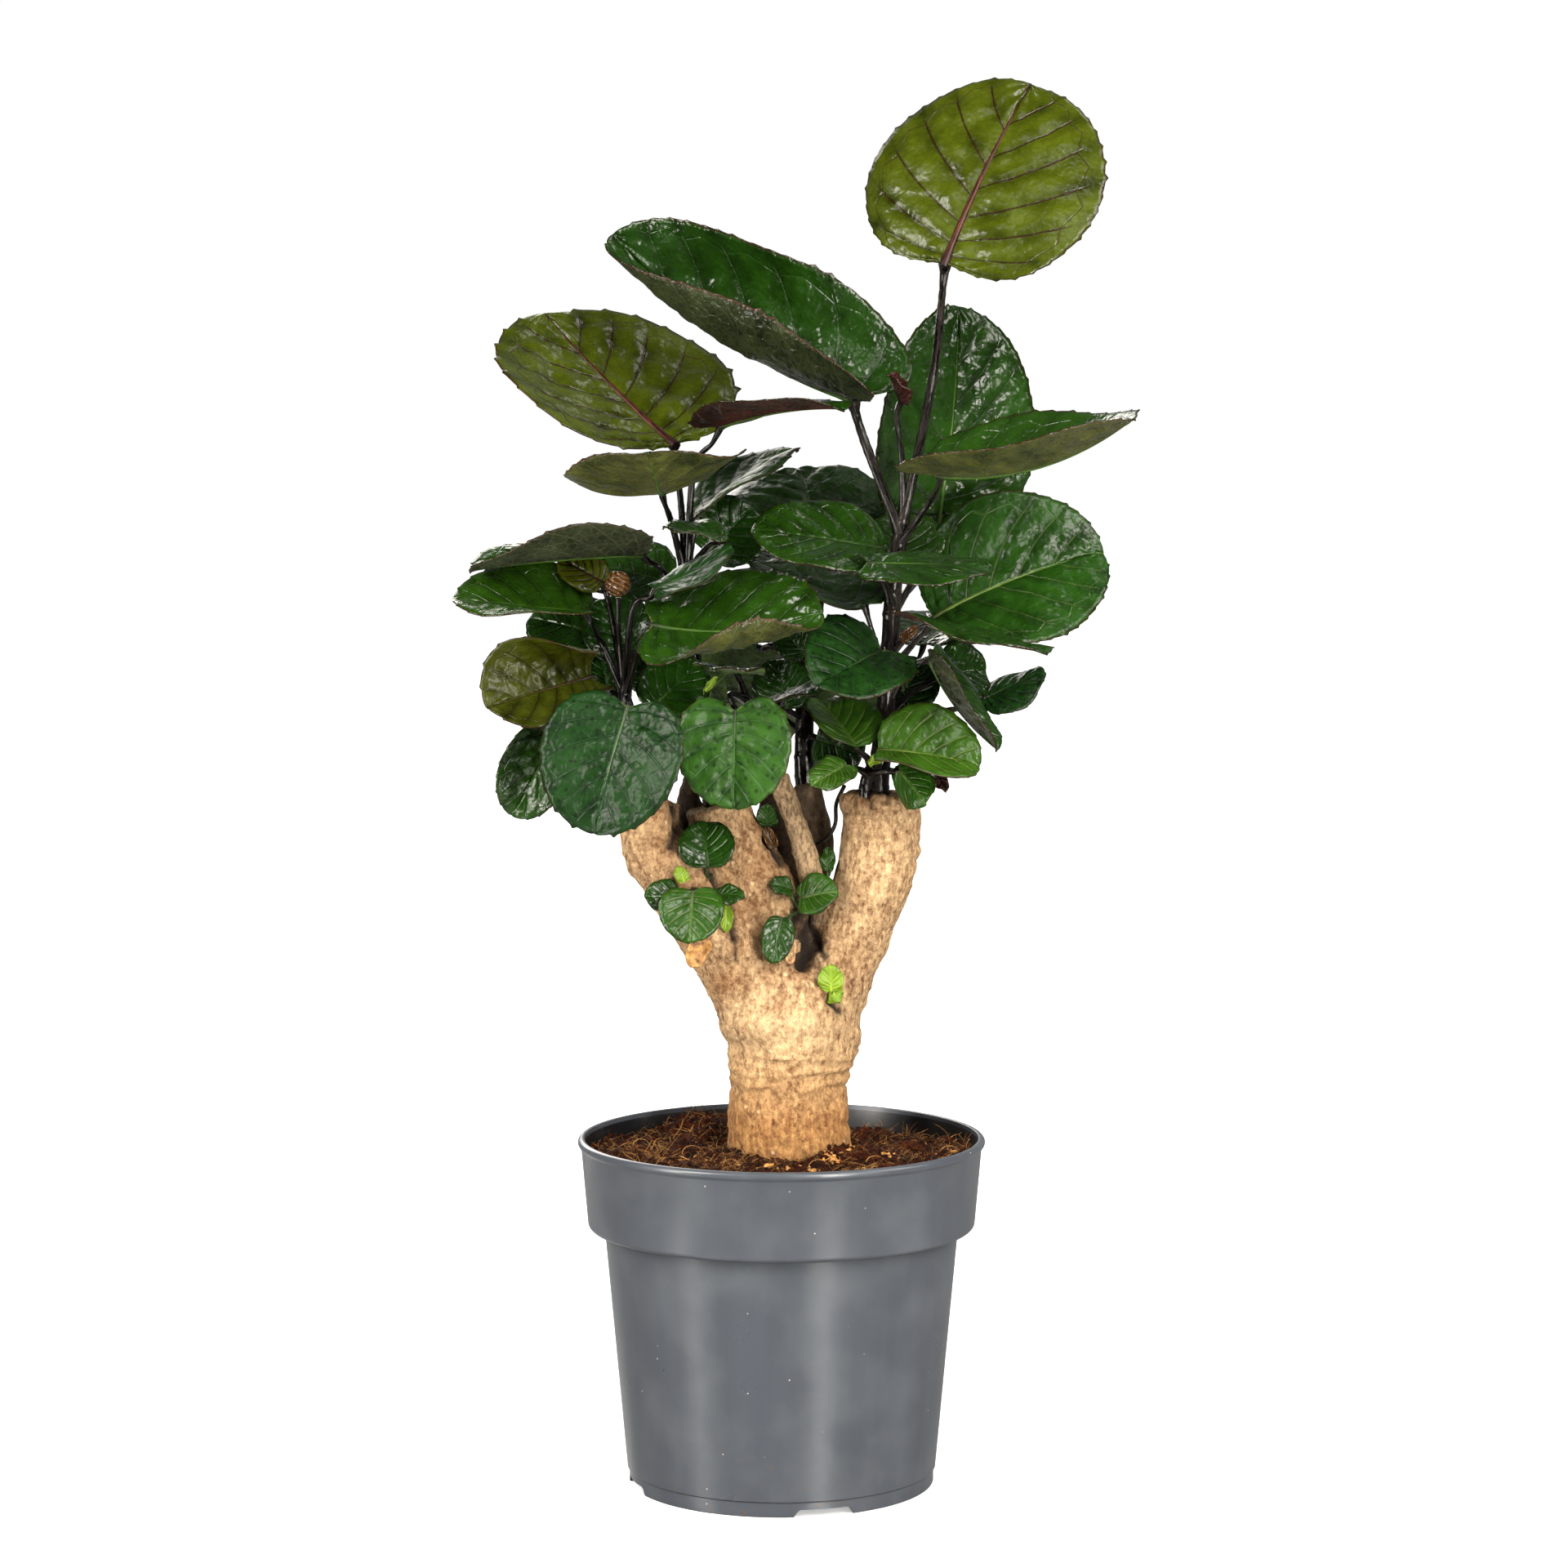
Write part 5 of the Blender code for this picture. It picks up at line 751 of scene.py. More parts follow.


# Bark: tan cork in small upright flakes, with brown specks, pale lenticels and clefts painted dark
# as shade. The eye gets a cream middle painted as highlight, a golden foot, mottled stains partly
# painted as shade in the forks, a grey striped cane, and wood deep in the forks painted dark as
# shade.
def bark():
    made, add, shader = new_material("tan_bark", IOR=1.40)
    at = add("TexCoord", out="Object")
    marks = {key: add("Attribute", out="Fac", attribute_name=key) for key in BARK_MARKS}
    long = add("VectorMath", {0: at, 1: (1.0, 1.0, 0.42)}, **TIMES)
    broad = add("TexNoise", {"Vector": at, "Scale": 24.0, "Detail": 3.0})
    mottle = add("TexNoise", {"Vector": at, "Scale": 290.0, "Detail": 7.0, "Roughness": 0.72})
    fibre = add("TexNoise", {"Vector": long, "Scale": 560.0, "Detail": 4.0, "Roughness": 0.65})
    grit = add("TexNoise", {"Vector": at, "Scale": 1000.0, "Detail": 3.0})
    # Flakes 2 mm wide and 6 mm tall, each of its own tan
    flake = add("TexVoronoi", {"Vector": long, "Scale": 430.0}, out="Color")
    flake = add("SeparateColor", {0: flake})
    mixed = add("Math", {0: mottle, 1: 0.50}, **TIMES)
    mixed = add("Math", {0: fibre, 1: 0.27, 2: mixed}, **TIMES_PLUS)
    mixed = add("Math", {0: broad, 1: 0.12, 2: mixed}, **TIMES_PLUS)
    mixed = add("Math", {0: flake, 1: 0.11, 2: mixed}, **TIMES_PLUS)
    # Painted highlight: the pale mark lifts the tan where the front of the trunk is most lit
    mixed = add("Math", {0: marks["pale_highlight"], 1: 0.07, 2: mixed}, **TIMES_PLUS)
    colour = add("ValToRGB", {0: mixed}, ramp=(
        (0.38, "#5f3a1d"), (0.70, "#e6c494"), (0.45, "#9e6b3a"), (0.51, "#bd8651"),
        (0.60, "#d3a26d")))
    height = add("SeparateXYZ", {0: at}).node.outputs[2]
    foot = add("MapRange", {0: height, 1: 0.268, 2: 0.215, 3: 0.0, 4: 0.62})
    colour = add("Mix", {0: foot, 6: colour, 7: "#d9ab4a"}, **TINT, blend_type="MULTIPLY")
    upright = add("VectorMath", {0: at, 1: (1.0, 1.0, 0.10)}, **TIMES)
    strand = add("TexNoise", {"Vector": upright, "Scale": 430.0, "Detail": 4.0, "Roughness": 0.7})
    strand = add("MapRange", {0: strand, 1: 0.52, 2: 0.36, 3: 0.0, 4: 1.0})
    strand = add("Math", {0: strand, 1: foot}, **TIMES)
    colour = add("Mix", {0: strand, 6: colour, 7: "#8f5a26"}, **TINT)
    specks = add("MapRange", {0: grit, 1: 0.58, 2: 0.70, 3: 0.0, 4: 0.50})
    colour = add("Mix", {0: specks, 6: colour, 7: "#5a3719"}, **TINT)
    # The stain mark darkens and browns real stains, and paints shade in the forks between the
    # limbs
    blot = add("MapRange", {0: mottle, 1: 0.52, 2: 0.40, 3: 0.0, 4: 0.8})
    blot = add("Math", {0: blot, 1: marks["stain_and_shade"]}, **TIMES)
    colour = add("Mix", {0: blot, 6: colour, 7: "#3a2c16"}, **TINT)
    tint = add("Math", {0: marks["stain_and_shade"], 1: 0.55}, **TIMES)
    colour = add("Mix", {0: tint, 6: colour, 7: "#80532e"}, **TINT)
    warts = add("TexVoronoi", {"Vector": at, "Scale": 95.0, "Randomness": 1.0}, out="Distance")
    warts = add("MapRange", {0: warts, 1: 0.07, 2: 0.16, 3: 1.0, 4: 0.0})
    cap = add("Math", {0: warts, 1: 0.35}, **TIMES)
    colour = add("Mix", {0: cap, 6: colour, 7: "#f3d8ac"}, **TINT)
    stripe = add("ValToRGB", {0: fibre}, ramp=(
        (0.36, "#4e3d2c"), (0.64, "#b89a76"), (0.5, "#8a7054")))
    colour = add("Mix", {0: marks["grey"], 6: colour, 7: stripe}, **TINT)
    # Painted shade: the shade mark darkens the back limb and the wood deep in the forks
    colour = add("Mix", {0: marks["shade"], 6: colour, 7: "#20150d"}, **TINT)
    # Painted shade: the cleft mark darkens clefts, hollows and the undersides of limbs
    colour = add("Mix", {0: marks["cleft_shade"], 6: colour, 7: "#1c1109"}, **TINT)
    matt = add("MapRange", {0: mottle, 1: 0.3, 2: 0.7, 3: 0.88, 4: 0.66})
    relief = add("Math", {0: fibre, 1: 0.8, 2: mottle}, **TIMES_PLUS)
    relief = add("Math", {0: grit, 1: 0.35, 2: relief}, **TIMES_PLUS)
    relief = add("Math", {0: flake, 1: 0.25, 2: relief}, **TIMES_PLUS)
    relief = add("Math", {0: warts, 1: 0.5, 2: relief}, **TIMES_PLUS)
    bump = add("Bump", {"Height": relief, "Strength": 0.8, "Distance": 0.0016}, out="Normal")
    plug(shader, Base_Color=colour, Roughness=matt, Normal=bump)
    return made


# Coco peat: matt brown crumbs of coconut fibre, darker where the bump is low: painted shade in
# the hollows between crumbs
def peat():
    made, add, shader = new_material("coco_peat_crumbs", IOR=1.40, Specular_IOR_Level=0.15)
    at = add("TexCoord", out="Object")
    clod = add("TexNoise", {"Vector": at, "Scale": 90.0, "Detail": 6.0, "Roughness": 0.7})
    crumb = add("TexNoise", {"Vector": at, "Scale": 650.0, "Detail": 5.0, "Roughness": 0.7})
    mixed = add("Math", {0: clod, 1: 0.5}, **TIMES)
    mixed = add("Math", {0: crumb, 1: 0.5, 2: mixed}, **TIMES_PLUS)
    # The same noise drives colour and bump, so the low hollows are painted dark as shade
    colour = add("ValToRGB", {0: mixed}, ramp=(
        (0.42, "#040201"), (0.68, "#55250c"), (0.50, "#120602"), (0.57, "#2a1006")))
    matt = add("MapRange", {0: clod, 1: 0.3, 2: 0.7, 3: 0.80, 4: 0.98})
    bump = add("Bump", {"Height": mixed, "Strength": 1.0, "Distance": 0.0020}, out="Normal")
    plug(shader, Base_Color=colour, Roughness=matt, Normal=bump)
    return made


# Coconut fibre: dry coir threads and husk flakes, from dark brown to straw
def coir():
    made, add, shader = new_material("coir_threads", IOR=1.45, Specular_IOR_Level=0.2)
    grain = add("Attribute", out="Vector", attribute_name="grain")
    tone = add("SeparateXYZ", {0: grain}).node.outputs[2]
    placed = add("VectorMath", {0: grain, 1: (3.0, 500.0, 9.0)}, **TIMES)
    streak = add("TexNoise", {"Vector": placed, "Scale": 1.0, "Detail": 3.0})
    level = add("Math", {0: streak, 1: 0.35, 2: -0.175}, **TIMES_PLUS)
    level = add("Math", {0: level, 1: tone}, operation="ADD")
    colour = add("ValToRGB", {0: level}, ramp=(
        (0.05, "#0a0301"), (0.98, "#c48e50"), (0.35, "#260c04"), (0.62, "#52240c"),
        (0.84, "#864a20")))
    matt = add("MapRange", {0: streak, 1: 0.3, 2: 0.7, 3: 0.62, 4: 0.82})
    plug(shader, Base_Color=colour, Roughness=matt)
    return made


# Polypropylene, injection moulded in mid grey: satin, with faint flow lines up the wall, pale
# dust, short scuffs and brown smears near the foot. The inside is the same stock, painted
# much darker as shade.
def pot_plastic(name, base, low, dirt):
    made, add, shader = new_material(name, IOR=1.49)
    at = add("TexCoord", out="Object")
    tall = add("VectorMath", {0: at, 1: (1.0, 1.0, 0.06)}, **TIMES)
    flow = add("TexNoise", {"Vector": tall, "Scale": 55.0, "Detail": 5.0, "Roughness": 0.55})
    haze = add("TexNoise", {"Vector": at, "Scale": 28.0, "Detail": 4.0})
    colour = add("ValToRGB", {0: flow}, ramp=((0.30, low), (0.70, base)))
    cloud = add("MapRange", {0: haze, 1: 0.45, 2: 0.75, 3: 0.0, 4: 0.10})
    colour = add("Mix", {0: cloud, 6: colour, 7: "#8e9296"}, **TINT)
    # Dust grains under 1 mm wide, one to every few square centimetres
    seed = add("TexVoronoi", {"Vector": at, "Scale": 210.0}, out="Distance")
    pick = add("TexVoronoi", {"Vector": at, "Scale": 210.0}, out="Color")
    lot = add("SeparateColor", {0: pick})
    chosen = add("Math", {0: lot, 1: 0.955}, operation="GREATER_THAN")
    grain = add("MapRange", {0: seed, 1: 0.05, 2: 0.12, 3: 0.85 * dirt, 4: 0.0})
    grain = add("Math", {0: grain, 1: chosen}, **TIMES)
    colour = add("Mix", {0: grain, 6: colour, 7: "#cfcabf"}, **TINT)
    thin = add("VectorMath", {0: at, 1: (1.0, 1.0, 0.12)}, **TIMES)
    scuff = add("TexVoronoi", {"Vector": thin, "Scale": 150.0}, out="Distance")
    which = add("TexVoronoi", {"Vector": thin, "Scale": 150.0}, out="Color")
    which = add("SeparateColor", {0: which}, out=1)
    which = add("Math", {0: which, 1: 0.93}, operation="GREATER_THAN")
    scuff = add("MapRange", {0: scuff, 1: 0.03, 2: 0.07, 3: 0.25 * dirt, 4: 0.0})
    scuff = add("Math", {0: scuff, 1: which}, **TIMES)
    colour = add("Mix", {0: scuff, 6: colour, 7: "#a4a5a5"}, **TINT)
    height = add("SeparateXYZ", {0: at}).node.outputs[2]
    foot = add("MapRange", {0: height, 1: 0.060, 2: 0.006, 3: 0.0, 4: 1.0})
    soil = add("TexNoise", {"Vector": at, "Scale": 260.0, "Detail": 5.0, "Roughness": 0.7})
    soil = add("MapRange", {0: soil, 1: 0.61, 2: 0.68, 3: 0.0, 4: 0.8 * dirt})
    soil = add("Math", {0: soil, 1: foot}, **TIMES)
    colour = add("Mix", {0: soil, 6: colour, 7: "#5f4430"}, **TINT)
    satin = add("MapRange", {0: haze, 1: 0.3, 2: 0.7, 3: 0.27, 4: 0.34})
    orange_peel = add("TexNoise", {"Vector": at, "Scale": 700.0, "Detail": 2.0})
    relief = add("Math", {0: flow, 1: 0.7, 2: orange_peel}, **TIMES_PLUS)
    bump = add("Bump", {"Height": relief, "Strength": 0.12, "Distance": 0.0003}, out="Normal")
    plug(shader, Base_Color=colour, Roughness=satin, Normal=bump)
    return made


# Dried leaf: thin amber to brown tissue, dry and crisp
def dry_leaf(name, low, middle, high):
    made, add, shader = new_material(name, IOR=1.45)
    at = add("TexCoord", out="Object")
    patch = add("TexNoise", {"Vector": at, "Scale": 260.0, "Detail": 5.0, "Roughness": 0.6})
    colour = add("ValToRGB", {0: patch}, ramp=(
        (0.35, low), (0.68, high), (0.52, middle)))
    matt = add("MapRange", {0: patch, 1: 0.3, 2: 0.7, 3: 0.45, 4: 0.65})
    bump = add("Bump", {"Height": patch, "Strength": 0.6, "Distance": 0.0006}, out="Normal")
    plug(shader, Base_Color=colour, Roughness=matt, Normal=bump)
    return made


STEM_SKIN = stem_skin()
BARK = bark()
PEAT = peat()
COIR = coir()
POT_OUTSIDE = pot_plastic("pot_grey_polypropylene_satin", "#42474f", "#3c4048", 1.0)
# Painted shade: the inside of the pot is the same plastic, painted near black
POT_INSIDE_SHADE = pot_plastic("pot_inside_painted_shade_polypropylene", "#15171a", "#101214", 0.4)
DRY_LEAF = dry_leaf("dried_amber_leaf", "#5a3216", "#a0652e", "#cf9a58")
PEACH_LEAF = dry_leaf("dried_peach_leaf", "#6e4426", "#b07a4a", "#dcae7c")
SKINS["dry"] = BACKS["dry"] = RIBS["dry"] = DRY_LEAF
SKINS["peach"] = BACKS["peach"] = RIBS["peach"] = PEACH_LEAF


# Pot
def rounded(x, z, radius, first, last, count):
    """Profile points on an arc about (x, z), from one angle to another in degrees."""
    out = []
    for k in range(count + 1):
        a = math.radians(first + (last - first) * k / count)
        out.append((x + radius * math.cos(a), z + radius * math.sin(a)))
    return out


def pot_profile():
    """Radius and height round the wall, from the floor inside, over the rim, to the foot."""
    rim = POT_HEIGHT - RIM_BEAD
    band_in = BAND_TOP_RADIUS - WALL
    step_in = BAND_BOTTOM_RADIUS - WALL
    foot_in = BODY_FOOT_RADIUS - WALL
    line = [(0.030, FLOOR_TOP), (foot_in - 0.0050, FLOOR_TOP)]
    line += rounded(foot_in - 0.0035, FLOOR_TOP + 0.0035, 0.0035, -80, 0, 5)
    line += [(BODY_TOP_RADIUS - WALL, BAND_BOTTOM + WALL - 0.0006)]
    line += [(BODY_TOP_RADIUS - WALL + 0.0006, BAND_BOTTOM + WALL)]
    line += [(step_in - 0.0010, BAND_BOTTOM + WALL), (step_in, BAND_BOTTOM + WALL + 0.0010)]
    line += [(band_in - 0.0006, rim - 0.0030), (band_in - 0.0002, rim)]
    line += rounded(RIM_RADIUS - RIM_BEAD, rim, RIM_BEAD, 118, -40, 12)
    line += [(BAND_TOP_RADIUS + 0.0006, rim - 0.0024), (BAND_TOP_RADIUS, rim - 0.0034)]
    line += rounded(BAND_BOTTOM_RADIUS - 0.0032, BAND_BOTTOM + 0.0032, 0.0032, 2, -88, 8)
    line += [(BODY_TOP_RADIUS + 0.0006, BAND_BOTTOM), (BODY_TOP_RADIUS, BAND_BOTTOM - 0.0006)]
    line += [(BODY_FOOT_RADIUS + 0.0004, FOOT_HEIGHT + 0.0005), (BODY_FOOT_RADIUS, FOOT_HEIGHT)]
    line += [(FOOT_RADIUS, FOOT_HEIGHT - 0.0005)]
    line += rounded(FOOT_RADIUS - 0.0008, 0.0008, 0.0008, 0, -90, 4)
    line += [(FOOT_RADIUS - 0.0030, 0.0), (FOOT_RADIUS - 0.0030, FLOOR_UNDER)]
    return line + [(0.030, FLOOR_UNDER)]


def turned(name, line, sides):
    """Shell turned from a profile: a circle drawn out ring by ring, its two ends filled."""
    deselect()
    bpy.ops.mesh.primitive_circle_add(
        vertices=sides, radius=line[0][0], location=(0.0, 0.0, line[0][1]), fill_type="NOTHING")
    obj = bpy.context.object
    obj.name = name
    obj.data.name = name
    bpy.ops.object.transform_apply()
    bpy.ops.object.mode_set(mode="EDIT")
    bpy.ops.mesh.select_all(action="SELECT")
    for (r0, z0), (r1, z1) in zip(line, line[1:]):
        bpy.ops.mesh.extrude_edges_move(TRANSFORM_OT_translate={"value": (0.0, 0.0, z1 - z0)})
        bpy.ops.transform.resize(value=(r1 / r0, r1 / r0, 1.0), center_override=(0.0, 0.0, z1))
    bpy.ops.mesh.select_all(action="SELECT")
    bpy.ops.mesh.fill_holes(sides=0)
    bpy.ops.mesh.select_all(action="SELECT")
    bpy.ops.mesh.normals_make_consistent(inside=False)
    bpy.ops.object.mode_set(mode="OBJECT")
    return obj


def notch_cutter():
    """Block whose lower side is wider than its upper one, at the front of the foot ring."""
    deselect()
    bpy.ops.mesh.primitive_cube_add(size=1.0, location=(0.0, 0.0, 0.0))
    obj = bpy.context.object
    drop = 0.003
    for vert in obj.data.vertices:
        high = vert.co.z > 0.0
        wide = NOTCH_TOP_WIDTH if high else NOTCH_BOTTOM_WIDTH + 0.0040
        level = NOTCH_HEIGHT if high else -drop
        vert.co = (vert.co.x * wide, vert.co.y * 0.014 - FOOT_RADIUS, level)
    bpy.ops.object.mode_set(mode="EDIT")
    bpy.ops.mesh.select_all(action="DESELECT")
    bpy.ops.object.mode_set(mode="OBJECT")
    for edge in obj.data.edges:
        a, b = (obj.data.vertices[k].co for k in edge.vertices)
        edge.select = min(a.z, b.z) > 0.0 and abs(a.x - b.x) < 1e-6
    bpy.ops.object.mode_set(mode="EDIT")
    bpy.ops.mesh.bevel(offset=NOTCH_ROUNDING, segments=4, profile=0.5)
    bpy.ops.object.mode_set(mode="OBJECT")
    return obj


def cut_away(obj, cutter):
    modify(obj, "BOOLEAN", operation="DIFFERENCE", solver="EXACT", object=cutter)
    bpy.data.objects.remove(cutter, do_unlink=True)


pot = turned("pot_moulded", pot_profile(), POT_SIDES)
notches = []
first_notch = notch_cutter()
for k in range(NOTCH_COUNT):
    copy = first_notch.copy()
    copy.data = first_notch.data.copy()
    link(copy)
    copy.rotation_euler.z = NOTCH_TURN + 2.0 * math.pi * k / NOTCH_COUNT
    only(copy)
    bpy.ops.object.transform_apply()
    notches.append(copy)
bpy.data.objects.remove(first_notch, do_unlink=True)
for k in range(DRAIN_COUNT):
    heading = 2.0 * math.pi * (k + 0.5) / DRAIN_COUNT
    deselect()
    bpy.ops.mesh.primitive_cylinder_add(
        vertices=32, radius=DRAIN_RADIUS, depth=0.012,
        location=(DRAIN_CIRCLE * math.cos(heading), DRAIN_CIRCLE * math.sin(heading), FLOOR_TOP))
    notches.append(bpy.context.object)
cut_away(pot, together("pot_cutters", notches))
pot.data.materials.clear()
pot.data.materials.append(POT_OUTSIDE)
pot.data.materials.append(POT_INSIDE_SHADE)
# Faces inside the pot take the inside plastic, painted dark as shade
for face in pot.data.polygons:
    middle = face.center
    inward = face.normal.x * middle.x + face.normal.y * middle.y < -1e-5
    inner = FLOOR_TOP - 0.0002 < middle.z < 0.204
    inner = inner and math.hypot(middle.x, middle.y) < RIM_RADIUS - 0.0034
    face.material_index = int(inner and (inward or face.normal.z > 0.5))
smooth(pot, 32.0)
stand_for(pot, "pot_grey_polypropylene", "pot")


# Soil
def soil_height(x, y):
    """Uneven top of the peat: lower at the back right, heaped at the back left."""
    r = math.hypot(x, y)
    z = SOIL_LEVEL
    z -= 0.0075 * max(0.0, y) / 0.115
    z -= 0.0030 * max(0.0, x) * max(0.0, y) / 0.0066
    z += 0.0070 * math.exp(-((x + 0.047) ** 2 + (y - 0.088) ** 2) / 0.0011)
    z += 0.0030 * math.exp(-((x - 0.048) ** 2 + (y + 0.030) ** 2) / 0.0009)
    z += 0.0012 * math.sin(95.0 * x + 1.0) * math.sin(83.0 * y + 0.4)
    z += 0.0009 * math.sin(190.0 * x - 70.0 * y)
    return z - 0.0015 * (r / 0.115) ** 4


# Heaps of loose peat: place across and behind the axis, spread and rise in mm
HEAPS = [
    (-52, 74, 18, 5.0), (-30, 88, 13, 4.0), (47, 31, 8, 7.5), (62, 44, 10, 5.0), (80, 36, 9, 4.0),
    (101, 28, 8, 4.2), (-84, 22, 9, 2.2), (-60, -20, 8, 1.6), (-52, 22, 9, 2.0), (70, -44, 8, 1.4),
]


def clods(x, y):
    """Lumps of loose peat on top of its broad form, with dark gaps between them."""
    at = Vector((x, y, 0.3))
    rise = 0.0030 * noise.noise(at * 62.0) + 0.0024 * (0.35 - abs(noise.noise(at * 120.0)))
    rise += 0.0016 * (0.3 - abs(noise.noise(at * 260.0))) + 0.0007 * noise.noise(at * 560.0)
    rise *= 1.25
    for across, behind, spread, lift in HEAPS:
        gap = math.hypot(x / MM - across, y / MM - behind) / spread
        if gap < 2.5:
            rise += lift * MM * math.exp(-gap * gap)
    return rise


def peat_top(x, y):
    return soil_height(x, y) + clods(x, y)


def drop_on_peat(draw, out):
    """A place drawn evenly over the peat, up to a radius."""
    r = out * math.sqrt(draw.random())
    a = draw.uniform(0.0, 2.0 * math.pi)
    return r * math.cos(a), r * math.sin(a)


def band_bore(z):
    rise = (z - BAND_BOTTOM - WALL) / (POT_HEIGHT - RIM_BEAD - BAND_BOTTOM - WALL)
    return BAND_BOTTOM_RADIUS + (BAND_TOP_RADIUS - BAND_BOTTOM_RADIUS) * rise - WALL - 0.0008


def peat_bed():
    wide = band_bore(SOIL_LEVEL - 0.010)
    line = [(0.0015 + (wide - 0.0015) * k / SOIL_STEPS, SOIL_LEVEL) for k in range(SOIL_STEPS + 1)]
    low = FLOOR_TOP + 0.0006
    line += [
        (band_bore(BAND_BOTTOM + 0.004), BAND_BOTTOM + 0.004),
        (BODY_TOP_RADIUS - WALL - 0.001, BAND_BOTTOM),
        (BODY_FOOT_RADIUS - WALL - 0.001, FLOOR_TOP + 0.006),
        (BODY_FOOT_RADIUS - 0.008, low), (0.0015, low)]
    bed = turned("peat_bed", line, SOIL_SIDES)
    for vert in bed.data.vertices:
        x, y, z = vert.co
        if z > SOIL_LEVEL - 0.001:
            r = math.hypot(x, y)
            fade = step(wide, wide - 0.004, r) if r < wide else 0.0
            level = soil_height(x, y) + clods(x, y) * (0.35 + 0.65 * fade)
            pull = band_bore(level) / wide if r > wide - 1e-5 else 1.0
            vert.co = (x * pull, y * pull, level)
    bed.data.materials.append(PEAT)
    smooth(bed, 60.0)
    return bed


def peat_crumbs():
    """Loose crumbs: one rough lump, copied at many sizes and turns."""
    draw = random.Random(7)
    deselect()
    bpy.ops.mesh.primitive_ico_sphere_add(subdivisions=1, radius=1.0)
    lump = bpy.context.object
    shape = []
    for vert in lump.data.vertices:
        shape.append(vert.co * (1.0 + 0.55 * noise.noise(vert.co * 1.7 + Vector((3.0, 1.0, 2.0)))))
    sides = [tuple(f.vertices) for f in lump.data.polygons]
    bpy.data.objects.remove(lump, do_unlink=True)
    verts = []
    faces = []
    for _ in range(CRUMBS):
        x, y = drop_on_peat(draw, CRUMB_REACH)
        size = 0.0007 + 0.0020 * draw.random() ** 2.4
        z = peat_top(x, y)
        turn = Vector((draw.uniform(-1, 1), draw.uniform(-1, 1), draw.uniform(-1, 1))).normalized()
        spin = turn.to_track_quat("Z", "Y")
        flat = draw.uniform(0.45, 1.0)
        start = len(verts)
        for co in shape:
            p = Vector((co.x, co.y * draw.uniform(0.9, 1.1), co.z * flat))
            verts.append(spin @ p * size + Vector((x, y, z + size * 0.2)))
        faces += [tuple(start + k for k in f) for f in sides]
    crumbs = body("peat_crumbs", (verts, faces, None), PEAT)
    smooth(crumbs, 60.0)
    return crumbs


# Longer threads that stand up: column, row, depth in mm, length in mm, lean, tone
TALL_THREADS = [
    (846, 1352, 84, 9, -0.5, 0.10), (852, 1353, 86, 8, -0.2, 0.12), (858, 1354, 80, 6, 0.4, 0.15),
    (1105, 1378, 60, 11, 0.1, 0.20), (1112, 1380, 56, 12, 0.5, 0.25),
    (1120, 1384, 50, 14, 1.6, 0.45), (1180, 1386, 24, 8, 0.3, 0.35),
    (1172, 1388, 22, 7, -0.4, 0.20), (800, 1398, 20, 12, 1.7, 0.55), (775, 1400, 6, 12, 1.8, 0.65),
    (1150, 1406, -20, 13, 1.4, 0.70), (990, 1432, -70, 14, 1.7, 0.60),
    (835, 1408, -30, 14, 1.6, 0.6), (905, 1424, -60, 12, -1.6, 0.55),
    (1060, 1420, -58, 12, 1.5, 0.75),
]


def coir_threads():
    """Threads of coir that lie on the peat, curl out of it or stand up."""
    draw = random.Random(11)
    store = ([], [], [])
    for _ in range(THREADS):
        x, y = drop_on_peat(draw, THREAD_REACH)
        heading = draw.uniform(0.0, 2.0 * math.pi)
        rise = draw.uniform(-0.15, 0.75) * (1.0 if draw.random() < 0.8 else 1.9)
        bend = draw.gauss(0.0, 1.1)
        length = draw.uniform(0.0025, 0.0080) * (1.0 if draw.random() < 0.93 else 1.9)
        wide = draw.uniform(0.00009, 0.00024)
        tone = draw.gauss(0.22, 0.16) + 0.30 * noise.noise(Vector((x, y, 2.0)) * 45.0)
        tone = min(1.0, max(0.0, tone))
        spot = Vector((x, y, peat_top(x, y) - 0.0002))
        points = []
        for k in range(5):
            points.append((spot.copy(), wide * (1.0 if k < 4 else 0.5)))
            way = heading + bend * k / 4.0
            spot += Vector((math.cos(way), math.sin(way), rise - 0.28 * k / 4.0)) * (length / 4.0)
            if math.hypot(spot.x, spot.y) > 0.1135:
                spot.x *= 0.97
                spot.y *= 0.97
        rod(store, points, 3, tone)
    for column, row, depth, length, lean, tone in TALL_THREADS:
        foot = seen(column, row, depth)
        foot.z = peat_top(foot.x, foot.y)
        points = []
        for k in range(7):
            t = k / 6.0
            tip = Vector((math.sin(lean * t), 0.15 * math.sin(3.0 * t), math.cos(lean * t)))
            points.append((foot + tip * (length * MM * t), 0.00026 * (1.15 - t)))
        rod(store, points, 4, tone)
    return body("coir_threads", store, COIR)


# Golden husk flakes: column, row, depth in mm, spread in mm, count, tone
HUSK_SPOTS = [
    (1018, 1414, -52, 9, 14, 0.98), (1010, 1400, -38, 8, 8, 0.72), (1040, 1398, -30, 8, 8, 0.70),
    (1135, 1412, -36, 10, 14, 0.92), (1095, 1418, -50, 8, 6, 0.70), (948, 1438, -72, 9, 9, 0.90),
    (990, 1440, -78, 10, 9, 0.86), (905, 1430, -66, 9, 5, 0.62), (1060, 1436, -70, 14, 6, 0.82),
    (850, 1420, -50, 18, 5, 0.60), (1170, 1404, -12, 12, 5, 0.75),
]


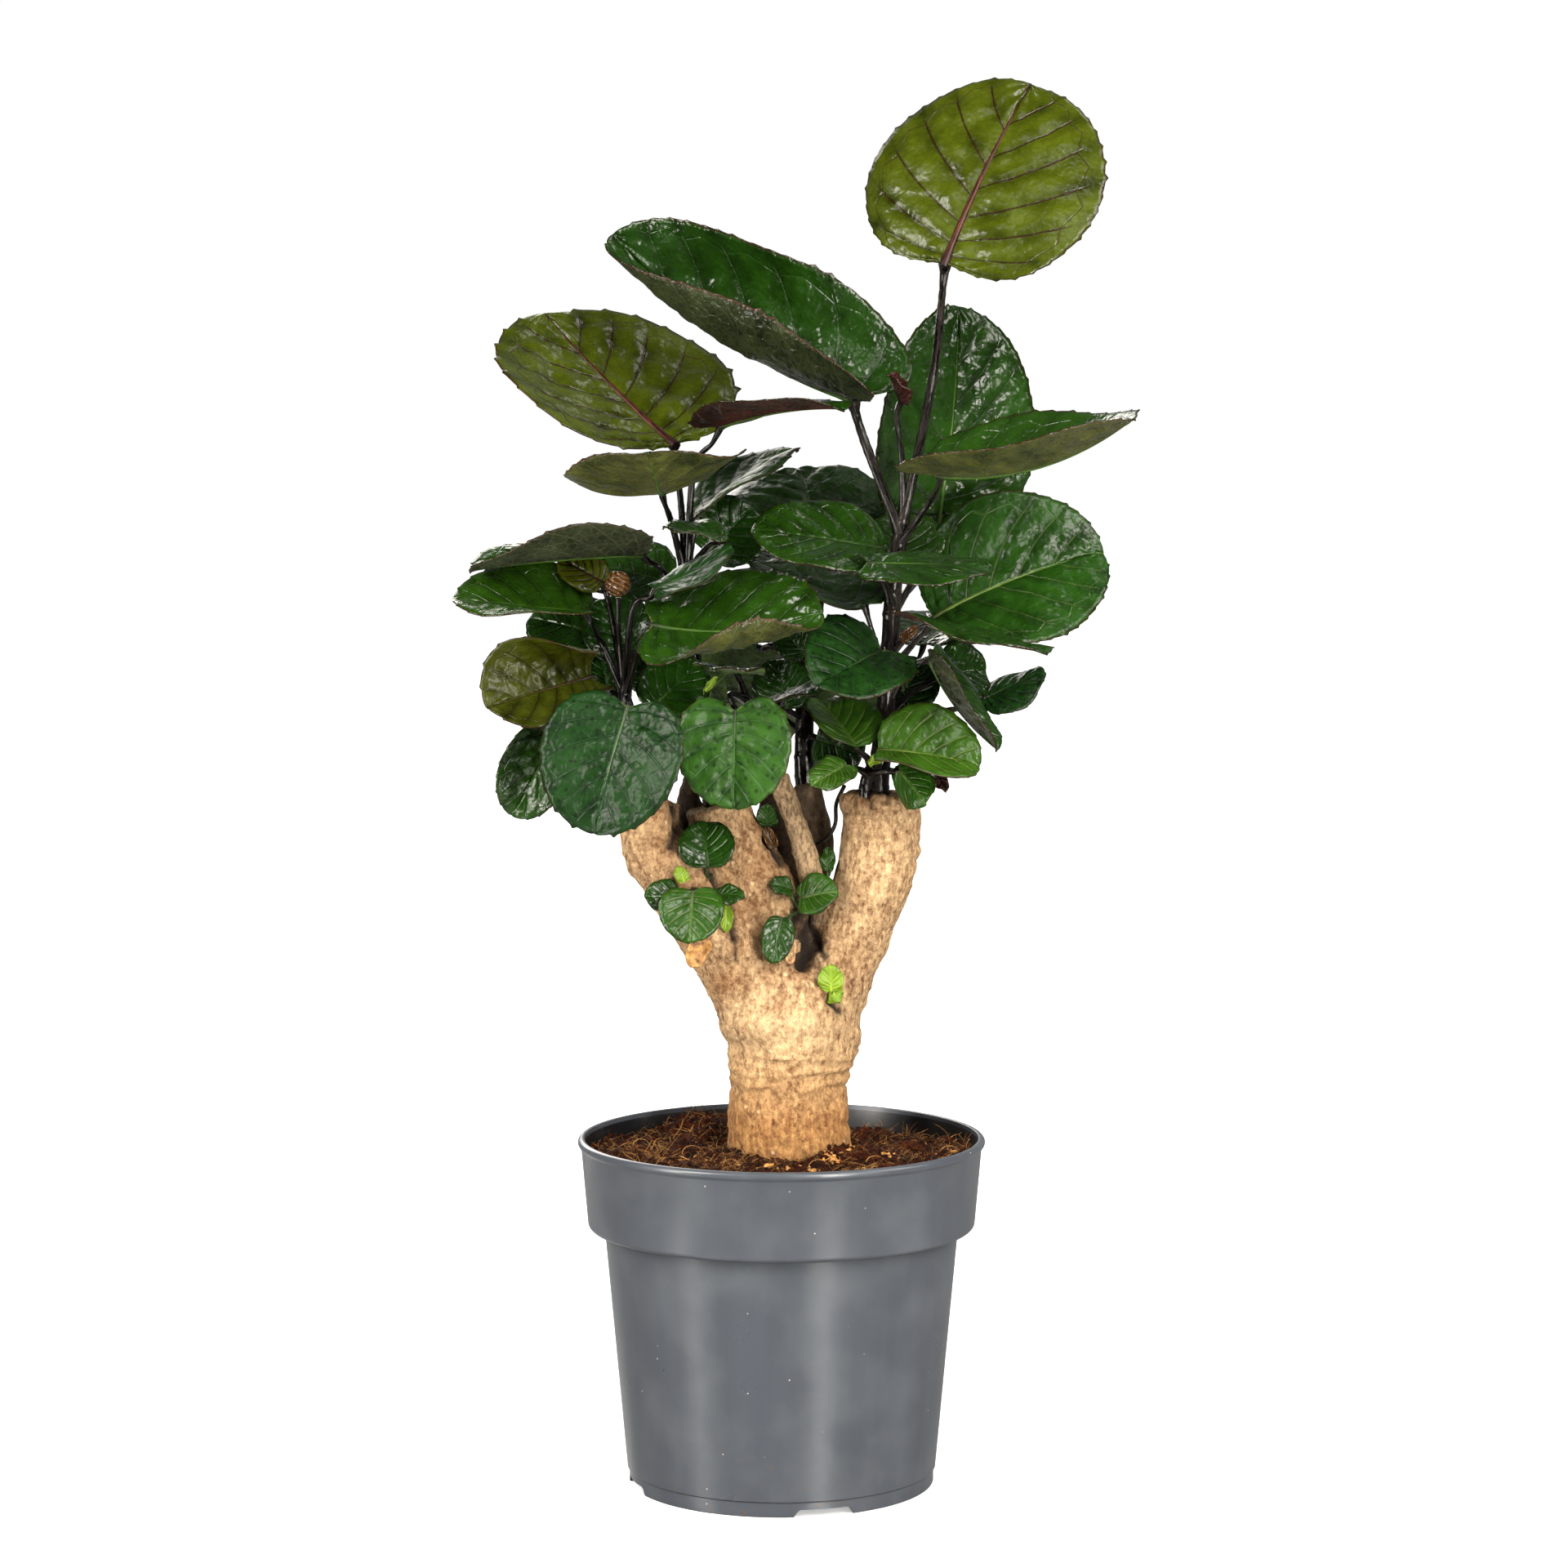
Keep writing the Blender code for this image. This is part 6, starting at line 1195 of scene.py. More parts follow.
def husk_flakes():
    draw = random.Random(5)
    verts = []
    faces = []
    grain = []
    for column, row, depth, spread, count, tone in HUSK_SPOTS:
        middle = seen(column, row, depth)
        for _ in range(count):
            x = middle.x + draw.gauss(0.0, spread * 0.4) * MM
            y = middle.y + draw.gauss(0.0, spread * 0.4) * MM
            z = peat_top(x, y) + 0.0009
            size = draw.uniform(0.0009, 0.0022)
            tilt = Vector((
                draw.uniform(-0.7, 0.7), draw.uniform(-1.0, 0.1), draw.uniform(0.3, 1.0)))
            spin = tilt.normalized().to_track_quat("Z", "Y")
            start = len(verts)
            sides = 7
            shade = tone + draw.uniform(-0.12, 0.06)
            rim = [draw.uniform(0.6, 1.15) for _ in range(sides)]
            for level in (-0.14, 0.14):
                for k in range(sides):
                    a = 2.0 * math.pi * k / sides
                    lift = level + 0.22 * math.sin(2.0 * a)
                    p = Vector((rim[k] * math.cos(a), 0.65 * rim[k] * math.sin(a), lift))
                    verts.append(spin @ p * size + Vector((x, y, z)))
                    grain.append((k / sides, size, shade))
            for k in range(sides):
                n = (k + 1) % sides
                faces.append((start + k, start + n, start + sides + n, start + sides + k))
            faces.append(tuple(start + k for k in reversed(range(sides))))
            faces.append(tuple(start + sides + k for k in range(sides)))
    return body("husk_flakes", (verts, faces, grain), COIR)


stand_for(peat_bed(), "coco_peat_soil", "soil")
stand_for(peat_crumbs(), "coco_peat_soil")
stand_for(coir_threads(), "coco_peat_soil")
stand_for(husk_flakes(), "coco_peat_soil")

# Clefts and hollows of the wood in the front view, sunk into it and painted dark as shade:
# from column, row to column, row, half width in mm and depth in mm
CLEFTS = [
    (826, 965, 834, 1008, 3.4, 4.0), (834, 1008, 822, 1036, 3.0, 2.5),
    (868, 1066, 884, 1102, 1.6, 2.6), (893, 1098, 899, 1150, 2.2, 3.6),
    (899, 1150, 900, 1176, 1.2, 2.0), (976, 1118, 982, 1182, 2.6, 5.0),
    (992, 1118, 996, 1152, 4.2, 5.5), (996, 1152, 1010, 1172, 1.8, 2.5),
    (966, 1182, 990, 1186, 1.2, 1.6), (989, 1104, 986, 1178, 4.8, 5.5),
    (1016, 1224, 1028, 1238, 2.4, 3.0), (1000, 1180, 1020, 1218, 1.3, 1.0),
    (1062, 966, 1067, 990, 1.5, 1.8), (1085, 964, 1087, 984, 1.2, 1.5),
    (1052, 996, 1066, 999, 1.0, 0.8), (940, 1028, 958, 1056, 3.0, 3.0),
]
# Wood deep in the forks, behind the limbs, painted dark as shade: column, row, depth and
# radius in mm
SHADED_FORKS = [
    [(900, 1150, 2, 7), (862, 1080, 10, 9), (850, 1030, 18, 9), (842, 985, 22, 8),
        (846, 950, 20, 4)],
    [(970, 1180, 2, 7), (956, 1110, 12, 9), (948, 1050, 22, 9), (944, 1000, 27, 8.5),
        (948, 958, 28, 4)],
    [(984, 1170, 4, 7), (984, 1100, 14, 9), (984, 1040, 25, 8), (984, 985, 31, 8),
        (986, 950, 32, 4)],
]
# Stained patches of the bark, partly real stains and partly painted shade in the forks between
# the limbs: column, row, spread in mm, strength
STAINS_AND_SHADE = [
    (888, 1202, 13.0, 1.0), (957, 1232, 7.0, 0.9), (906, 1160, 8.0, 0.8), (1012, 1215, 9.0, 0.7),
    (940, 1196, 7.0, 0.7), (1046, 1180, 9.0, 0.5), (800, 1080, 10.0, 0.6), (1120, 1090, 8.0, 0.4),
    (860, 1110, 12.0, 0.8), (985, 1190, 8.0, 0.9), (925, 1110, 14.0, 0.8), (880, 1330, 6.0, 0.4),
    (825, 1040, 14.0, 0.7), (900, 1070, 16.0, 0.7), (850, 1160, 12.0, 0.7),
    (1050, 1000, 10.0, 0.3), (1010, 1140, 10.0, 0.5), (812, 1040, 16.0, 0.9),
    (806, 1000, 12.0, 0.8), (846, 1100, 16.0, 0.9), (1062, 980, 8.0, 0.8), (1092, 976, 7.0, 0.7),
    (932, 1060, 18.0, 1.0), (905, 1110, 16.0, 1.0), (934, 1140, 15.0, 0.8), (940, 1010, 14.0, 1.0),
]
# Pale patches where the front of the trunk is most lit, painted highlight: column, row, spread in
# mm, strength
PALE_HIGHLIGHTS = [
    (968, 1262, 22.0, 1.0), (940, 1225, 12.0, 0.7), (1000, 1300, 16.0, 0.8),
    (1076, 1065, 16.0, 0.7), (1108, 1160, 12.0, 0.5), (925, 1318, 12.0, 0.6),
    (905, 1150, 8.0, 0.4),
]
# Rings that wrinkle round the foot: height in mm, rise in mm, spread in mm, tilt
WRINKLES = [
    (257.0, 1.4, 1.5, 0.02), (252.6, 1.1, 1.3, 0.03), (248.2, 1.4, 1.5, 0.00),
    (240.0, 1.4, 1.6, 0.05), (237.2, -1.6, 0.9, 0.05), (262.0, 0.5, 1.8, 0.04),
    (222.0, 0.6, 2.4, 0.16), (212.0, 0.5, 3.0, -0.10),
]
# Swellings and scars on the front: column, row, radius in mm, rise in mm
KNOTS = [
    (1124, 1043, 4.0, 1.4), (1066, 1173, 3.4, 0.9), (1060, 1022, 4.5, 0.9), (1030, 1362, 6.0, 1.6),
    (1018, 1376, 7.0, 1.2), (926, 1366, 3.0, 0.8), (936, 1362, 2.2, 0.8), (880, 1196, 8.0, 1.4),
    (955, 1232, 7.0, 1.0), (905, 1215, 5.0, 1.0), (796, 1110, 4.0, 1.2), (1052, 1270, 5.0, 1.0),
    (1056, 984, 4.0, 1.2), (1098, 982, 3.5, 1.0), (1042, 1004, 4.0, 1.4), (870, 1262, 4.0, 0.9),
    (1084, 1130, 4.0, 0.8), (832, 1186, 4.0, 1.0), (1096, 1003, 5.0, 1.0),
]


def limb_lines():
    """Every limb as points of (position, radius), as the solid's limbs run."""
    lines = []
    for name, rows in LIMBS.items():
        points = as_path(rows)
        if name == "foot":
            ground = seen(967, 1405, 0)
            points = [
                (Vector((TRUNK_X, 0.0, HOLE_FLOOR - 0.004)), 0.0345),
                (Vector((TRUNK_X, 0.0, HOLE_FLOOR + 0.020)), 0.0350),
            ] + points
            points[2] = (Vector((TRUNK_X, 0.0, ground.z - 0.018)), 0.0352)
        lines.append((name, curve_points(points, 0.005)))
    return lines + [("fork", curve_points(as_path(rows), 0.005)) for rows in SHADED_FORKS]


def near_line(column, row, line):
    """Distance in mm of a place of the front view from a line in it."""
    ax, ay, bx, by = line
    span = max((bx - ax) ** 2 + (by - ay) ** 2, 1e-9)
    t = min(max(((column - ax) * (bx - ax) + (row - ay) * (by - ay)) / span, 0.0), 1.0)
    gap = math.hypot(column - ax - t * (bx - ax), row - ay - t * (by - ay))
    return gap / VIEW_UNITS_PER_MM


def grow_trunk():
    """Limbs drawn as thick curves, run together, rounded over, then wrinkled and cleft."""
    limbs = limb_lines()
    data = bpy.data.curves.new("limbs", "CURVE")
    data.dimensions = "3D"
    data.bevel_depth = MM
    data.bevel_resolution = 6
    data.use_fill_caps = True
    for _, points in limbs:
        spline = data.splines.new("POLY")
        spline.points.add(len(points) - 1)
        for point, (place, radius) in zip(spline.points, points):
            point.co = (*place, 1.0)
            point.radius = radius / MM
    trunk = bpy.data.objects.new("trunk_bark", data)
    link(trunk)
    only(trunk)
    bpy.ops.object.convert(target="MESH")
    trunk = bpy.context.object
    modify(trunk, "REMESH", mode="VOXEL", voxel_size=WOOD_GRID)
    modify(trunk, "SMOOTH", factor=0.5, iterations=24)
    mesh = trunk.data
    normals = [v.normal.copy() for v in mesh.vertices]
    # The cane is marked grey; the back limb and the fork fillers get painted shade, fading out
    # between rows 1040 and 1120. Both marks are weaker on faces turned to the back.
    cane, dark, forks = (
        [p for name, points in limbs if name == kind for p in points[first:]]
        for kind, first in (("cane", 4), ("dark_back", 14), ("fork", 1)))
    grey_and_shade = (("grey", cane, 1.35, 0.85), ("shade", dark, 1.4, 0.8), ("shade", forks, 1.15, 0.9))
    marks = {key: [] for key in BARK_MARKS}
    for vert, normal in zip(mesh.vertices, normals):
        at = vert.co.copy()
        column, row = place_in_view(at)
        front = step(0.35, -0.15, normal.y)
        rise = 0.0011 * noise.noise(at * 48.0) + 0.0007 * noise.noise(at * 110.0)
        tall = Vector((at.x, at.y, at.z * 0.28))
        rise += 0.00055 * noise.noise(tall * 330.0) + 0.00030 * noise.noise(tall * 640.0)
        wart = noise.voronoi(at * 95.0)[0][0]
        rise += 0.00075 * step(0.28, 0.08, wart)
        heading = math.atan2(at.y, at.x - TRUNK_X)
        if at.z < 0.275:
            for height, lift, spread, tilt in WRINKLES:
                level = height + 22.0 * tilt * math.cos(heading + 0.6)
                level += 1.6 * math.sin(2.0 * heading + height)
                level += 1.3 * noise.noise(at * 70.0)
                off = (at.z / MM - level) / spread
                if abs(off) < 3.0:
                    patchy = step(-0.45, 0.15, noise.noise(Vector((heading * 1.3, height, 0.0))))
                    rise += lift * MM * math.exp(-off * off) * (0.35 + 0.65 * patchy)
        # Clefts are sunk into the wood, and their mark is painted shade
        cleft_shade = 0.0
        if front > 0.0:
            for ax, ay, bx, by, wide, deep in CLEFTS:
                if abs(column - (ax + bx) / 2.0) > 60.0 or abs(row - (ay + by) / 2.0) > 80.0:
                    continue
                wander = 3.0 * noise.noise(at * 160.0)
                gap = near_line(column + wander, row, (ax, ay, bx, by))
                pull = math.exp(-(gap / wide) ** 2)
                rise -= deep * MM * pull * front
                cleft_shade = max(cleft_shade, pull * front * min(1.0, deep / 2.6))
            for kx, ky, wide, lift in KNOTS:
                gap = math.hypot(column - kx, row - ky) / VIEW_UNITS_PER_MM
                if gap < wide * 2.0:
                    rise += lift * MM * math.exp(-((gap / wide) ** 4)) * front
                    rise -= 0.4 * lift * MM * math.exp(-((gap - wide * 1.25) / 0.8) ** 2) * front
        found = {"grey": 0.0, "shade": 0.0}
        for kind, points, wide, amount in grey_and_shade:
            for place, radius in points:
                if (at - place).length < radius * wide + 0.001:
                    shade_fade = step(1120.0, 1040.0, row) if kind == "shade" else 1.0
                    shown = amount * shade_fade * (0.35 + 0.65 * step(0.6, 0.0, normal.y))
                    found[kind] = max(found[kind], shown)
                    break
        if found["grey"]:
            found["shade"] = 0.0
        # Painted highlight on the lit front from the pale patches; stains, partly painted shade in
        # the forks
        for kind, spots in (("pale_highlight", PALE_HIGHLIGHTS), ("stain_and_shade", STAINS_AND_SHADE)):
            found[kind] = 0.0
            for kx, ky, wide, amount in spots:
                gap = math.hypot(column - kx, row - ky) / VIEW_UNITS_PER_MM / wide
                if gap < 2.5:
                    found[kind] = max(found[kind], amount * front * math.exp(-gap * gap))
        vert.co = at + normal * rise
        # Painted shade under the limbs: faces that look down add to the cleft mark
        under = step(0.0, -0.9, normal.z) * 0.15
        found["cleft_shade"] = min(1.0, cleft_shade ** 0.8 + under * step(0.3, 0.6, at.z))
        for key, value in found.items():
            marks[key].append(value)
    put_marks(mesh, **marks)
    mesh.materials.clear()
    mesh.materials.append(BARK)
    only(trunk)
    bpy.ops.object.shade_smooth()
    return trunk


trunk = grow_trunk()
stand_for(trunk, "tan_bark", "trunk")


# Small leaves in the shade behind the front ones, in the same form as the leaves above; their
# low tissue tone of 0.16 is painted shade
SMALL_LEAF = LEAF | dict(
    fold=(6, 6), curl=(14, 14), arch=10, sinus=0.08, look=(1.0, 0.16, "green", 10.0))


def shaded(*values, **more):
    """A small leaf from a row with the same columns, without the petiole's bend."""
    columns = LEAF_COLUMNS[:2] + LEAF_COLUMNS[3:8]
    return SMALL_LEAF | dict(zip(columns, values)) | more


DEEP_LEAVES = {
    "deep_cane": shaded("back", 900, (1000, 904, 26), (1056, 926), 30, 38, (0, -1, 0.3)),
    "deep_fork": shaded("middle", 720, (866, 676, 30), (922, 622), 40, 50, (0.1, -1, 0.5)),
    "deep_left": shaded("left", 842, (774, 802, 18), (736, 734), 40, 44, (0, -1, 0.5)),
    "deep_low": shaded("left", 890, (746, 852, 20), (732, 792), 31, 34, (0, -1, 0.4)),
    "deep_inner": shaded("left", 882, (770, 840, 16), (799, 800), 26, 30, (0, -1, 0.4)),
    "deep_right": shaded("right", 890, (1106, 864, 18), (1124, 806), 30, 36, (0, -1, 0.4)),
    "deep_middle": shaded("back", 880, (964, 868, 24), (950, 808), 32, 36, (0, -1, 0.3)),
    "deep_centre": shaded("back", 810, (986, 802, 28), (955, 770), 24, 24, (0, -1, 0.4)),
    "deep_high": shaded("right", 710, (1106, 692, 22), (1110, 628), 34, 48, (0, -1, 0.4),
        look=(1, 0.5, "green", 10)),
    "deep_olive": shaded("left", 850, (738, 714, 12), (686, 684), 30, 26, (0, -1, 0.6),
        mat="young", look=(1, 0.55, "olive", 10)),
    "dried_curl": shaded("right", 800, (1104, 784, -14), (1124, 768), 12, 8, (0.2, -0.9, 0.4),
        far=False, mat="brown", fold=(20, 20), curl=(60, 60), petiole=0.0006,
        look=(0.5, 0.6, "maroon", 6, 0.5)),
    "brown_chip": shaded("right", 940, (1146, 950, -12), (1159, 968), 12, 8, (0.2, -0.9, 0.4),
        far=False, mat="red", petiole=0.0006, look=(0.4, 0.3, "maroon", 5, 0.3)),
    "yellow_bud": shaded("low_right", 940, (1064, 935, -30), (1083, 925), 10, 6, (0, -0.8, 0.6),
        far=False, mat="lime", petiole=0.0006, look=(0.2, 0.35, "green", 5, 0.2)),
    "lime_sliver": shaded("middle", 850, (864, 846, -16), (878, 829), 11, 4, (0, -0.9, 0.4),
        far=False, mat="lime", petiole=0.0006, look=(0.2, 0.3, "green", 5, 0.2)),
}


def blade_chord(leaf):
    arch = math.radians(leaf["arch"]) or 0.001
    return leaf["length"] * MM * math.sin(arch / 2.0) / (arch / 2.0)


def blade_frame(leaf):
    """Base of a blade, its side and long ways, and the way that its upper face looks."""
    base = seen(*leaf["base"])
    tip = reach(base, *leaf["tip"], blade_chord(leaf), leaf["far"])
    along = (tip - base).normalized()
    up = Vector(leaf["face"])
    up = (up - along * up.dot(along)).normalized()
    return base, along.cross(up), along, up


def vein_phase(u, t, side):
    """Whole numbers along the side veins, which sweep forward as they leave the midrib."""
    back = (u - 0.34 * t * t * u * (1.0 - u)) * (1.0 - 0.05 * side * math.sin(math.pi * u))
    for k in range(len(VEIN_ROWS) - 1):
        low = VEIN_ROWS[k]
        high = VEIN_ROWS[k + 1]
        if back <= high or k == len(VEIN_ROWS) - 2:
            return k + (back - low) / (high - low)


def margin_line(leaf, rows, tooth_gap):
    """Margin points in the flat blade, with the outward shift of scallops and teeth."""
    length = leaf["length"] * MM
    width = leaf["width"] * MM
    lobe = leaf["sinus"] * length
    centre = (length - lobe) / 2.0
    half = (length + lobe) / 2.0
    cut = 1.0 - centre / half
    line = []
    run = 0.0
    for i in range(rows + 1):
        u = i / rows
        phi = math.pi * (1.0 - u)
        pull = 1.0 - cut * math.exp(-(((math.pi - phi) / SINUS_WIDTH) ** 2))
        x = width / 2.0 * math.sin(phi) * pull * (1.0 - EGG * math.cos(phi))
        y = centre + half * math.cos(phi) * pull if i else 0.0
        if line:
            run += math.hypot(x - line[-1][0], y - line[-1][1])
        line.append((x, y, run))
    total = line[-1][2]
    teeth = max(4, round(total / (tooth_gap * MM)))
    size = min(1.0, total / 0.12)
    out = []
    for i, (x, y, run) in enumerate(line):
        phase = run / total * teeth
        part = phase - math.floor(phase)
        shift = size * (0.00050 * math.sin(math.pi * part) + 0.00021 * tooth_gap * part ** 6)
        shift *= step(0.0, 0.06, i / rows) * step(1.0, 0.97, i / rows)
        away = Vector((x, y - centre)).normalized()
        out.append((x, y, away.x * shift, away.y * shift))
    return out


def blade_point(leaf, x, y, side, t, u, lift):
    """Place in the blade's frame of a flat point (x, y) on one half, raised by a lift."""
    length = leaf["length"] * MM
    width = leaf["width"] * MM
    arch = math.radians(leaf["arch"]) or 0.001
    bend = arch / length
    ahead = min(max(y / length, 0.0), 1.0)
    fold = math.radians(leaf["fold"][side])
    curl = math.radians(leaf["curl"][side]) / (width / 2.0)
    curl = curl * (1.0 + leaf["close"] * (2.0 * ahead - 1.0)) or 0.001
    lean_out = fold + curl * x
    across = (math.sin(lean_out) - math.sin(fold)) / curl
    high = (math.cos(fold) - math.cos(lean_out)) / curl
    high += WAVE * t * t * math.sin(2.0 * math.pi * WAVES * u + 2.0 * side)
    across -= lift * math.sin(lean_out)
    high += lift * math.cos(lean_out)
    turn = math.radians(leaf["twist"]) * ahead
    across = across if side else -across
    across, high = (
        across * math.cos(turn) - high * math.sin(turn),
        across * math.sin(turn) + high * math.cos(turn),
    )
    lean = arch / 2.0 - bend * max(y, 0.0)
    run = (math.sin(arch / 2.0) - math.sin(lean)) / bend
    rise = (math.cos(lean) - math.cos(arch / 2.0)) / bend
    if y < 0.0:
        run = y * math.cos(arch / 2.0)
        rise = y * math.sin(arch / 2.0)
    return Vector((across, run - high * math.sin(lean), rise + high * math.cos(lean)))


def grown_blade(name, leaf, rows, columns, look, paint, seed):
    """Blade: a grid drawn out to the leaf's outline, pillowed between veins, then thickened."""
    relief, tone, under, tooth_gap, pucker = (*look, 0.6)[:5]
    length = leaf["length"] * MM
    base, side_way, along, up = blade_frame(leaf)
    edge = margin_line(leaf, rows, tooth_gap)
    deselect()
    bpy.ops.mesh.primitive_grid_add(x_subdivisions=2 * columns, y_subdivisions=rows, size=2.0)
    obj = bpy.context.object
    obj.name = name
    mesh = obj.data
    mesh.name = name
    gap_mm = leaf["length"] * 0.125
    veins = []
    flats = []
    places = []
    for vert in mesh.vertices:
        i = round((vert.co.y + 1.0) / 2.0 * rows)
        j = round(vert.co.x * columns)
        u = i / rows
        side = 0 if j < 0 else 1
        t = (abs(j) / columns) ** 1.22
        ex, ey, sx, sy = edge[i]
        mid_y = length * u ** VEIN_SWEEP
        x = ex * t + sx * t ** 14
        y = mid_y + (ey - mid_y) * t + sy * t ** 14
        phase = vein_phase(u, t, side)
        at = Vector((x * (1 if side else -1), y, seed * 0.37))
        span = step(0.0, 0.16, t) * (1.0 - step(0.68, 0.97, t))
        part = phase - math.floor(phase)
        pillow = 1.75 * part ** 0.5 * (1.0 - part) ** 0.85
        lift = relief * MM * pillow * span * (0.85 + 0.8 * noise.noise(at * 60.0))
        ribs = math.sin(t * (5.0 + leaf["width"] * 0.09) + 2.4 * math.floor(phase) + 3.0 * part)
        lift += relief * MM * 0.26 * ribs * span * math.sin(math.pi * part)
        lift += relief * MM * 0.40 * noise.noise(at * 130.0) * span
        lift += pucker * MM * 1.6 * (0.42 - noise.voronoi(at * 120.0)[0][0]) * span
        lift -= 0.0006 * t ** 12
        p = blade_point(leaf, x, y, side, t, u, lift)
        places.append(base + side_way * p.x + along * p.y + up * p.z)
        veins.append((phase, t, gap_mm))
        flats.append((at.x, at.y, at.z))
    mesh.vertices.foreach_set("co", [c for p in places for c in p])
    put_marks(mesh, vein=veins, blade=flats, tone=[tone] * len(veins))
    mesh.materials.append(SKINS[paint])
    mesh.materials.append(BACKS[under])
    only(obj)
    bpy.ops.object.mode_set(mode="EDIT")
    bpy.ops.mesh.select_all(action="SELECT")
    bpy.ops.mesh.remove_doubles(threshold=1e-6)
    bpy.ops.object.mode_set(mode="OBJECT")
    modify(obj, "SOLIDIFY", thickness=BLADE, offset=0.0, material_offset=1)
    only(obj)
    bpy.ops.object.shade_smooth()
    return obj


def midrib(name, leaf, paint, thick):
    """Rib that carries the blade, raised on both faces and tapering to the tip."""
    base, side_way, along, up = blade_frame(leaf)
    length = leaf["length"] * MM
    points = []
    for k in range(25):
        t = -0.015 + 0.945 * k / 24.0
        p = blade_point(leaf, 0.0, length * t, 1, 0.0, t, -0.0001)
        radius = thick * (1.0 - 0.86 * max(t, 0.0))
        radius *= 1.0 + 0.5 * math.exp(-((t * length / 0.006) ** 2))
        points.append((base + side_way * p.x + along * p.y + up * p.z, radius))
    store = ([], [], [])
    rod(store, points, 8, 0.5)
    rib = body(name, store, RIBS[paint])
    smooth(rib, 60.0)
    return rib


def detail(leaf):
    """Rows and columns of a blade's grid, by its size."""
    for least, grid in ((95, (84, 22)), (60, (60, 16)), (40, (44, 12)), (24, (30, 8))):
        if leaf["length"] >= least:
            return grid
    return 20, 6


def whole_leaf(name, leaf, look, paint, seed):
    rows, columns = detail(leaf)
    blade = grown_blade(name, leaf, rows, columns, look, paint, seed)
    thick = 0.0005 + (0.0150 if paint == "young" else 0.0085) * leaf["length"] * MM
    return [blade, midrib(name + "_rib", leaf, paint, thick)]


LEAF_SLOTS = {
    "young": "young_yellow_green_leaf", "olive": "young_yellow_green_leaf",
    "bloom": "dusty_blue_green_leaf", "red": "curled_brown_young_leaf",
}
for number, (key, leaf) in enumerate(LEAVES.items()):
    node = "leaf_" + key
    name = node + "_blade"
    parts = whole_leaf(name, leaf, leaf["look"], leaf["mat"], number + 1)
    stand_for(together(name, parts), LEAF_SLOTS.get(leaf["mat"], "glossy_dark_green_leaf"), node)
for number, (key, leaf) in enumerate(DEEP_LEAVES.items()):
    name = "leaf_" + key + "_blade"
    parts = whole_leaf(name, leaf, leaf["look"], leaf["mat"], DEEP_SEED + number)
    stand_for(together(name, parts), "glossy_dark_green_leaf")


# Shoots with their leaf stalks
def on_stem(path, row):
    """Point of a stem's axis at a row of the front view."""
    best = None
    for (a, _), (b, _) in zip(path, path[1:]):
        for k in range(9):
            place = a.lerp(b, k / 8)
            drop = abs(place_in_view(place)[1] - row)
            if best is None or drop < best[0]:
                best = (drop, place)
    return best[1]


def petiole_path(start, leaf, root_radius, sink=False):
    """Rounded path from inside the stem to just under the blade's base, or into the blade."""
    base, _, along, up = blade_frame(leaf)
    knots = [start]
    if "via" in leaf:
        knots.append(seen(*leaf["via"]))
    last = (base - knots[-1]).normalized()
    arrive = (last + up * 0.5 + along * 0.3).normalized()
    end = base - up * 0.0004 + along * 0.0006
    if sink:
        end = base + along * 0.0025
    size = (base - start).length
    lead = min(0.30 * (end - knots[-1]).length, 0.012)
    knots.append(end - arrive * lead)
    knots.append(end)
    tip_radius = leaf.get("petiole", PETIOLE_TIP_RADIUS)
    root = min(root_radius, tip_radius + 0.0010 + 0.004 * size)
    points = []
    for k, knot in enumerate(knots):
        t = k / (len(knots) - 1)
        points.append((knot, root + (tip_radius - root) * min(1.0, t * 1.25)))
    return curve_points(points, 0.0028)


def stalk(points, root_flare, tip_flare):
    """The path with a clasping foot and a widened joint under the blade."""
    total = sum((b[0] - a[0]).length for a, b in zip(points, points[1:]))
    run = 0.0
    out = []
    for k, (place, radius) in enumerate(points):
        if k:
            run += (place - points[k - 1][0]).length
        wide = 1.0 + root_flare * math.exp(-((run / 0.0075) ** 2))
        wide += tip_flare * math.exp(-(((total - run) / 0.0050) ** 2))
        wide += 0.05 * math.sin(run * 900.0)
        out.append((place, radius * wide))
    return out


def stem_line(rows, seed):
    """Stem axis as a fine path with leaf scars and nodes on it."""
    path = as_path(rows)
    fine = curve_points(path, 0.0016)
    draw = random.Random(seed)
    scars = []
    run = 0.012
    total = sum((b[0] - a[0]).length for a, b in zip(fine, fine[1:]))
    while run < total:
        scars.append((run, draw.uniform(0.05, 0.13)))
        run += draw.uniform(0.010, 0.024)
    run = 0.0
    out = []
    for k, (place, radius) in enumerate(fine):
        if k:
            run += (place - fine[k - 1][0]).length
        wide = 1.0 + 0.03 * noise.noise(Vector((run * 120.0, seed, 0.0)))
        for at, size in scars:
            wide += size * math.exp(-(((run - at) / 0.0012) ** 2))
        out.append((place, radius * wide))
    return path, out


STEM_TONES = {
    "left": 0.25, "middle": 0.35, "cane": 0.3, "back": 0.25, "right": 0.58, "low_right": 0.2}
SPRAY_TONES = (1.0, 0.9, 0.85, 0.45)
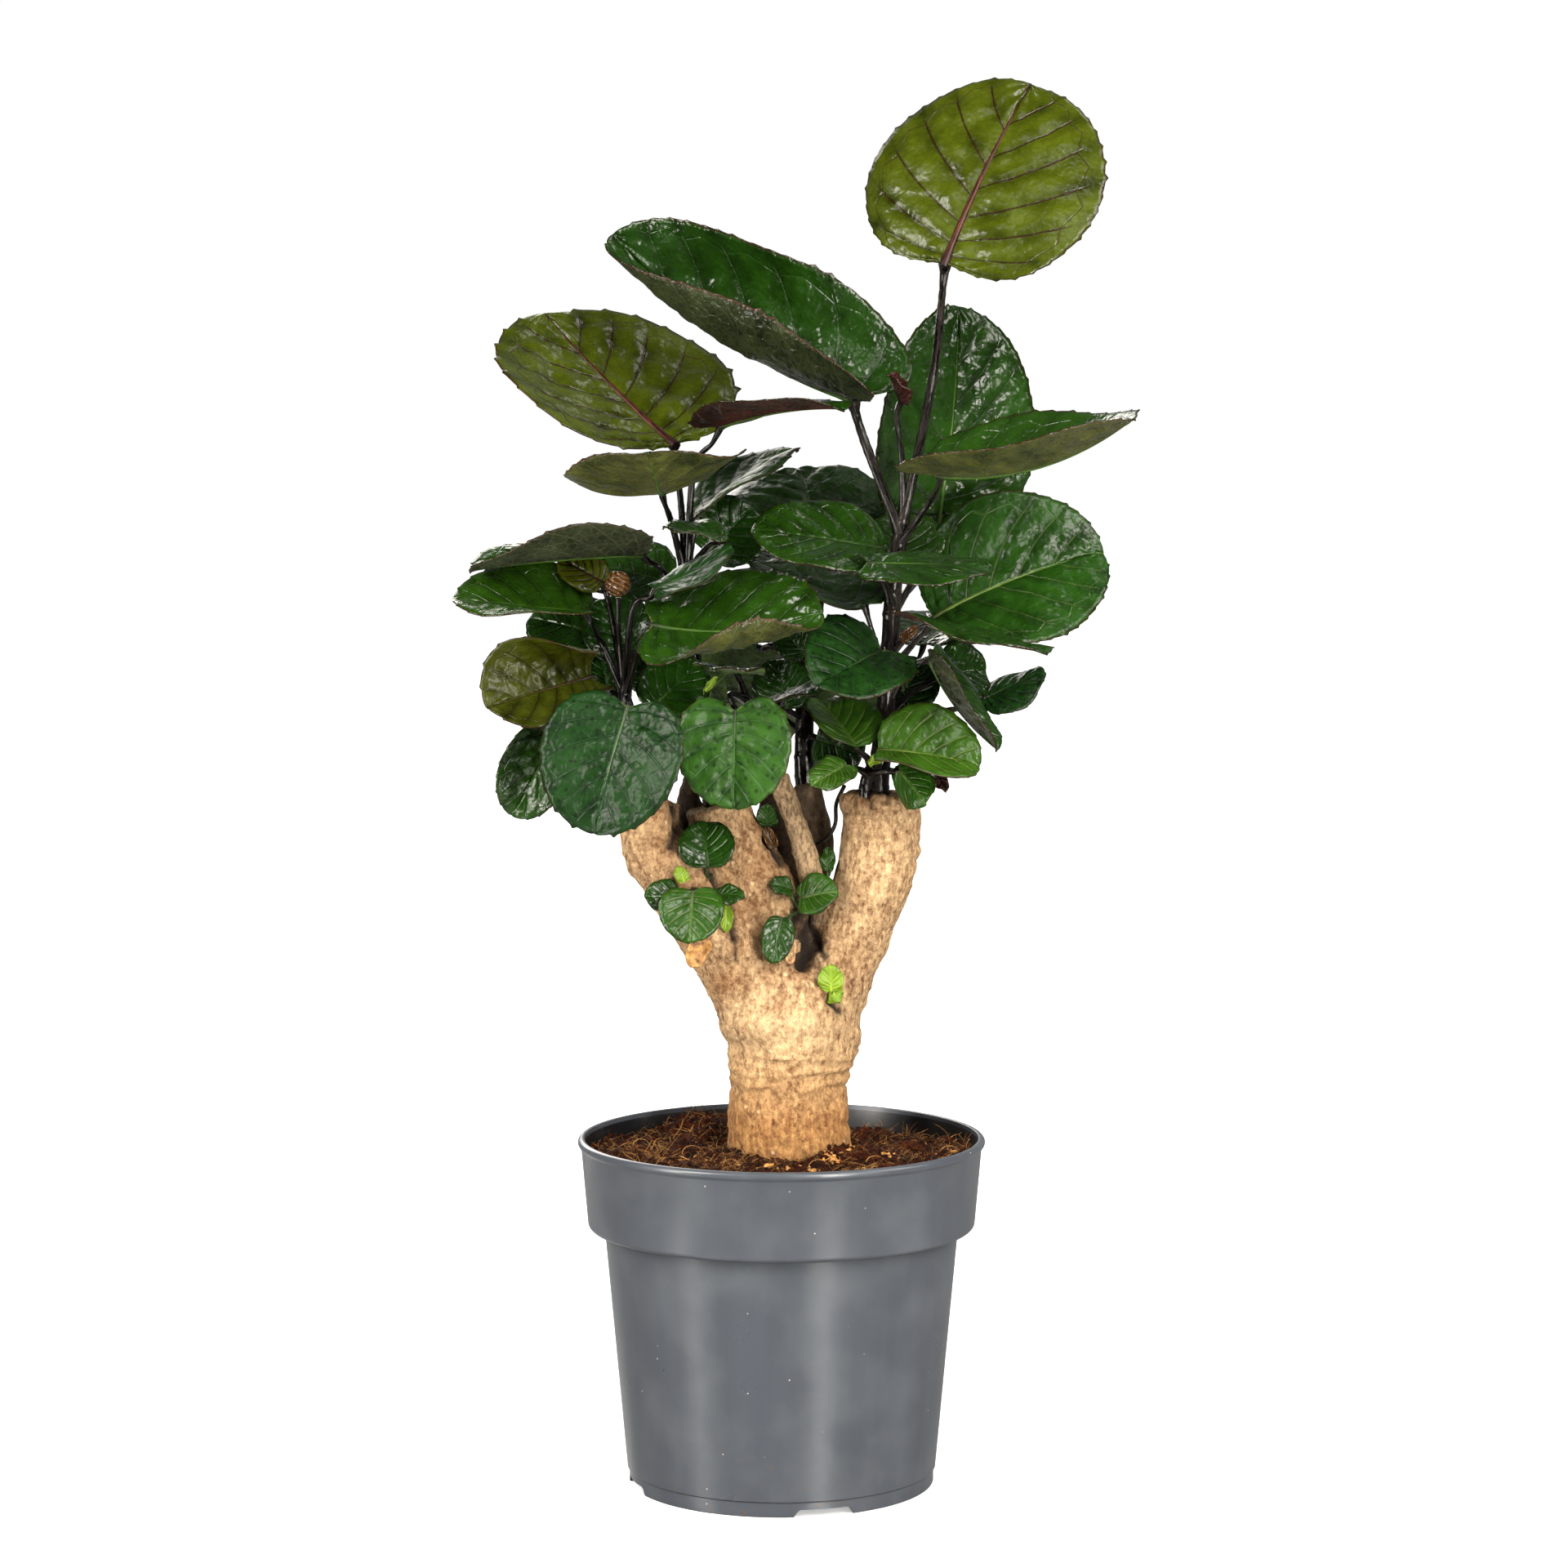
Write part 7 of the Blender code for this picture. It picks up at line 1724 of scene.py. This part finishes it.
# Hooked thin stem behind the cane, radius 1.2 mm
HOOK = [(1034, 962, 4), (1024, 984, -2), (1023, 1008, -4), (1014, 1024, -2), (1000, 1032, 4)]
for number, (key, rows) in enumerate(STEMS.items()):
    path, line = stem_line(rows, number + 1)
    tone = STEM_TONES[key]
    store = ([], [], [])
    rod(store, line, 20, tone, 0.03)
    parts = []
    if key == "low_right":
        for n, row in enumerate(SPRAY):
            way = petiole_path(on_stem(path, row["start"]), row, 0.0022, sink=True)
            rod(store, stalk(way, 0.4, 0.5), 10, 0.3, 0.05)
            look = (1.1, SPRAY_TONES[n], "green", 9.0)
            parts += whole_leaf(f"spray_leaf_{n}", row, look, "veined", SPRAY_SEED + n)
    for leaf in (LEAVES | DEEP_LEAVES).values():
        if leaf["stem"] == key:
            way = petiole_path(on_stem(path, leaf["start"]), leaf, 0.0030)
            rod(store, stalk(way, 0.45, 0.9), 12, tone * 0.8, 0.06)
    if key == "right":
        rod(store, curve_points([(seen(*place), 0.0012) for place in HOOK], 0.002), 10, 0.5, 0.05)
    if key == "left":
        start = on_stem(path, BUD["start"])
        bud_line = [(start, 0.0018), (seen(*BUD["via"]), 0.0014), (seen(*BUD["base"]), 0.0012)]
        rod(store, stalk(curve_points(bud_line, 0.0028), 0.4, 0.6), 12, 0.3, 0.05)
    stems = body("stems_" + key, store, STEM_SKIN)
    smooth(stems, 60.0)
    if key == "low_right":
        stand_for(together("spray_leaves_and_stem", [stems] + parts),
                  "glossy_dark_green_leaf", "spray_low_right")
    else:
        stand_for(stems, "dark_purple_stem_skin", "shoot_" + key)


# Rolled young leaf: a ball drawn into a knob, then crumpled into ridges
def rolled_bud():
    base = seen(*BUD["base"])
    tall = BUD["height"] * MM
    wide = BUD["width"] / 2.0 * MM
    deselect()
    bpy.ops.mesh.primitive_uv_sphere_add(segments=72, ring_count=44, radius=1.0)
    bud = bpy.context.object
    bud.name = "rolled_young_leaf"
    veins = []
    flats = []
    for vert in bud.data.vertices:
        x, y, z = vert.co
        turn = math.atan2(y, x)
        spiral = turn + 2.2 * z
        crease = abs(math.sin(3.5 * spiral + 1.2 * noise.noise(vert.co * 2.0)))
        r = math.hypot(x, y) ** 0.8 * (0.90 + 0.10 * crease ** 0.6)
        r *= 1.0 + 0.16 * noise.noise(vert.co * 1.6 + Vector((5.0, 0.0, 0.0)))
        r *= 1.0 + 0.05 * noise.noise(vert.co * 6.0)
        place = Vector((
            r * math.cos(turn) * wide, r * math.sin(turn) * wide, (z * 0.5 + 0.5) * tall))
        veins.append((spiral * 1.1, 0.5, 2.0))
        flats.append((turn * 0.006, z * 0.007, 0.9))
        vert.co = base + place + Vector((0.0, 0.0, 0.0005))
    put_marks(bud.data, vein=veins, blade=flats, tone=[0.55] * len(veins))
    bud.data.materials.append(SKINS["brown"])
    only(bud)
    bpy.ops.object.transform_apply()
    bpy.ops.object.shade_smooth()
    return bud


stand_for(rolled_bud(), "curled_brown_young_leaf", "bud_left")


# Sprigs rooted in the wood
solid_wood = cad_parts["trunk"].data
wood = BVHTree.FromPolygons(
    [v.co.copy() for v in solid_wood.vertices], [tuple(f.vertices) for f in solid_wood.polygons])


def on_wood(column, row):
    """Place and outward direction where a line of sight meets the bark."""
    place, outward, _, _ = wood.ray_cast(EYE, (seen(column, row, 0.0) - EYE).normalized())
    return place, outward


SPRIG_TONES = {
    "sprig_round": 0.30, "sprig_left": 0.62, "sprig_middle": 0.58, "sprig_back": 0.4,
    "sprout_lime_high": 0.4, "sprout_lime_side": 0.3, "sprout_lime_low": 0.4}
for order, (name, sprig) in enumerate(SPRIGS.items()):
    place, outward = on_wood(*sprig["root"])
    depth = place.y / MM
    paint = sprig["mat"]
    first = seen(*sprig["leaves"][0]["base"][:2], depth + sprig["leaves"][0]["base"][2])
    neck = place + outward * 0.0030 + (first - place) * 0.15
    store = ([], [], [])
    root = [place - outward * 0.0035, place + outward * 0.0008, neck]
    rod(store, curve_points([(point, 0.0013) for point in root], 0.0012), 10)
    parts = []
    for number, row in enumerate(sprig["leaves"]):
        leaf = SMALL_LEAF | row
        column, line, ahead = row["base"]
        leaf["base"] = (column, line, depth + ahead)
        leaf["petiole"] = 0.0007
        way = petiole_path(neck - outward * 0.0012, leaf, 0.0011, sink=True)
        rod(store, stalk(way, 0.2, 0.3), 8)
        tone = SPRIG_TONES[name] * (1.0, 0.6, 0.75)[number]
        look = (0.22, tone, "green", 7.0, 0.3)
        skin = "veined" if (name, number) in (("sprig_left", 0), ("sprig_middle", 0)) else paint
        seed = SPRIG_SEED + 5 * order + number
        parts += whole_leaf(f"{name}_leaf_{number}", leaf, look, skin, seed)
    stalks = body(name + "_stalks", store, RIBS["lime" if paint == "lime" else "bloom"])
    smooth(stalks, 60.0)
    slot = "fresh_lime_sprout" if paint == "lime" else "glossy_dark_green_leaf"
    stand_for(together(name + "_leaves", [stalks] + parts), slot, name)

# Dried leaves caught on the wood and tiny shoots beside the sprigs: the place on the bark that
# each grows from, its skin, then as the rows of the leaves, the base's depth from that place
BITS = {
    "dried_leaf_amber": dict(root=(852, 1156), paint="dry", base=(864, 1151, -5), tip=(846, 1184),
        length=18, width=14, curl=(45, 30), face=(-0.2, -0.9, 0.3)),
    "dried_leaf_peach": dict(root=(960, 1144), paint="peach", base=(961, 1143, -5),
        tip=(968, 1180), length=18, width=9, curl=(50, 50), face=(0.3, -0.9, 0.2)),
    "tiny_dark_leaf": dict(root=(938, 1016), paint="green", base=(940, 1012, -4), tip=(939, 985),
        length=14, width=13, curl=(14, 14), face=(0.0, -0.9, 0.3)),
    "tiny_bronze_bud": dict(root=(944, 1032), paint="brown", base=(948, 1038, -3), tip=(936, 1012),
        length=13, width=8, curl=(60, 60), face=(0.0, -0.9, 0.3)),
    "tiny_lime_bract": dict(root=(1026, 1222), paint="lime", base=(1025, 1222, -5),
        tip=(1031, 1211), length=6, width=4, curl=(20, 20), face=(0.1, -0.9, 0.3)),
}
for number, (name, row) in enumerate(BITS.items()):
    place, outward = on_wood(*row["root"])
    depth = place.y / MM
    column, line, ahead = row["base"]
    leaf = SMALL_LEAF | row | dict(base=(column, line, depth + ahead), far=False, petiole=0.0006)
    paint = row["paint"]
    under = paint if paint in ("dry", "peach") else "green"
    parts = whole_leaf(name, leaf, (0.4, 0.4, under, 6.0, 0.4), paint, BIT_SEED + number)
    store = ([], [], [])
    way = petiole_path(place - outward * 0.0025, leaf, 0.0009, sink=True)
    rod(store, stalk(way, 0.2, 0.2), 8)
    stalks = body(name + "_stalk", store, RIBS[paint])
    smooth(stalks, 60.0)
    slot = "fresh_lime_sprout" if paint == "lime" else "curled_brown_young_leaf"
    stand_for(together(name, [stalks] + parts), slot)

# Floor and light
deselect()
bpy.ops.mesh.primitive_circle_add(vertices=96, radius=9.0, fill_type="NGON")
studio_floor = bpy.context.object
studio_floor.name = "studio_floor"
floor_paint, add, floor_shader = new_material("white_studio_floor", Roughness=0.22)
floor_shader.inputs["Emission Color"].default_value = linear("#ffffff")
floor_at = add("TexCoord", out="Object")
floor_run = add("VectorMath", {0: floor_at}, out="Value", operation="LENGTH")
floor_seen = add("LightPath", out="Is Camera Ray")
glow = add("MapRange", {0: floor_run, 1: 0.15, 2: 1.2, 3: 0.45, 4: 1.0})
glow = add("Math", {0: glow, 1: floor_seen}, **TIMES)
paint = add("Mix", {0: floor_seen, 6: "#8c8c8c", 7: "#f4f4f4"}, **TINT)
plug(floor_shader, Emission_Strength=glow, Base_Color=paint)
studio_floor.data.materials.append(floor_paint)

world = bpy.data.worlds.new("studio")
bpy.context.scene.world = world
world.use_nodes = True
sky = world.node_tree.nodes["Background"]
add = node_adder(world.node_tree)
seen_at_once = add("LightPath", out="Is Camera Ray")
way = add("TexCoord", out="Generated")
back = add("SeparateXYZ", {0: way}).node.outputs[1]
fill = add("MapRange", {0: back, 1: 0.45, 2: 0.95, 3: 0.05, 4: 0.38})
soft = add("LightPath", out="Is Diffuse Ray")
fill = add("Mix", {0: soft, 2: fill, 3: 0.22}, out=0, data_type="FLOAT")
strength = add("Mix", {0: seen_at_once, 2: fill, 3: 1.0}, out=0, data_type="FLOAT")
sky.inputs["Color"].default_value = linear("#ffffff")
plug(sky, Strength=strength)


def soft_box(name, place, aim, size, power):
    """Large soft lamp that looks at a point."""
    data = bpy.data.lights.new(name, "AREA")
    data.shape = "RECTANGLE"
    data.size = size[0]
    data.size_y = size[1]
    data.energy = power
    data.color = linear("#fffaf0")[:3]
    lamp = bpy.data.objects.new(name, data)
    lamp.location = place
    lamp.rotation_euler = (Vector(aim) - Vector(place)).to_track_quat("-Z", "Y").to_euler()
    link(lamp)


soft_box("left_soft_box", (-2.0, -1.5, 1.95), (0.0, 0.0, 0.45), (1.0, 1.3), 89.0)
soft_box("left_strip", (-0.74, -0.45, 0.30), (0.0, 0.0, 0.10), (0.09, 0.50), 5.6)
soft_box("right_strip", (0.41, -0.80, 0.30), (0.0, 0.0, 0.10), (0.07, 0.50), 8.2)
soft_box("high_front_box", (0.06, -0.90, 2.10), (0.13, 0.0, 0.75), (0.50, 0.35), 3.0)
soft_box("high_back_box", (0.79, 0.74, 2.10), (-0.10, 0.0, 0.73), (0.50, 0.40), 3.0)
soft_box("back_soft_box", (-0.9, 2.5, 1.5), (0.0, 0.0, 0.35), (1.4, 1.4), 40.0)
soft_box("side_soft_box", (2.2, -0.5, 1.9), (0.0, 0.0, 0.30), (0.8, 1.2), 36.0)
soft_box("right_soft_box", (1.25, -2.1, 2.0), (0.0, 0.0, 0.45), (1.0, 1.3), 82.0)

view = bpy.data.cameras.new("front_view")
view.sensor_width = SENSOR
view.lens = SENSOR * VIEW_FOCAL / VIEW_SIZE
view.clip_start = 0.05
view.clip_end = 50.0
camera = bpy.data.objects.new("front_view", view)
camera.location = EYE
camera.rotation_euler = (math.pi / 2.0 - VIEW_TILT, 0.0, 0.0)
link(camera)
bpy.context.scene.camera = camera
bpy.context.scene.view_settings.view_transform = "Standard"
